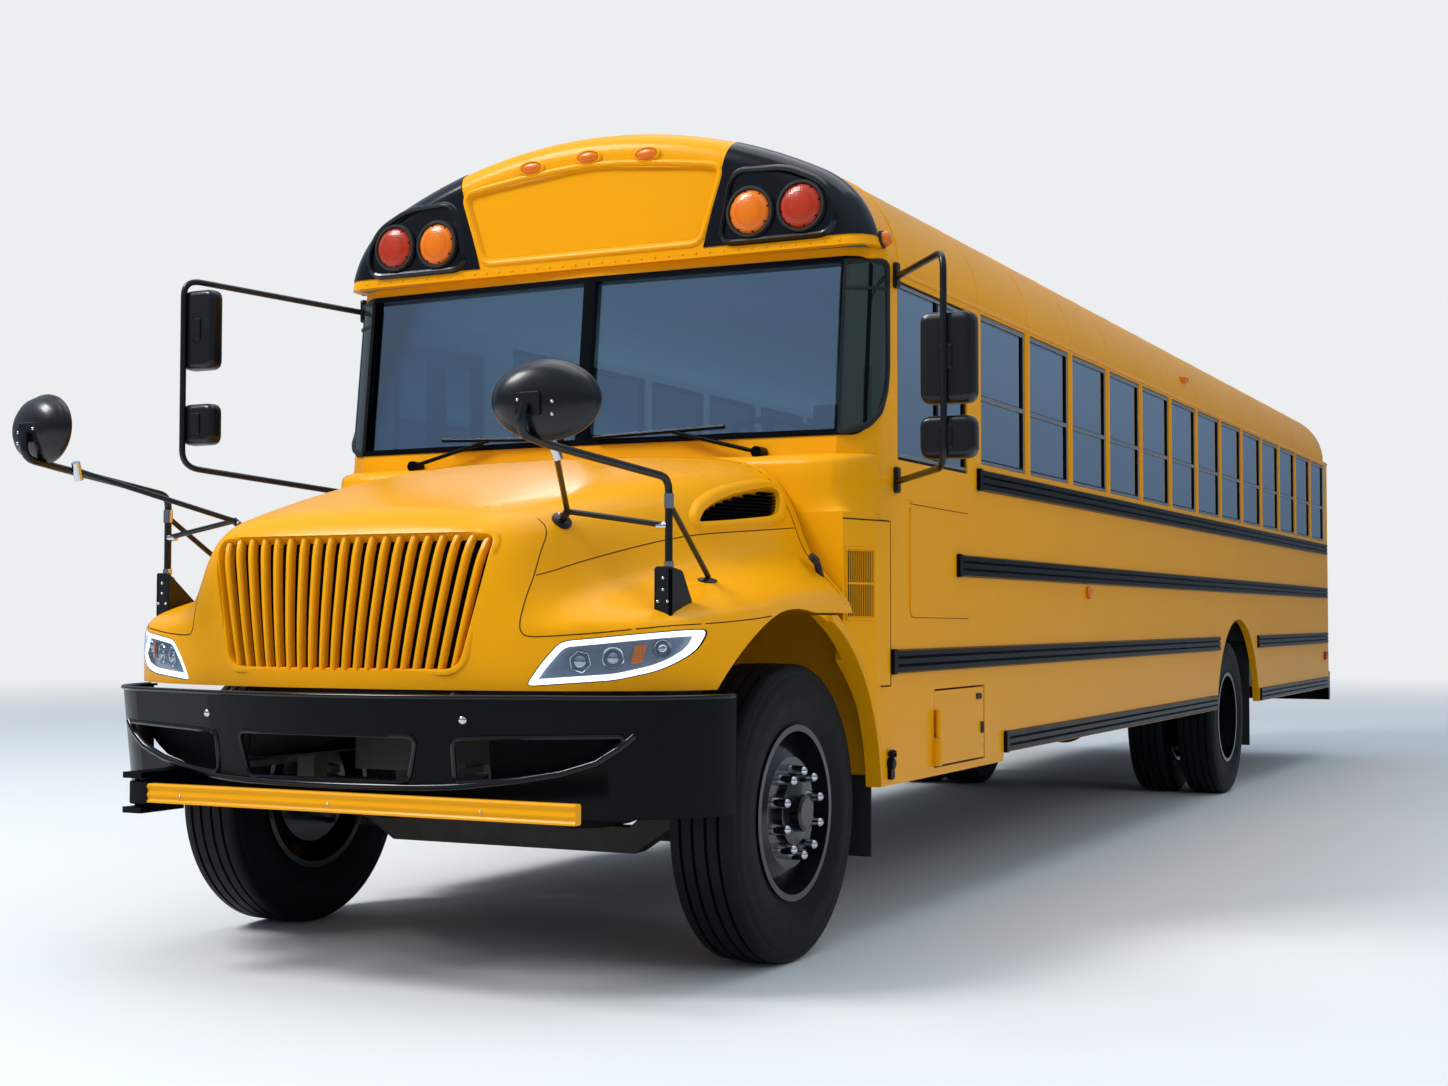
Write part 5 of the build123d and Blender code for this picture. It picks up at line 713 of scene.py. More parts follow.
def rounded(points, radius, steps=6):
    """Closed outline with each corner replaced by an arc-like curve."""
    result = []
    for i, corner in enumerate(points):
        corner = Vector(corner)
        before, after = Vector(points[i - 1]), Vector(points[(i + 1) % len(points)])
        a = corner + (before - corner).normalized() * min(radius, (before - corner).length / 2)
        b = corner + (after - corner).normalized() * min(radius, (after - corner).length / 2)
        for k in range(steps + 1):
            t = k / steps
            result.append(tuple(a * (1 - t) ** 2 + corner * 2 * t * (1 - t) + b * t ** 2))
    return result


GRILLE_OUT = rounded([(-0.458, 1.008), (0.458, 1.008), (0.562, 1.443), (-0.562, 1.443)], 0.06)
LAMP_OUT = rounded([(0.664, 0.962), (0.712, 1.034), (0.772, 1.104), (0.862, 1.113), (0.964, 1.124),
                    (1.104, 1.140), (1.137, 1.140), (1.123, 1.075), (1.085, 1.037), (1.026, 1.006),
                    (0.924, 0.981)], 0.03)
INTAKE_OUT = rounded([(-0.200, 1.497), (-0.034, 1.511), (0.177, 1.533), (0.240, 1.548), (0.270, 1.578),
                      (0.306, 1.622), (0.298, 1.643), (0.255, 1.643), (0.156, 1.629), (0.033, 1.605),
                      (-0.062, 1.578), (-0.145, 1.543)], 0.02)


def along_y(a, b, depth):
    """Outline in the XZ plane, with its depth along Y."""
    return (a, depth, b)


def along_x(a, b, depth):
    """Outline in the YZ plane, measured back from the front axle, with its depth along X."""
    return (depth, FRONT_AXLE_Y + a, b)


ARCH_A, ARCH_Z, ARCH_RADIUS = -0.1, 0.515, 0.69
arch = [(ARCH_A + ARCH_RADIUS * math.cos(t), ARCH_Z + ARCH_RADIUS * math.sin(t))
        for t in np.linspace(0, 2 * math.pi, 97)[:-1]]
tools = [prism("cut_grille", GRILLE_OUT, along_y, -6.2, -5.45), prism("cut_arch", arch, along_x, -1.4, 1.4),
         prism("cut_back", [(-0.1, 0.9), (0.4, 0.9), (0.4, 1.192), (-0.1, 1.192)], along_x, -1.4, 1.4)]
for _, side in SIDES:
    tools.append(prism("cut_lamp", [(side * a, b) for a, b in LAMP_OUT], along_y, -6.2, -5.2))
    tools.append(prism("cut_intake", INTAKE_OUT, along_x, side * 0.55, side * 1.4))
moulding = cut_away(thickened("hood_skin", hood_bm, HOOD_SKIN, bus_yellow), tools)
hood = fitted("hood_moulding", moulding, bus_yellow, "hood", "body_yellow", 38)
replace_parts(hood, "hood_shell")
print("hood faces", len(moulding.polygons))

# %% [markdown]
# ## Trim that follows the surface
# Rims, beads and seams lie on curved panels. One function sweeps a small closed profile along an
# outline that is laid on the surface, and another fills an outline with a sheet.


# %% Bands, sheets and tubes
def offset_outline(outline, distance):
    """Outline moved outwards by distance, for an outline of many points."""
    points = np.array(outline)
    along = np.roll(points, -1, 0) - np.roll(points, 1, 0)
    normal = np.stack([along[:, 1], -along[:, 0]], 1) / np.maximum(np.hypot(*along.T), 1e-9)[:, None]
    area = np.sum(points[:, 0] * np.roll(points[:, 1], -1) - np.roll(points[:, 0], -1) * points[:, 1])
    return points + normal * distance * (1 if area > 0 else -1)


def surface_band(name, outline, profile, lay, material, body, slot, smooth_angle=40):
    """Ring along an outline; profile rows are (outwards in the outline's plane, off the surface)."""
    columns = [[tuple(lay(a, b, height)[0]) for a, b in offset_outline(outline, reach)]
               for reach, height in profile]
    points = [column[i] for i in range(len(outline)) for column in columns]
    mesh = mesh_from(name, points, ring_faces(len(outline), len(profile)))
    return fitted(name, mesh, material, body, slot, smooth_angle)


def surface_sheet(name, outline, steps, out, thick, lay, material, body, slot, across=7):
    """Closed sheet that fills a convex outline, laid on the surface in strips."""
    points = np.array(outline)
    columns = []
    for a in np.linspace(points[:, 0].min() + 1e-4, points[:, 0].max() - 1e-4, steps):
        cross = []
        for (a0, b0), (a1, b1) in zip(points, np.roll(points, -1, 0)):
            if (a0 - a) * (a1 - a) <= 0 and abs(a1 - a0) > 1e-9:
                cross.append(b0 + (b1 - b0) * (a - a0) / (a1 - a0))
        columns.append((a, min(cross), max(cross)))
    made = []
    for depth in (out, out - thick):
        for a, bottom, top in columns:
            made += [tuple(lay(a, bottom + (top - bottom) * t, depth)[0])
                     for t in np.linspace(0, 1, across)]
    count = steps * across
    faces = ring_faces(steps, across, False, False)
    faces += [tuple(count + i for i in f)[::-1] for f in faces]
    edge = list(range(across)) + [i * across + across - 1 for i in range(1, steps)]
    edge += [(steps - 1) * across + i for i in range(across - 2, -1, -1)]
    edge += [i * across for i in range(steps - 2, 0, -1)]
    faces += [(i, j, count + j, count + i) for i, j in zip(edge, edge[1:] + edge[:1])]
    return fitted(name, mesh_from(name, made, faces), material, body, slot, 40)


def bar(path, radius, sides=10, closed=False):
    """Points and faces of a round bar along a path. A list gives each point its own radius."""
    path = [Vector(p) for p in path]
    radii = radius if isinstance(radius, list) else [radius] * len(path)
    points, up = [], None
    for i, p in enumerate(path):
        before = path[i - 1] if closed or i else p
        after = path[(i + 1) % len(path)] if closed or i < len(path) - 1 else p
        along = (after - before).normalized()
        up = along.orthogonal() if up is None else up - along * up.dot(along)
        up.normalize()
        other = along.cross(up)
        points += [p + (up * math.cos(t) + other * math.sin(t)) * radii[i]
                   for t in (2 * math.pi * k / sides for k in range(sides))]
    return points, ring_faces(len(path), sides) if closed else closed_tube(len(path), sides)


def piece_of(name, parts, material, body, slot, smooth_angle=35):
    """One object from many (points, faces) parts."""
    points, faces = [], []
    for more_points, more_faces in parts:
        faces += [tuple(len(points) + i for i in face) for face in more_faces]
        points += [tuple(p) for p in more_points]
    return fitted(name, mesh_from(name, points, faces), material, body, slot, smooth_angle)


def smooth_path(points, steps=6):
    """Catmull-Rom curve through points."""
    p = [Vector(q) for q in points]
    p = [2 * p[0] - p[1]] + p + [2 * p[-1] - p[-2]]
    result = []
    for i in range(1, len(p) - 2):
        for k in range(steps):
            t = k / steps
            result.append(0.5 * ((2 * p[i]) + (p[i + 1] - p[i - 1]) * t
                                 + (2 * p[i - 1] - 5 * p[i] + 4 * p[i + 1] - p[i + 2]) * t ** 2
                                 + (3 * p[i] - p[i - 1] - 3 * p[i + 1] + p[i + 2]) * t ** 3))
    return result + [p[-2]]


def mirrored_x(lay):
    """The same way of laying points, on the other side of the bus."""
    def other(a, b, out=0.0):
        place, normal = lay(a, b, out)
        return Vector((-place.x, place.y, place.z)), normal
    return other


# %% [markdown]
# ## Grille
# Twenty slanted bars stand in a rounded opening. Each bar follows the curve of the nose, a little
# behind its surface, and a rolled rim covers their ends. Behind them the radiator is a near-black
# sheet, darkened as painted shade between the bars.

# %% Grille bars, rim and backing
GRILLE_BARS, BAR_STATIONS = 20, 13
GRILLE_BOTTOM_Z, GRILLE_TOP_Z, BAR_LAP = 1.008, 1.443, 0.004
SPREAD_BOTTOM, SPREAD_TOP = 0.444, 0.548
bars = []
for i in range(GRILLE_BARS):
    share = (i + 0.5) / GRILLE_BARS * 2 - 1
    points = []
    for k in range(BAR_STATIONS):
        t = k / (BAR_STATIONS - 1)
        z = GRILLE_BOTTOM_Z - BAR_LAP + (GRILLE_TOP_Z - GRILLE_BOTTOM_Z + 2 * BAR_LAP) * t
        x = share * (SPREAD_BOTTOM + (SPREAD_TOP - SPREAD_BOTTOM) * t)
        half = 0.0085 + 0.002 * t
        spot = on_front(x, z, -0.010)[0]
        points += [(x + dx, spot.y + dy, spot.z) for dx, dy in
                   ((-half, 0.005), (-half + 0.004, -0.001), (half - 0.004, -0.001), (half, 0.005),
                    (half, 0.028), (-half, 0.028))]
    bars.append((points, closed_tube(BAR_STATIONS, 6)))
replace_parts(piece_of("grille_bars", bars, bus_yellow, "hood", "body_yellow", 30), "grille")
surface_band("grille_rim", GRILLE_OUT,
             [(0.018, -0.004), (0.012, 0.004), (0.003, 0.006), (-0.006, 0.002), (-0.008, -0.03),
              (0.002, -0.03)], on_front, bus_yellow, "hood", "body_yellow")
# The backing stands for the radiator, in near-black painted shade
backing = [(a * 1.03, 1.21 + (b - 1.21) * 1.03) for a, b in GRILLE_OUT]
surface_sheet("grille_backing", backing, 40, -0.050, 0.004, on_front, shade_black, "hood", "trim_black")
print("grille bars", len(bars))

# %% [markdown]
# ## Headlamps
# Behind a clear cover lies a dark bowl with a hexagonal projector, two reflectors and an amber block.
# A white light guide runs round the edge, and it is the brightest line on the front.

# %% Headlamps
halo_white, tree = new_material("lit_light_guide")
glow = add_node(tree, "ShaderNodeBsdfPrincipled", None,
                {"Base Color": linear("FAFCFF"), "Roughness": 0.3, "Emission Color": linear("F4F8FF"),
                 "Emission Strength": 1.6})
finish_material(tree, glow)
lamp_bowl = make_finish("vacuum_coated_grey_bowl", "6C7684", "7E8896", 30.0, (0.25, 0.35),
                        (200.0, 0.05, 0.001), metallic=0.25)
# Across, height, radius and sides: the hexagonal projector, then the two round reflectors
REFLECTORS = ((0.828, 1.040, 0.034, 6), (0.918, 1.050, 0.032, 20), (1.048, 1.080, 0.026, 20))
AMBER_BLOCK = [(0.965, 1.030), (1.000, 1.036), (1.010, 1.094), (0.977, 1.088)]
for tag, side in SIDES:
    lay = on_front if side > 0 else mirrored_x(on_front)
    surface_sheet(f"lamp_bowl_{tag}", LAMP_OUT, 34, -0.030, 0.003, lay, lamp_bowl, "hood", "lamp_clear")
    surface_band(f"lamp_wall_{tag}", LAMP_OUT,
                 [(0.0005, -0.001), (0.0005, -0.033), (-0.003, -0.033), (-0.003, -0.001)],
                 lay, black_enamel, "hood", "trim_black")
    surface_band(f"lamp_halo_{tag}", LAMP_OUT,
                 [(-0.003, -0.010), (-0.003, -0.002), (-0.012, -0.001), (-0.019, -0.002),
                  (-0.021, -0.010)], lay, halo_white, "hood", "lamp_clear")
    cover = surface_sheet(f"lamp_cover_{tag}", offset_outline(LAMP_OUT, -0.001), 34, 0.0015, 0.002, lay,
                          clear_lens, "hood", "lamp_clear")
    if side > 0:
        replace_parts(cover, "headlamps")
    for k, (x, z, radius, sides) in enumerate(REFLECTORS):
        middle, normal = lay(x, z, -0.024)
        normal = Vector((normal.x * side, normal.y, normal.z))
        a = normal.orthogonal().normalized()
        b = normal.cross(a)
        ring = [middle + (a * math.cos(t) + b * math.sin(t)) * radius
                for t in np.linspace(0, 2 * math.pi, sides + 1)[:-1]]
        eye = [middle + normal * height for height in (-0.004, 0.004, 0.009)]
        piece_of(f"lamp_ring_{tag}_{k}", [bar(ring, 0.0032, 6, True)], bright_steel, "hood",
                 "lamp_clear", 50)
        piece_of(f"lamp_eye_{tag}_{k}", [bar(eye, [radius * 0.62, radius * 0.55, radius * 0.2], 16)],
                 bright_steel, "hood", "lamp_clear", 50)
    surface_sheet(f"lamp_amber_{tag}", rounded(AMBER_BLOCK, 0.006), 6, -0.02, 0.008, lay, amber_lens,
                  "hood", "lens_amber")
print("headlamps made")

# %% [markdown]
# ## Hood intakes and seams
# Each intake is a D-shaped hole with a swollen rim and level louvres. The seams are the joints
# between the mouldings, drawn as narrow dark strips on the surface.

# %% Intakes with their louvres
LOUVRE_STEPS, LOUVRE_THICK = 12, Vector((0, 0, 0.003))


def on_flank(side):
    """Ways of laying trim on a side of the hood; a is measured back from the front axle."""
    return lambda a, b, out=0.0: on_side(side, FRONT_AXLE_Y + a, b, out)


for tag, side in SIDES:
    lay = on_flank(side)
    surface_band(f"intake_rim_{tag}", INTAKE_OUT,
                 [(0.040, -0.003), (0.026, 0.010), (0.012, 0.014), (-0.001, 0.008), (-0.004, -0.03),
                  (0.004, -0.03)], lay, bus_yellow, "hood", "body_yellow")
    # The sheet behind each intake is painted shade in the hole
    panel = surface_sheet(f"intake_back_{tag}", INTAKE_OUT, 30, -0.030, 0.003, lay, shade_black,
                          "hood", "trim_black")
    if side > 0:
        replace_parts(panel, "hood_intakes")
    slats = []
    inner_edge = offset_outline(INTAKE_OUT, -0.006)
    for z in np.arange(1.508, 1.636, 0.0135):
        cross = sorted(a0 + (a1 - a0) * (z - b0) / (b1 - b0)
                       for (a0, b0), (a1, b1) in zip(inner_edge, np.roll(inner_edge, -1, 0))
                       if (b0 - z) * (b1 - z) < 0)
        if len(cross) < 2 or cross[-1] - cross[0] < 0.03:
            continue
        slat = []
        for a in np.linspace(cross[0], cross[-1], LOUVRE_STEPS):
            outer, inner = lay(a, z, -0.008)[0], lay(a, z + 0.004, -0.024)[0]
            slat += [outer, outer + LOUVRE_THICK, inner + LOUVRE_THICK, inner]
        slats.append((slat, closed_tube(LOUVRE_STEPS, 4)))
    piece_of(f"intake_louvres_{tag}", slats, black_enamel, "hood", "trim_black", None)
print("louvres", len(slats), "on each side")

# %% Seams of the hood
seam_dark = make_finish("shadowed_seam", "3A2708", "2E2008", 8.0, (0.6, 0.8), (100.0, 0.05, 0.001),
                        specular=0.1)


def seam(name, points, width=0.0035, lift=0.0006, body="hood"):
    """Narrow strip along (point, normal) pairs."""
    places = []
    for i, (p, n) in enumerate(points):
        along = (points[min(i + 1, len(points) - 1)][0] - points[max(i - 1, 0)][0]).normalized()
        across = along.cross(n).normalized() * width / 2
        top = n * lift
        places += [p - across - n * 0.001, p - across + top, p + across + top, p + across - n * 0.001]
    return piece_of(name, [(places, closed_tube(len(points), 4))], seam_dark, body, "trim_black", None)


NOSE_SEAM = [(0.604, 1.490), (0.635, 1.461), (0.655, 1.412), (0.664, 1.316), (0.656, 1.231), (0.650, 1.160),
             (0.658, 1.128), (0.684, 1.117), (0.757, 1.119), (0.862, 1.127), (0.964, 1.138), (1.053, 1.149),
             (1.107, 1.154)]
FENDER_SEAM = [(-0.640, 1.157), (-0.556, 1.162), (-0.418, 1.171), (-0.310, 1.180)]
SIDE_SEAM = [(-0.925, 1.306), (-0.756, 1.351), (-0.536, 1.401), (-0.379, 1.432), (-0.204, 1.458),
             (0.110, 1.484), (0.315, 1.500)]


def curve_through(points, steps):
    """Smooth line through (a, b) points, as pairs."""
    return [(p.x, p.z) for p in smooth_path([(a, 0, b) for a, b in points], steps)]


for tag, side in SIDES:
    lay = on_flank(side)
    seam(f"nose_seam_{tag}", [on_front(side * x, z) for x, z in curve_through(NOSE_SEAM, 5)]
         + [lay(a, b) for a, b in curve_through(FENDER_SEAM, 5)])
    seam(f"side_seam_{tag}", [lay(a, b) for a, b in curve_through(SIDE_SEAM, 6)])
rim_points = []
for theta in np.linspace(math.radians(13), math.radians(167), 70):
    way = Vector((math.cos(theta), 0, math.sin(theta)))
    start_point = Vector((0, FRONT_AXLE_Y + 0.322, HOOD_BASE_Z)) + way * 2
    rim_points.append(meet(hood_tree, start_point, -way))
seam("hood_back_seam", rim_points, 0.004)
print("hood trim done")

# %% [markdown]
# ## Shapes for small parts
# Most trim is a turned lens or cap, a bent tube, or a slab cut from plate with its edges eased. Each
# of these returns points and faces, so that many of them can share one mesh.


# %% Turned shapes, bent paths and slabs
def turned_on(centre, axis, profile, steps=24, squash=(1.0, 1.0), ring=False):
    """Shape turned about an axis from (radius, height) rows; a ring's profile is closed."""
    axis = Vector(axis).normalized()
    aside = Vector((0, 0, 1)).cross(axis)
    aside = aside.normalized() if aside.length > 0.01 else Vector((1, 0, 0))
    above = axis.cross(aside)
    points = []
    for i in range(steps):
        t = 2 * math.pi * i / steps
        spoke = aside * math.cos(t) * squash[0] + above * math.sin(t) * squash[1]
        points += [Vector(centre) + spoke * r + axis * h for r, h in profile]
    return points, ring_faces(steps, len(profile), True, ring)


def bent_path(points, bend, steps=5):
    """Path through points with each inner corner rounded."""
    p = [Vector(q) for q in points]
    path = [p[0]]
    for before, corner, after in zip(p, p[1:], p[2:]):
        a = corner + (before - corner).normalized() * min(bend, (before - corner).length / 2)
        b = corner + (after - corner).normalized() * min(bend, (after - corner).length / 2)
        path += [a * (1 - t) ** 2 + corner * 2 * t * (1 - t) + b * t ** 2 for t in np.linspace(0, 1, steps)]
    return path + [p[-1]]


def slab(outline, place, low, high, chamfer=0.002):
    """Plate between two depths with eased edges; place maps (a, b, depth) to a point."""
    step = chamfer if high > low else -chamfer
    points = []
    for inset, depth in ((-chamfer, low), (0, low + step), (0, high - step), (-chamfer, high)):
        points += [Vector(place(a, b, depth)) for a, b in offset_outline(outline, inset)]
    return points, closed_tube(4, len(outline))


def rectangle(low_a, high_a, low_b, high_b):
    """Outline of a rectangle."""
    return [(low_a, low_b), (high_a, low_b), (high_a, high_b), (low_a, high_b)]


def flip(parts):
    """The same parts on the other side of the bus."""
    return [([Vector((-p[0], p[1], p[2])) for p in points], [f[::-1] for f in faces])
            for points, faces in parts]


# %% Ways of laying trim on the body
def flat_front(y):
    """Trim on an upright face that looks forwards."""
    return lambda a, b, out=0.0: (Vector((a, y - out, b)), Vector((0, -1, 0)))


def flat_side(side, x=BODY_HALF):
    """Trim on a side of the body; a is measured back from the front axle."""
    return lambda a, b, out=0.0: (Vector((side * (x + out), FRONT_AXLE_Y + a, b)), Vector((side, 0, 0)))


def beside(side):
    """Slabs on a side of the bus; depth is measured out from the middle of the bus."""
    return lambda a, b, depth: (side * depth, FRONT_AXLE_Y + a, b)


def point_of(lay):
    """The point alone of a way of laying trim, as a slab needs it."""
    return lambda a, b, depth: lay(a, b, depth)[0]


def bm_of(node):
    """Editable copy of a node's mesh, in the shared frame."""
    bm = bmesh.new()
    bm.from_mesh(nodes[node].data)
    bm.transform(nodes[node].matrix_world)
    bmesh.ops.remove_doubles(bm, verts=bm.verts, dist=1e-5)
    bmesh.ops.recalc_face_normals(bm, faces=bm.faces)
    return bm


def tree_of(node):
    """Search tree that finds where rays meet a node's mesh."""
    bm = bm_of(node)
    tree = BVHTree.FromBMesh(bm)
    bm.free()
    return tree


# %% [markdown]
# ## Front cap
# The cap is a fibreglass moulding. Black gelcoat covers its corners, where each pair of warning
# lamps stands inside a raised rim. A soft bead runs round the blank sign panel.

# %% Cap corners, lamp rims and sign bead
CAP_Y = FRONT_AXLE_Y + 0.505
gelcoat_black = make_finish("gloss_gelcoat_black", "06080C", "0A0D12", 3.0, (0.14, 0.22),
                            (300.0, 0.03, 0.001), coat=0.2, specular=0.25)
cap_tree = tree_of("roof_cap_front")


def on_cap(x, z, out=0.0):
    """Point on the front cap met by a level ray from the front."""
    return meet(cap_tree, (x, -6, z), (0, 1, 0), out)


LAMP_PLATE = [(0.592, 2.612), (1.046, 2.612), (1.060, 2.700), (1.010, 2.795), (0.865, 2.862),
              (0.645, 2.872)]
CABIN_MIDDLE = Vector((0, CABIN_FRONT_Y, CABIN_MIDDLE_Z))
slant = Vector((0.377, 0, -0.102)).normalized()
for tag, side in SIDES:
    bm = bm_of("roof_cap_front")
    for point, away in (((side * 0.512, 0, 2.596), (-slant.x * side, 0, -slant.z)),
                        ((0, 0, 2.597), (0, 0, -1)), ((0, CAP_Y + 0.098, 0), (0, 1, 0))):
        bmesh.ops.bisect_plane(bm, geom=bm.verts[:] + bm.edges[:] + bm.faces[:], plane_co=point,
                               plane_no=away, clear_outer=True)
    hidden = [f for f in bm.faces if f.normal.dot(f.calc_center_median() - CABIN_MIDDLE) < 0]
    bmesh.ops.delete(bm, geom=hidden, context="FACES")
    for v, normal in [(v, v.normal.copy()) for v in bm.verts]:
        v.co += normal * 0.0035
    corner = thickened(f"cap_corner_{tag}", bm, 0.006, gelcoat_black, 38)
    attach(corner, "bus")
    plate = rounded([(side * a, b) for a, b in LAMP_PLATE], 0.055)
    surface_band(f"lamp_rim_{tag}", plate,
                 [(-0.004, 0.002), (-0.001, 0.014), (0.007, 0.018), (0.015, 0.014), (0.022, 0.002)],
                 flat_front(CAP_Y), gelcoat_black, "bus", "trim_black")
sign = [(-0.492, 2.622), (0.492, 2.622), (0.585, 2.902), (0.45, 2.922), (0.3, 2.941), (0.15, 2.954),
        (0, 2.962), (-0.15, 2.954), (-0.3, 2.941), (-0.45, 2.922), (-0.585, 2.902)]
surface_band("sign_bead", rounded(sign, 0.04),
             [(-0.012, -0.013), (-0.004, 0.001), (0.006, 0.007), (0.016, 0.006), (0.024, -0.002)],
             flat_front(CAP_Y), bus_yellow, "bus", "body_yellow", 60)
rim_rivets = [tuple(flat_front(CAP_Y)(x, 2.577)) for x in np.linspace(-1.08, 1.08, 37)]
studs("cap_rivets", rim_rivets, 0.0055, 0.004, bus_yellow, "bus", "body_yellow")
print("cap dressed")

# %% [markdown]
# ## Warning lamps and markers
# A warning lamp is a pressed acrylic lens with a stepped edge and a shallow dome, held by a rubber
# ring with small lugs. The markers are the same shape at a smaller size, or ovals.

# %% Lenses and rings
LENS = [(0, -0.002), (0.078, -0.002), (0.083, 0.002), (0.083, 0.010), (0.080, 0.015), (0.070, 0.0215),
        (0.050, 0.0275), (0.025, 0.031), (0, 0.032)]
RING = [(0.0835, 0.0), (0.0835, 0.012), (0.088, 0.018), (0.095, 0.018), (0.100, 0.012), (0.101, 0.0)]
LUG_CIRCLE, LUG_TURNS = 0.0775, np.linspace(0.2, 0.2 + 2 * math.pi, 9)[:-1]
LAMP_FRONT_Y, LAMP_REAR_Y = CAP_Y - 0.004, 6.081
lamp_places = {"amber": [], "red": []}
for _, side in SIDES:
    lamp_places["red"] += [((side * 0.929, LAMP_FRONT_Y, 2.716), -1),
                           ((side * 0.870, LAMP_REAR_Y, 2.610), 1), ((side * 0.960, LAMP_REAR_Y, 0.865), 1)]
    lamp_places["amber"] += [((side * 0.717, LAMP_FRONT_Y, 2.713), -1),
                             ((side * 0.655, LAMP_REAR_Y, 2.610), 1),
                             ((side * 0.740, LAMP_REAR_Y, 0.865), 1)]
rings, lugs, lens_parts = [], [], {}
for colour, places in lamp_places.items():
    lens_parts[colour] = [turned_on(place, (0, way, 0), LENS, 32) for place, way in places]
    for (x, y, z), way in places:
        rings.append(turned_on((x, y, z), (0, way, 0), RING, 32, ring=True))
        lugs += [((x + LUG_CIRCLE * math.cos(t), y + way * 0.015, z + LUG_CIRCLE * math.sin(t)),
                  (0, way, 0)) for t in LUG_TURNS]
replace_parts(piece_of("lamp_rings", rings, flap_rubber, "bus", "trim_black"), "lamp_bezels")
studs("lamp_lugs", lugs, 0.0045, 0.005, black_enamel, "bus", "trim_black")

# %% Crown and side markers
CROWN_RIM = [(0.045, -0.004), (0.047, 0.006), (0.052, 0.009), (0.060, 0.007), (0.066, -0.004)]
CROWN_LENS = [(0, -0.003), (0.046, -0.003), (0.044, 0.007), (0.030, 0.012), (0, 0.014)]
OVAL = (1.0, 0.5)
crown_rims = []
for x, z in ((0, 3.0), (0.265, 2.984), (-0.265, 2.984)):
    place, normal = on_cap(x, z)
    crown_rims.append(turned_on(place, normal, CROWN_RIM, 32, OVAL, True))
    lens_parts["amber"].append(turned_on(place, normal, CROWN_LENS, 28, OVAL))
piece_of("crown_rims", crown_rims, bus_yellow, "bus", "body_yellow", 60)
MARKER = [(0, -0.002), (0.030, -0.002), (0.032, 0.002), (0.031, 0.012), (0.024, 0.018), (0, 0.021)]
EAVES_MARKER = [(r * 0.9, h * 1.5) for r, h in MARKER]
EAVES_BASE = [(0, -0.004), (0.034, -0.004), (0.034, 0.006), (0.030, 0.010), (0, 0.010)]
EAVES_SPOT = (FRONT_AXLE_Y + 0.64, 2.592)
bases = []
for _, side in SIDES:
    outwards = (side, 0, 0.15)
    lens_parts["amber"] += [
        turned_on((side * 1.206, FRONT_AXLE_Y + 3.376, 1.302), (side, 0, 0), MARKER, 20),
        turned_on((side * 1.203, *EAVES_SPOT), outwards, EAVES_MARKER, 20),
        slab(rounded(rectangle(5.5, 5.6, 2.608, 2.642), 0.01), along_x, side * 1.18, side * 1.216, 0.004)]
    bases.append(turned_on((side * 1.196, *EAVES_SPOT), outwards, EAVES_BASE, 20))
    lens_parts["red"].append(slab(rounded(rectangle(10.61, 10.73, 0.825, 0.895), 0.012), along_x,
                                  side * 1.2045, side * 1.221, 0.004))
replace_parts(piece_of("amber_lenses", lens_parts["amber"], amber_lens, "bus", "lens_amber", 50),
            "amber_lamps")
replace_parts(piece_of("red_lenses", lens_parts["red"], red_lens, "bus", "lens_red", 50), "red_lamps")
piece_of("marker_bases", bases, flap_rubber, "bus", "trim_black")
print("lenses", sum(len(p) for p in lens_parts.values()))

# %% [markdown]
# ## Roof and flank trim
# The body is riveted sheet on pressed bows. A rail covers the joint at the eaves, a low rib shows
# each roof bow, and aluminium strips edge the split sashes.

# %% Roof bows and drip rails
WINDOW_PITCH, FIRST_POST, WINDOWS = 0.6917, 1.71, 13
CROWN_RADIUS, CROWN_TURN, EAVES_RADIUS = 2.1965, 0.4641, 0.4


def roof_ribbon(y, width, rise):
    """Low rib across the roof from eaves to eaves at y."""
    rim = [(1.204, 2.512)] + [(0.804 + EAVES_RADIUS * math.cos(t), 2.51 + EAVES_RADIUS * math.sin(t))
                              for t in np.linspace(0, math.pi / 2 - CROWN_TURN, 9)]
    rim += [(CROWN_RADIUS * math.sin(t), 3.1 - CROWN_RADIUS * (1 - math.cos(t)))
            for t in np.linspace(CROWN_TURN, 0, 9)[1:]]
    rim += [(-x, z) for x, z in rim[::-1][1:]]
    points = []
    for (x, z), (dx, dz) in zip(rim, np.gradient(np.array(rim), axis=0)):
        out = Vector((dz, 0, -dx)).normalized()
        out = out if out.dot(Vector((x, 0, z - 2.3))) > 0 else -out
        for along, height in ((-width / 2, -0.002), (-width / 2 + 0.003, rise), (width / 2 - 0.003, rise),
                              (width / 2, -0.002)):
            points.append(Vector((x, y + along, z)) + out * height)
    return points, closed_tube(len(rim), 4)


bows = [roof_ribbon(FRONT_AXLE_Y + FIRST_POST + WINDOW_PITCH * i, 0.018, 0.0022) for i in range(WINDOWS)]
bows.append(roof_ribbon(FRONT_AXLE_Y + 0.79, 0.026, 0.004))
piece_of("roof_bows", bows, bus_yellow, "bus", "body_yellow", 50)
DRIP = [(0, -0.002), (0.006, -0.001), (0.012, 0.006), (0.010, 0.013), (0.003, 0.016), (-0.001, 0.016)]
drips = []
for _, side in SIDES:
    points = [Vector((side * (BODY_HALF + a), y, 2.487 + b)) for y in (-4.02, 6.06) for a, b in DRIP]
    drips.append((points, closed_tube(2, len(DRIP))))
piece_of("drip_rails", drips, bus_yellow, "bus", "body_yellow")
print("roof bows", len(bows))

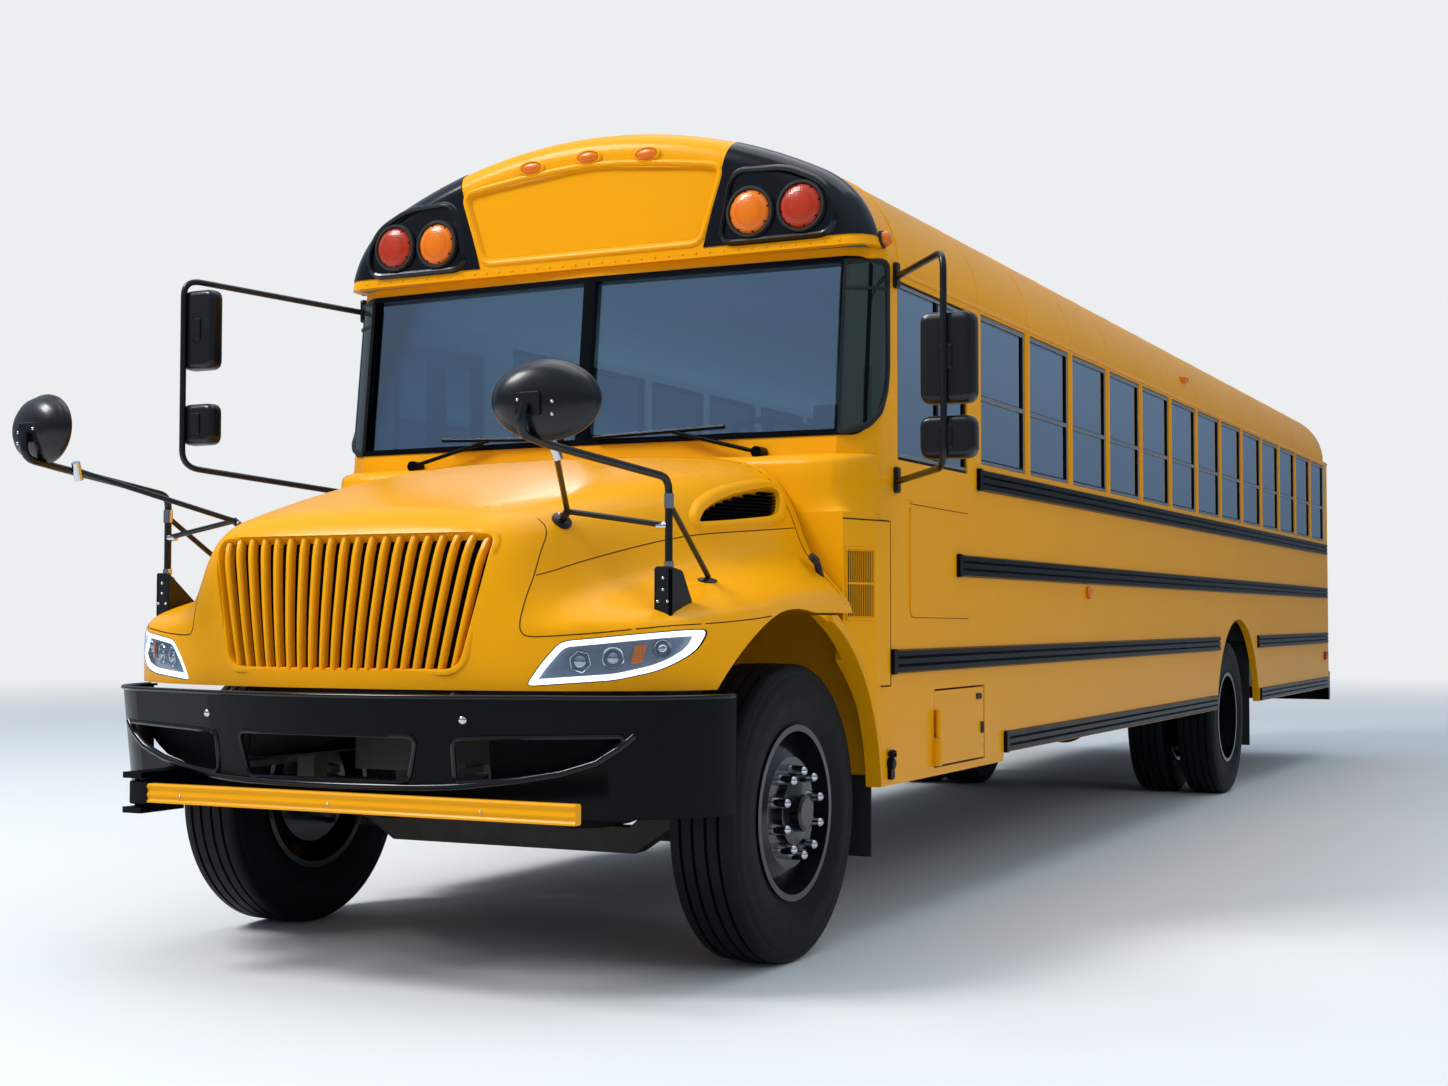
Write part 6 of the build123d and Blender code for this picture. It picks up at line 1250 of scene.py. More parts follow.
# %% Rivets
rivets = []
for _, side in SIDES:
    rivets += [((side * 1.2035, y, 2.532), (side, 0, 0)) for y in np.arange(-3.9, 5.9, 0.075)]
    rivets += [((side * BODY_HALF, FRONT_AXLE_Y + 0.735, z), (side, 0, 0))
               for z in np.arange(1.16, 1.54, 0.045)]
    rivets += [((side * BODY_HALF, y, 1.698), (side, 0, 0)) for y in np.arange(-3.0, 5.9, 0.14)]
    for i in range(1, WINDOWS, 2):
        y = FRONT_AXLE_Y + FIRST_POST + WINDOW_PITCH * i
        if side > 0 or i > 1:
            rivets += [((side * BODY_HALF, y, z), (side, 0, 0)) for z in np.arange(1.46, 1.70, 0.06)]
            rivets += [((side * BODY_HALF, y, z), (side, 0, 0)) for z in np.arange(1.08, 1.34, 0.06)
                       if abs(y - REAR_AXLE_Y - 0.08) > 0.75]
studs("body_rivets", rivets, 0.005, 0.0022, bus_yellow, "bus", "body_yellow")
print("rivets", len(rivets))

# %% Sash strips, post ribs and rail ends
SASH_X, POST_HALF = 1.196, 0.036
SASH_BACK = SASH_X - 0.004
strips, ribs, weather = [], [], []
for _, side in SIDES:
    at_side = beside(side)
    for i in range(WINDOWS):
        low = FIRST_POST + WINDOW_PITCH * i + POST_HALF
        high = low + WINDOW_PITCH - 2 * POST_HALF
        for a, b in ((1.829, 1.845), (2.105, 2.123), (2.452, 2.470)):
            strips.append(slab(rectangle(low + 0.004, high - 0.004, a, b), at_side, SASH_BACK,
                               SASH_X + 0.005))
        strips.append(slab(rectangle(high - 0.012, high - 0.003, 1.832, 2.468), at_side, SASH_BACK,
                           SASH_X + 0.003))
        weather.append(slab(rectangle(low + 0.002, low + 0.016, 1.832, 2.468), at_side, SASH_BACK,
                            SASH_X + 0.002))
        if i:
            ribs.append(slab(rectangle(low - 0.046, low - 0.026, 1.825, 2.475), at_side, BODY_HALF - 0.002,
                             BODY_HALF + 0.005))
for a, b in ((1.788, 1.800), (2.440, 2.452)):
    strips.append(slab(rectangle(0.79, 1.555, a, b), along_x, SASH_BACK, SASH_X + 0.005))
piece_of("sash_strips", strips, anodised, "bus", "window_black")
piece_of("sash_seals", weather, flap_rubber, "bus", "window_black")
piece_of("post_ribs", ribs, bus_yellow, "bus", "body_yellow")
# Top and front end of each rub rail; on the other side the entrance cuts the front ends back
RAILS = [(1.806, 1.690), (1.436, 1.435), (1.056, 0.700), (0.680, 2.035)]
ENTRANCE_END = 1.62
caps = []
for _, side in SIDES:
    for top, start_a in RAILS:
        if side < 0:
            start_a = max(start_a, ENTRANCE_END)
        rail_end = rectangle(start_a - 0.006, start_a + 0.034, top - 0.094, top + 0.002)
        caps.append(slab(rounded(rail_end, 0.008), beside(side), BODY_HALF, BODY_HALF + 0.0175, 0.003))
piece_of("rail_caps", caps, black_enamel, "bus", "trim_black")
print("flank dressed")

# %% [markdown]
# ## Side panes
# The glass of a split sash sits close behind the face of its frame. The panes keep their outline,
# and those of the side windows come forward.

# %% Panes close behind the sash face
PANE_STEP = 0.019
pane_bm = bm_of("body_glass")
for v in pane_bm.verts:
    if abs(v.co.x) > 1.14 and v.co.y > -4.05:
        v.co.x += math.copysign(PANE_STEP, v.co.x)
panes = fitted("window_panes", mesh_of("window_panes", pane_bm), pane_tint, "bus", "tinted_glass")
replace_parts(panes, "body_glass")
print("panes", len(panes.data.polygons))

# %% [markdown]
# ## Cowl side, hatch and latches
# A louvre lets air out beside the hood, pressed lines stiffen the panel under the driver's window,
# forged hooks hold the tilting hood down, and a folded tray closes the compartment behind the hatch.

# %% Louvre, pressed lines, latches
COWL_DIR = Vector((0.048, 0.202)).normalized()


def on_cowl(side):
    """Ways of laying trim on the slanted panel behind the hood; a runs back along the panel."""
    def lay(a, b, out=0.0):
        x = 1.150 + COWL_DIR.x * a + COWL_DIR.y * out
        y = FRONT_AXLE_Y + 0.368 + COWL_DIR.y * a - COWL_DIR.x * out
        return Vector((side * x, y, b)), Vector((side * COWL_DIR.y, -COWL_DIR.x, 0))
    return lay


PRESSED = {"top": [(0.905, 1.622), (1.575, 1.616)], "front": [(0.903, 1.600), (0.902, 1.215)],
           "foot": [(0.902, 1.215), (0.908, 1.192), (0.930, 1.184), (1.572, 1.180)]}
HOOK = [(0.655, 0.664, 0.012), (0.664, 0.676, 0.014), (0.690, 0.677, 0.014), (0.703, 0.668, 0.014),
        (0.703, 0.655, 0.012)]
for tag, side in SIDES:
    lay, flank = on_cowl(side), flat_side(side)
    at_cowl = point_of(lay)
    slats = [slab(rectangle(a - 0.0019, a + 0.0019, low, high), at_cowl, 0.0, 0.0042, 0.0006)
             for low, high in ((1.181, 1.296), (1.304, 1.418)) for a in np.linspace(0.036, 0.174, 13)]
    slats.append(slab(rectangle(0.028, 0.182, 1.296, 1.304), at_cowl, 0.0, 0.007, 0.001))
    piece_of(f"louvre_slats_{tag}", slats, bus_yellow, "bus", "body_yellow")
    # A near-black slab under the slats is painted shade in the louvre's gaps
    shade = slab(rectangle(0.028, 0.182, 1.181, 1.418), at_cowl, -0.001, 0.002, 0.0005)
    piece_of(f"louvre_dark_{tag}", [shade], shade_black, "bus", "trim_black")
    surface_band(f"louvre_frame_{tag}", rounded(rectangle(0.024, 0.186, 1.176, 1.423), 0.006),
                 [(0.0, -0.001), (0.002, 0.006), (0.008, 0.006), (0.011, -0.001)], lay, bus_yellow,
                 "bus", "body_yellow")
    lines = {"cowl_top": [lay(a, 1.535) for a in np.linspace(0.0, 0.205, 6)]
             + [flank(0.60, 1.536), flank(0.697, 1.537)],
             "cowl_back": [flank(0.697, z) for z in np.linspace(1.537, 0.921, 12)],
             "cowl_foot": [flank(a, 0.921) for a in np.linspace(0.697, 0.60, 4)]}
    for name, points in lines.items():
        seam(f"{name}_{tag}", points, 0.005, 0.0008, "bus")
    if side > 0:
        for name, line in PRESSED.items():
            path = [flank(p.x, p.z) for p in bent_path([(a, 0, b) for a, b in line], 0.02)]
            ridge = seam(f"pressed_{name}", path, 0.013, 0.0045, "bus")
            ridge.data.materials[0] = bus_yellow
            shadow = [flank(p[0].y - FRONT_AXLE_Y, p[0].z - 0.007) for p in path]
            seam(f"pressed_{name}_shadow", shadow, 0.0035, 0.0008, "bus")
    hook = [flank(*spot)[0] for spot in HOOK]
    parts = [bar(bent_path(hook, 0.01), 0.0085, 8),
             bar([flank(0.678, 0.672, 0.012)[0], flank(0.680, 0.64, 0.014)[0]], 0.0085, 8),
             turned_on(flank(0.680, 0.632)[0], (side, 0, 0),
                       [(0, 0), (0.024, 0), (0.024, 0.016), (0.018, 0.022), (0, 0.023)], 16),
             slab(rounded(rectangle(0.662, 0.700, 0.572, 0.628), 0.012), point_of(flank), 0, 0.016)]
    piece_of(f"body_hook_{tag}", parts, black_enamel, "bus", "trim_black")
    base, normal = on_side(side, FRONT_AXLE_Y + 0.30, 1.335)
    grip = [base + normal * 0.004 + Vector((0, dy, dz))
            for dy, dz in ((-0.055, 0.045), (-0.03, 0.04), (0, 0.0), (0.04, -0.055))]
    latch = [bar(smooth_path(grip, 4), 0.013),
             turned_on(grip[0], normal, [(0, -0.004), (0.022, -0.004), (0.021, 0.012), (0, 0.018)], 16)]
    piece_of(f"hood_latch_{tag}", latch, flap_rubber, "hood", "trim_black", 50)
print("cowl dressed")

# %% Hatch latches and the tray behind the hatch
latches = [slab(rounded(rectangle(1.673, 1.727, 0.834, 0.858), 0.005), along_x, BODY_HALF - 0.003,
                BODY_HALF + 0.006),
           slab(rounded(rectangle(1.727, 1.749, 0.690, 0.738), 0.005), along_x, BODY_HALF - 0.003,
                BODY_HALF + 0.008)]
piece_of("hatch_latches", latches, forged_steel, "side_hatch", "trim_black")
tray_outline = rounded(rectangle(1.158, 1.782, 0.573, 0.899), 0.015)
tray = []
for inset, depth in ((0, 0.830), (0, 1.1595), (-0.003, 1.1595), (-0.003, 0.833)):
    tray += [along_x(a, b, depth) for a, b in offset_outline(tray_outline, inset)]
piece_of("compartment_tray", [(tray, closed_tube(4, len(tray_outline)))], chassis_paint, "bus",
         "trim_black")
print("hatch dressed")

# %% [markdown]
# ## Shoulders beside the hood
# The body swells forward below the windshield, and its corners run down into the panels behind the
# hood. One shell is lofted level by level, and its top rolls back to the foot of the windshield. A
# rolled lip edges the rear half of each front wheel arch.

# %% Shoulders and arch lips
LOW_PLAN = [(0.0, 0.368), (1.150, 0.368), (1.162, 0.418), (1.174, 0.469), (1.186, 0.520), (1.198, 0.570),
            (1.2045, 0.600)]
ROUND_PLAN = [(0.0, 0.368), (1.020, 0.370), (1.100, 0.388), (1.148, 0.428), (1.178, 0.484), (1.196, 0.545),
              (1.2045, 0.600)]
HIGH_PLAN = [(0.0, 0.452), (0.640, 0.476), (1.075, 0.492), (1.120, 0.517), (1.165, 0.543), (1.188, 0.578),
             (1.2045, 0.600)]
LEVELS = [(1.558, 0, 0), (1.566, 0.35, 0), (1.585, 0.8, 0), (1.62, 1, 0), (1.68, 1, 0), (1.735, 1, 0),
          (1.755, 1, 0.06), (1.768, 1, 0.2), (1.776, 1, 0.45), (1.781, 1, 0.75), (1.783, 1, 1)]


def plan_curve(points):
    """Even points along half of a plan, from the middle of the bus to its side."""
    points = np.array(points)
    length = np.concatenate([[0], np.cumsum(np.hypot(*np.diff(points, axis=0).T))])
    steps = np.concatenate([[0], np.linspace(0.7, length[-1], 30)])
    return np.stack([np.interp(steps, length, points[:, k]) for k in (0, 1)], 1)


level_points = []
for z, roundness, back in LEVELS:
    low = plan_curve(LOW_PLAN) * (1 - roundness) + plan_curve(ROUND_PLAN) * roundness
    half = low * (1 - back) + plan_curve(HIGH_PLAN) * back
    inner = plan_curve(HIGH_PLAN) * [0.985, 1] + [0, 0.016]
    front = [(x, y) for x, y in half[::-1]] + [(-x, y) for x, y in half[1:]]
    behind = [(-x, y) for x, y in inner[::-1]] + [(x, y) for x, y in inner[1:]]
    level_points += [(x, FRONT_AXLE_Y + y, z) for x, y in front + behind]
shoulder = (level_points, closed_tube(len(LEVELS), len(level_points) // len(LEVELS)))
piece_of("cowl_shoulder", [shoulder], bus_yellow, "bus", "body_yellow", 45)
LIP = [(0.688, 1.148), (0.688, 1.2085), (0.692, 1.2125), (0.706, 1.2125), (0.711, 1.2085), (0.711, 1.148)]
lips = []
for _, side in SIDES:
    bend = np.radians(np.linspace(70, 3, 60))
    points = [Vector((side * x, FRONT_AXLE_Y + ARCH_A + r * math.cos(t), ARCH_Z + r * math.sin(t)))
              for t in bend for r, x in LIP]
    lips.append((points, closed_tube(len(bend), len(LIP))))
piece_of("arch_lips", lips, bus_yellow, "bus", "body_yellow", 40)
print("shoulders made")

# %% [markdown]
# ## Bumper trim and crossing arm
# The front bumper is bent plate. Its top edge is rolled, its openings have turned lips, and two
# polished bolts hold it. The crossing arm is a folded yellow channel.

# %% Bumper beads, lips and screens
bumper_tree = tree_of("bumpers")
# The bumper has no opening at this height, and leans back by 50 mm over 375 mm
BUMPER_SOLID_Z, BUMPER_LEAN, BUMPER_HEIGHT = 0.86, 0.05, 0.375


def on_bumper(x, z, out=0.0):
    """Point on the front bumper, found from the front; over an opening the row above is used."""
    place, normal = meet(bumper_tree, (x, -7, BUMPER_SOLID_Z), (0, 1, 0))
    lean_back = BUMPER_LEAN * (BUMPER_SOLID_Z - z) / BUMPER_HEIGHT
    return place + Vector((0, lean_back, z - BUMPER_SOLID_Z)) + normal * out, normal


front_x = np.concatenate([np.linspace(-1.185, -0.9, 14), np.linspace(-0.85, 0.85, 30),
                          np.linspace(0.9, 1.185, 14)])
top_bead = [on_bumper(x, 0.931, 0.001)[0] for x in front_x]
ends = [Vector((1.197, y, 0.931)) for y in np.linspace(top_bead[-1].y + 0.04, FRONT_AXLE_Y - 0.61, 6)]
top_bead = [Vector((-p.x, p.y, p.z)) for p in ends[::-1]] + top_bead + ends
ridge_z = np.interp(np.abs(front_x), [0, 0.35, 0.47, 0.65, 0.80, 0.90, 0.97, 1.01],
                    [0.648, 0.650, 0.655, 0.676, 0.702, 0.735, 0.78, 0.818])
ridge_line = [on_bumper(x, z)[0] for x, z in zip(front_x, ridge_z) if abs(x) <= 1.01]
piece_of("bumper_beads", [bar(top_bead, 0.008), bar(ridge_line, 0.012)], gelcoat_black, "bus",
         "trim_black", 60)
MIDDLE_OPENING = [(-0.345, 0.805), (0.345, 0.805), (0.310, 0.668), (-0.310, 0.668)]
SIDE_OPENING = [(0.470, 0.672), (0.60, 0.681), (0.72, 0.695), (0.80, 0.707), (0.86, 0.724), (0.92, 0.752),
                (0.96, 0.785), (0.985, 0.812), (0.80, 0.808), (0.62, 0.804), (0.470, 0.800)]
OPENING_SHADE = ((0.56, 0.655), (0.72, 0.668), (0.86, 0.695), (0.97, 0.76), (1.005, 0.83), (0.56, 0.83))
openings = {"middle": rounded(MIDDLE_OPENING, 0.028)}
for tag, side in SIDES:
    openings[tag] = rounded([(side * a, b) for a, b in SIDE_OPENING], 0.02, 3)
for tag, outline in openings.items():
    surface_band(f"bumper_lip_{tag}", outline,
                 [(-0.002, -0.004), (-0.002, 0.006), (0.004, 0.009), (0.010, 0.006), (0.013, -0.002)],
                 on_bumper, gelcoat_black, "bus", "trim_black")
# Near-black sheets behind the side openings are painted shade
for tag, side in SIDES:
    shade_outline = [(side * a, b) for a, b in OPENING_SHADE]
    surface_sheet(f"bumper_screen_{tag}", shade_outline, 20, -0.060, 0.004, on_bumper, shade_black, "bus",
                  "trim_black")
studs("bumper_bolts", [on_bumper(x, 0.861) for x in (-0.504, 0.504)], 0.015, 0.010, bright_steel, "bus",
      "axle_steel", stud_tree("bumper_bolt_tree", bright_steel, 16, 4))
print("bumper dressed")

# %% Crossing arm
ARM_Y = FRONT_AXLE_Y - 1.137
CHANNEL = [(-0.017, 0.567), (0.013, 0.567), (0.017, 0.572), (0.017, 0.623), (0.013, 0.629),
           (-0.012, 0.629), (-0.017, 0.624), (-0.017, 0.617), (-0.013, 0.611), (-0.013, 0.601),
           (-0.0165, 0.596), (-0.0165, 0.590), (-0.013, 0.585), (-0.013, 0.578), (-0.017, 0.573)]
points = [Vector((x, ARM_Y + a, b)) for x in (-0.700, 0.950) for a, b in CHANNEL]
arm = piece_of("crossing_bar", [(points, closed_tube(2, len(CHANNEL)))], bus_yellow, "front_crossing_arm",
               "body_yellow")
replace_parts(arm, "crossing_arm")
knuckle = [(x, ARM_Y + a) for x, a in ((-0.768, -0.015), (-0.752, -0.019), (-0.692, -0.019),
                                       (-0.690, 0.017), (-0.752, 0.019), (-0.768, 0.015))]
piece_of("crossing_knuckle", [slab(knuckle, lambda a, b, depth: (a, b, depth), 0.5600, 0.6360, 0.003)],
         black_enamel, "front_crossing_arm", "trim_black")
studs("crossing_bar_screws", [((x, ARM_Y - 0.0165, 0.593), (0, -1, 0)) for x in (-0.55, 0.05, 0.62)],
      0.006, 0.004, bright_steel, "front_crossing_arm", "axle_steel")
print("crossing arm made")

# %% [markdown]
# ## Corner panes
# The outer panes of the windshield are bent round the corners of the body. Each one is a sheet laid
# along the corner's plan, with a large radius at its lower outer corner and a rubber seal.

# %% Corner panes and seals
corner_glass = make_finish("dark_corner_glass", "18231F", "243029", 2.0, (0.03, 0.06),
                           (30.0, 0.01, 0.0005), coat=0.5, specular=0.6)
SCREEN_FOOT_Z, SCREEN_RISE, SCREEN_LEAN = 1.850, 0.665, 0.070


def on_corner(side):
    """Ways of laying trim round the corner beside the windshield; a runs from the post outwards."""
    def lay(a, b, out=0.0):
        lean = SCREEN_LEAN * (b - SCREEN_FOOT_Z) / SCREEN_RISE
        bend = [(1.000, 0.487 + lean, 0), (1.075, 0.490 + lean, 0), (1.165, 0.542 + lean, 0),
                (1.2045, 0.602 + lean, 0), (1.2050, 0.76, 0)]
        path = np.array([(p.x, p.y) for p in smooth_path(bend, 8)])[8:]
        length = np.concatenate([[0], np.cumsum(np.hypot(*np.diff(path, axis=0).T))])
        x, y = (np.interp(a, length, path[:, k]) for k in (0, 1))
        ahead, behind = ([np.interp(a + step, length, path[:, k]) for k in (0, 1)]
                         for step in (0.004, -0.004))
        along = Vector((ahead[0] - behind[0], ahead[1] - behind[1], 0)).normalized()
        normal = Vector((along.y, -along.x, 0))
        place = Vector((x, FRONT_AXLE_Y + y, b)) + normal * out
        return Vector((side * place.x, place.y, place.z)), Vector((side * normal.x, normal.y, 0))
    return lay


PANE_OUT = rounded([(0.004, 1.868), (0.050, 1.872), (0.112, 1.893), (0.160, 1.943), (0.193, 2.025),
                    (0.201, 2.100), (0.167, 2.503), (0.004, 2.503)], 0.02)
# Start and end of each short piece of the level bar, which follows the bend
BAR_RUNS = ((0.050, 0.092), (0.090, 0.132), (0.130, 0.172), (0.006, 0.052))
for tag, side in SIDES:
    lay = on_corner(side)
    surface_sheet(f"corner_pane_{tag}", PANE_OUT, 26, 0.004, 0.004, lay, corner_glass, "bus",
                  "tinted_glass")
    surface_band(f"corner_seal_{tag}", PANE_OUT,
                 [(-0.007, 0.001), (-0.005, 0.011), (0.004, 0.014), (0.014, 0.011), (0.019, 0.001)],
                 lay, flap_rubber, "bus", "window_black")
    runs = [slab(rectangle(a, b, 2.400, 2.412), point_of(lay), 0.002, 0.010, 0.001) for a, b in BAR_RUNS]
    piece_of(f"corner_bar_{tag}", runs, flap_rubber, "bus", "window_black")
print("corner panes made")

# %% [markdown]
# ## Outside mirrors
# Each side of the windshield has a flat mirror over a small one, in moulded shells with rounded
# corners. They hang on one bent tube that is bolted to the body at both ends.

# %% Outside mirrors
SHELL_LAYERS = [(0.50, 0.70), (0.49, 0.80), (0.40, 0.925), (0.20, 0.985), (0.0, 1.0), (-0.34, 1.0),
                (-0.42, 0.985), (-0.42, 0.93), (-0.36, 0.92)]


def mirror_head(centre, width, height, depth):
    """Moulded shell, bowed towards the front, with a rim at the back, and its glass."""
    outline = rounded(rectangle(-width / 2, width / 2, -height / 2, height / 2), 0.042)
    points = []
    for ahead, scale in SHELL_LAYERS:
        shrink = (1 - scale) * min(width, height) / 2
        points += [Vector((centre[0] + a, centre[1] - ahead * depth, centre[2] + b))
                   for a, b in offset_outline(outline, -shrink)]
    glass = slab(offset_outline(outline, -0.012),
                 lambda a, b, d: (centre[0] + a, centre[1] + d, centre[2] + b), depth * 0.352,
                 depth * 0.385, 0.001)
    boss = slab(rounded(rectangle(-0.024, 0.024, -0.045, 0.045), 0.012),
                lambda a, b, d: (centre[0] + a, centre[1] - d, centre[2] + b), depth * 0.45,
                depth * 0.5 + 0.008, 0.004)
    return (points, closed_tube(len(SHELL_LAYERS), len(outline))), glass, boss


# Side, post, heads as (x, z) and (width, height), and the tube's ends as (a, z at the body, z at the post)
MIRRORS = ((1, (1.568, 0.285), [((1.572, 2.085), (0.204, 0.324)), ((1.572, 1.806), (0.204, 0.152))],
            [(0.745, 2.468, 2.455), (0.745, 1.690, 1.700)]),
           (-1, (1.660, 0.045), [((1.600, 2.360), (0.170, 0.330)), ((1.600, 1.970), (0.170, 0.170))],
            [(0.660, 2.490, 2.570), (0.660, 1.700, 1.795)]))
TUBE_X = BODY_HALF + 0.012
shell_parts, glass_parts, tube_parts = [], [], []
for side, (post_x, post_a), heads, ends in MIRRORS:
    for (x, z), (width, height) in heads:
        shell, glass, boss = mirror_head((side * x, FRONT_AXLE_Y + post_a + 0.041, z), width, height, 0.066)
        shell_parts += [shell, boss]
        glass_parts.append(glass)
    (top_a, top_z, top_post_z), (low_a, low_z, low_post_z) = ends
    path = [beside(side)(a, z, x) for a, z, x in ((top_a, top_z, TUBE_X), (post_a, top_post_z, post_x),
                                                  (post_a, low_post_z, post_x), (low_a, low_z, TUBE_X))]
    tube_parts.append(bar(bent_path(path, 0.07, 8), 0.0125, 12))
    for a, z, _ in ends:
        tube_parts.append(slab(rounded(rectangle(a - 0.018, a + 0.018, z - 0.045, z + 0.055), 0.012),
                               beside(side), BODY_HALF, BODY_HALF + 0.019, 0.004))
outer_shells = piece_of("outside_mirror_shells", shell_parts, mirror_shell, "bus", "mirror_plastic", 40)
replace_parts(outer_shells, "rear_view_mirrors")
piece_of("outside_mirror_glasses", glass_parts, mirror_glass, "bus", "mirror_plastic")
piece_of("outside_mirror_tubes", tube_parts, mirror_shell, "bus", "mirror_plastic", 40)
print("outside mirrors made")

# %% [markdown]
# ## Mirrors on the fenders
# A wide convex mirror on each side sits in a moulded shell. Bent steel tube carries it, with plated
# clamps at the joints, a bolted base on the fender and a brace to the hood.

# %% Fender mirrors
HEAD = Vector((0.965, FRONT_AXLE_Y - 1.338, 1.792))
HEAD_SIZE = (0.155, 0.112)
SHELL = [(0, -0.002), (0.96, -0.002), (1.0, -0.006), (1.035, 0.0), (1.045, 0.010), (1.02, 0.020),
         (0.985, 0.024), (0.95, 0.034), (0.86, 0.052), (0.68, 0.068), (0.42, 0.079), (0, 0.084)]
GLASS = [(0, 0.03), (0.4, 0.026), (0.75, 0.014), (0.95, 0.002), (0.95, -0.002), (0, -0.002)]
shells = [turned_on(HEAD, (0.3, -1, 0.03), SHELL, 48, HEAD_SIZE)]
faces_of_glass = [turned_on(HEAD, (-0.3, 1, -0.03), GLASS, 40, HEAD_SIZE)]
POST_X, POST_Y = 1.022, FRONT_AXLE_Y - 0.715
knee = Vector((0.930, FRONT_AXLE_Y - 1.240, 1.664))
mount, mount_out = on_side(1, FRONT_AXLE_Y - 0.744, 1.483)
foot, foot_out = on_top(0.975, FRONT_AXLE_Y - 0.36)
stem = [(POST_X, POST_Y, 1.26), (POST_X, POST_Y, 1.612), (0.950, FRONT_AXLE_Y - 1.29, 1.668),
        (0.945, HEAD.y - 0.115, 1.690), (0.955, HEAD.y - 0.105, 1.775)]
bracket = [(-0.745, 1.150), (-0.60, 1.190), (-0.60, 1.225), (-0.665, 1.322), (-0.745, 1.335)]
tubes = [bar(bent_path(stem, 0.045), 0.0125, 12),
         bar([(POST_X, POST_Y, 1.462), mount + mount_out * 0.045], 0.0095),
         bar([mount + mount_out * 0.045, knee], 0.0095),
         bar([(POST_X, POST_Y, 1.535), foot + foot_out * 0.015], 0.0095),
         bar([mount - mount_out * 0.004, mount + mount_out * 0.050], 0.013),
         turned_on(mount, mount_out, [(0, -0.006), (0.034, -0.006), (0.034, 0.006), (0.028, 0.010),
                                      (0, 0.010)], 20),
         turned_on(foot, foot_out, [(0, -0.004), (0.030, -0.004), (0.030, 0.004), (0.012, 0.010),
                                    (0, 0.018)], 20, (1.2, 0.7)),
         slab(rounded([(0.984, 1.150), (1.046, 1.150), (1.046, 1.335), (0.990, 1.335)], 0.008), along_y,
              POST_Y - 0.030, POST_Y - 0.018),
         slab(rounded(bracket, 0.01), along_x, 1.036, 1.046),
         slab(rounded(bracket[:3] + bracket[4:], 0.01), along_x, 0.986, 0.994),
         slab(rounded(rectangle(0.915, 0.995, 1.742, 1.808), 0.012), along_y, HEAD.y - 0.094,
              HEAD.y - 0.070)]
clamps = [bar([(POST_X, POST_Y, 1.516), (POST_X, POST_Y, 1.562)], 0.0165, 14),
          bar([(POST_X, POST_Y, 1.330), (POST_X, POST_Y, 1.350)], 0.0165, 14),
          bar([(POST_X - 0.006, POST_Y, 1.462), (POST_X - 0.040, POST_Y - 0.002, 1.4625)], 0.0125, 12),
          bar([knee + Vector((-0.004, -0.012, 0.026)), knee + Vector((0.004, 0.014, -0.030))], 0.0145, 12)]
head = piece_of("fender_mirror_shells", shells + flip(shells), mirror_shell, "hood", "mirror_plastic", 40)
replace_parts(head, "cross_view_mirrors")
piece_of("fender_mirror_glasses", faces_of_glass + flip(faces_of_glass), mirror_glass, "hood",
         "mirror_plastic", 40)
piece_of("fender_mirror_tubes", tubes + flip(tubes), mirror_shell, "hood", "mirror_plastic", 40)
piece_of("fender_mirror_clamps", clamps + flip(clamps), bright_steel, "hood", "mirror_plastic", 40)

# %% Bolts of the fender mirrors
bolt_spots = [((x, POST_Y - 0.030, z), (0, -1, 0))
              for x, z in ((1.0, 1.225), (1.034, 1.225), (1.018, 1.262), (1.018, 1.298))]
bolt_spots += [((HEAD.x + 0.024 + dx, HEAD.y - 0.078 + 0.3 * dx, HEAD.z + dz), (0.3, -1, 0.03))
               for dx, dz in ((-0.062, -0.006), (0.034, -0.012), (0.034, -0.048))]
bolt_spots += [(tuple(mount + mount_out * 0.009 + Vector((0, dy, dz))), tuple(mount_out))
               for dy, dz in ((-0.02, 0.016), (0.02, 0.016), (0, -0.022))]
bolt_spots += [((-p[0], p[1], p[2]), (-n[0], n[1], n[2])) for p, n in bolt_spots]
studs("fender_mirror_bolts", bolt_spots, 0.0058, 0.005, bright_steel, "hood", "mirror_plastic",
      stud_tree("bolt_tree", bright_steel, 10, 3))
print("fender mirrors made")

# %% [markdown]
# ## Seat pads
# Every bench is a foam pad under stretched vinyl. One bench is shaped from a few soft boxes, and a
# node tree sets it in each row on both sides.


# %% Benches
def soft_box(bm, low, high):
    """Box with its edges and corners rounded by a third of its least thickness."""
    made = bmesh.ops.create_cube(bm, size=1.0)["verts"]
    middle = [(a + b) / 2 for a, b in zip(low, high)]
    size = [b - a for a, b in zip(low, high)]
    for v in made:
        v.co = Vector([m + c * s for m, c, s in zip(middle, v.co, size)])
    faces = list({f for v in made for f in v.link_faces})
    edges = list({e for f in faces for e in f.edges})
    bmesh.ops.bevel(bm, geom=edges + made, offset=min(size) * 0.32, segments=3, profile=0.5, affect="EDGES")


def bench_mesh(width):
    """One bench: its front lower edge at the origin, X across, Y back, Z up."""
    bm = bmesh.new()
    soft_box(bm, (0, 0, 0.005), (width, 0.43, 0.125))
    back_start = len(bm.verts)
    soft_box(bm, (0, 0.385, 0.06), (width, 0.46, 0.745))
    bm.verts.ensure_lookup_table()
    for v in list(bm.verts)[back_start:]:
        v.co.y += 0.09 * (v.co.z - 0.06) / 0.69
    return mesh_of("bench", bm)


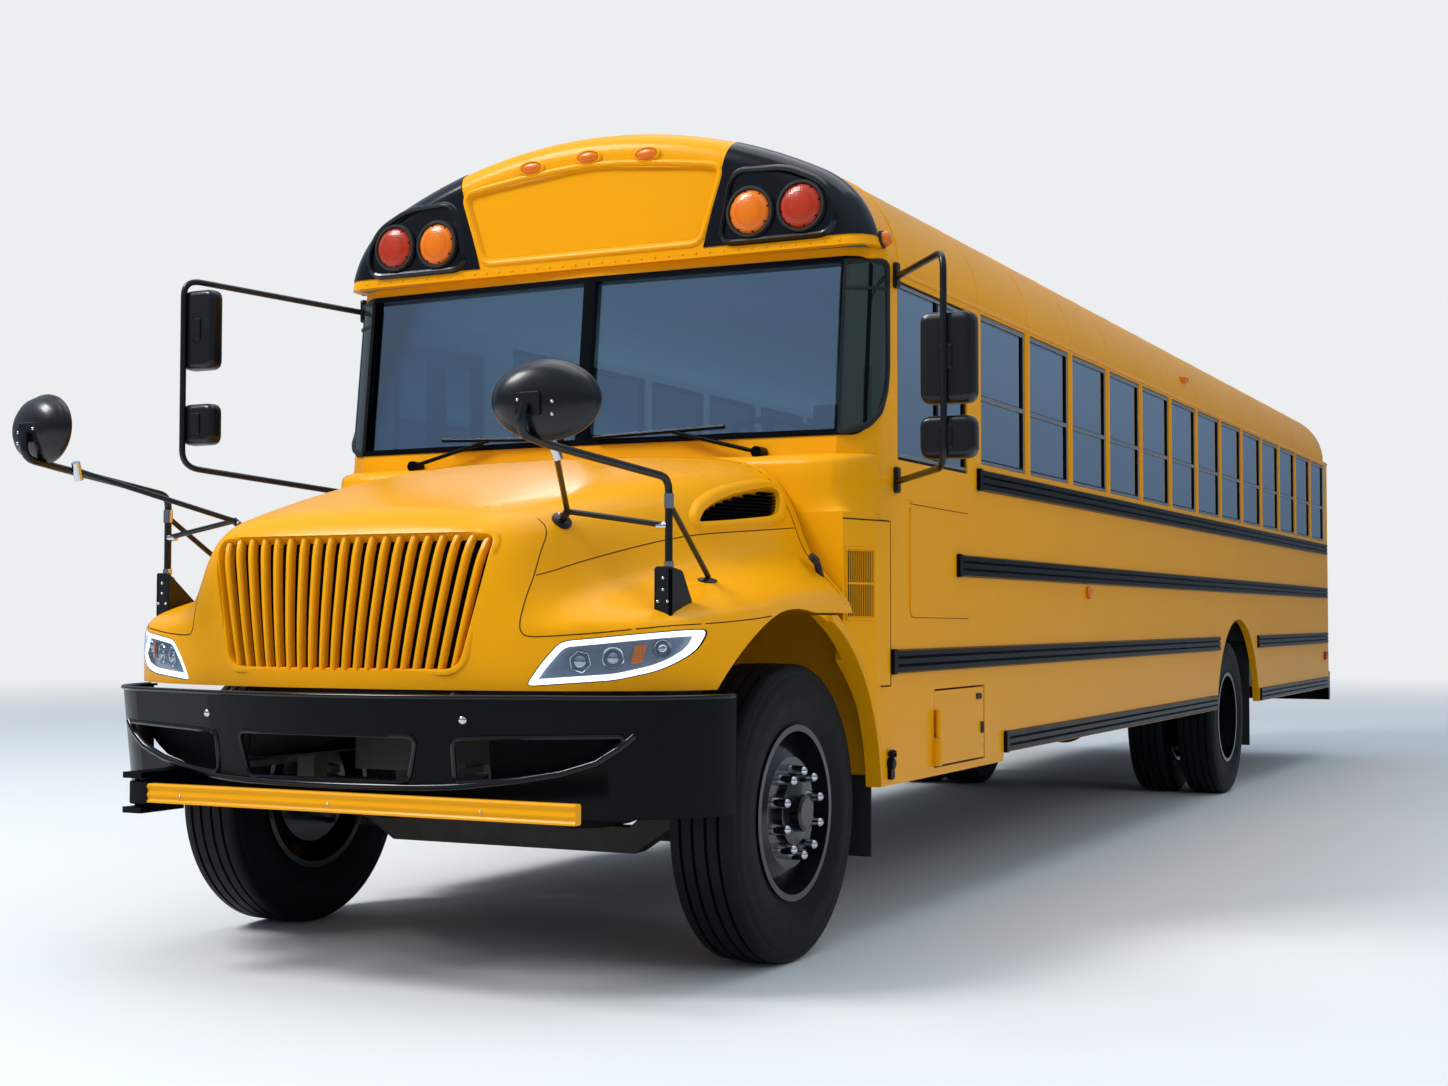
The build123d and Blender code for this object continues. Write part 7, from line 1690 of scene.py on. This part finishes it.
BENCH_Z, BENCH_WIDTH, DRIVER_WIDTH = 1.33, 0.975, 0.48
ROW_Y = [FRONT_AXLE_Y + FIRST_POST + 0.42 + WINDOW_PITCH * i for i in range(12)]
bench_object = linked("bench_shape", bench_mesh(BENCH_WIDTH))
rows = point_mesh("rows", [(x, y, BENCH_Z) for x in (0.165, -1.14) for y in ROW_Y])
tree, start, end = repeat_tree("bench_rows", {"Size": 1.0})
shape = add_node(tree, "GeometryNodeObjectInfo", {"transform_space": "ORIGINAL"}, {"Object": bench_object})
placed = add_node(tree, "GeometryNodeInstanceOnPoints", None,
                  {"Points": start.outputs[0], "Instance": shape.outputs["Geometry"],
                   "Scale": start.outputs["Size"]})
end_tree(tree, end, placed.outputs[0], seat_vinyl)
benches = run_tree("bench_pads", rows, tree, {}, seat_vinyl, "bus", "seat_vinyl", 50)
bpy.data.objects.remove(bench_object)
driver_mesh = bench_mesh(DRIVER_WIDTH)
driver_mesh.transform(Matrix.Translation((0.37, FRONT_AXLE_Y + 1.37, BENCH_Z + 0.06)))
driver_pad = fitted("driver_pad", driver_mesh, seat_vinyl, "bus", "seat_vinyl", 50)
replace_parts(benches, "seat_cushions")
print("benches", len(ROW_Y) * 2)

# %% [markdown]
# ## Floor and light
# A pale floor and a wide soft sky. The backdrop is the world's colour as the camera sees it, and the
# far floor fades into that colour. The lamps stay at a plain level.

# %% Floor
BACKDROP = linear("ECEEF0")
floor_mesh = bpy.data.meshes.new("studio_floor")
floor_mesh.from_pydata([(-60, -60, 0), (60, -60, 0), (60, 60, 0), (-60, 60, 0)], [], [(0, 1, 2, 3)])
floor_paint = make_finish("pale_studio_floor", "D9D9D6", "D4D4D1", 0.4, (0.7, 0.8), (3.0, 0.02, 0.001))
tree = floor_paint.node_tree
place = add_node(tree, "ShaderNodeTexCoord")
distance = add_node(tree, "ShaderNodeVectorMath", {"operation": "LENGTH"}, {0: place.outputs["Object"]})
fade = add_node(tree, "ShaderNodeMapRange", {"interpolation_type": "SMOOTHSTEP"},
                {"Value": distance.outputs["Value"], "From Min": 8.0, "From Max": 30.0})
ray = add_node(tree, "ShaderNodeLightPath")
seen = add_node(tree, "ShaderNodeMath", {"operation": "MAXIMUM"},
                {0: ray.outputs["Is Camera Ray"], 1: ray.outputs["Is Transmission Ray"]})
share = add_node(tree, "ShaderNodeMath", {"operation": "MULTIPLY"},
                 {0: fade.outputs["Result"], 1: seen.outputs[0]})
backdrop = add_node(tree, "ShaderNodeEmission", None, {"Color": BACKDROP, "Strength": 1.0})
painted_floor = next(node for node in tree.nodes if node.bl_idname == "ShaderNodeBsdfPrincipled")
blended = add_node(tree, "ShaderNodeMixShader", None,
                   {0: share.outputs[0], 1: painted_floor.outputs[0], 2: backdrop.outputs[0]})
floor_out = next(node for node in tree.nodes if node.bl_idname == "ShaderNodeOutputMaterial")
tree.links.new(blended.outputs[0], floor_out.inputs["Surface"])
studio_floor = mesh_object("studio_floor", floor_mesh, floor_paint)
print("floor laid")

# %% World and lamps
world = bpy.data.worlds.new("studio")
bpy.context.scene.world = world
world.use_nodes = True
sky = world.node_tree
sky.nodes.clear()
path = add_node(sky, "ShaderNodeLightPath")
seen = add_node(sky, "ShaderNodeMath", {"operation": "MAXIMUM"},
                {0: path.outputs["Is Camera Ray"], 1: path.outputs["Is Transmission Ray"]})
way_up = add_node(sky, "ShaderNodeTexCoord")
height = add_node(sky, "ShaderNodeSeparateXYZ", None, {"Vector": way_up.outputs["Generated"]})
brightness = add_node(sky, "ShaderNodeMapRange", None,
                      {"Value": height.outputs["Z"], "From Min": 0.05, "From Max": 0.65, "To Min": 0.26,
                       "To Max": 0.86})
soft = add_node(sky, "ShaderNodeBackground", None,
                {"Color": linear("C4D8F0"), "Strength": brightness.outputs["Result"]})
white = add_node(sky, "ShaderNodeBackground", None, {"Color": BACKDROP, "Strength": 1.0})
mixed = add_node(sky, "ShaderNodeMixShader", None,
                 {0: seen.outputs[0], 1: soft.outputs[0], 2: white.outputs[0]})
add_node(sky, "ShaderNodeOutputWorld", None, {"Surface": mixed.outputs[0]})


def area_lamp(name, place, target, size, power):
    """Square soft lamp aimed at a point."""
    data = bpy.data.lights.new(name, "AREA")
    data.size = size
    data.energy = power
    lamp = linked(name, data)
    lamp.location = place
    lamp.rotation_euler = (Vector(target) - Vector(place)).to_track_quat("-Z", "Y").to_euler()
    return lamp


area_lamp("key", (-9, -13, 15), (0, -2, 1.2), 6, 3150)
fill = area_lamp("fill", (14, -9, 7), (0, 0, 1.4), 9, 520)
fill.visible_glossy = False
area_lamp("top", (0, 0, 16), (0, 0, 0), 14, 950)
cabin = area_lamp("cabin", (0, 0.8, 2.98), (0, 0.8, 0), 1.3, 130)
cabin.data.shape = "RECTANGLE"
cabin.data.size_y = 8.5
cabin.visible_camera = cabin.visible_glossy = False
print("lamps", len(bpy.data.lights))
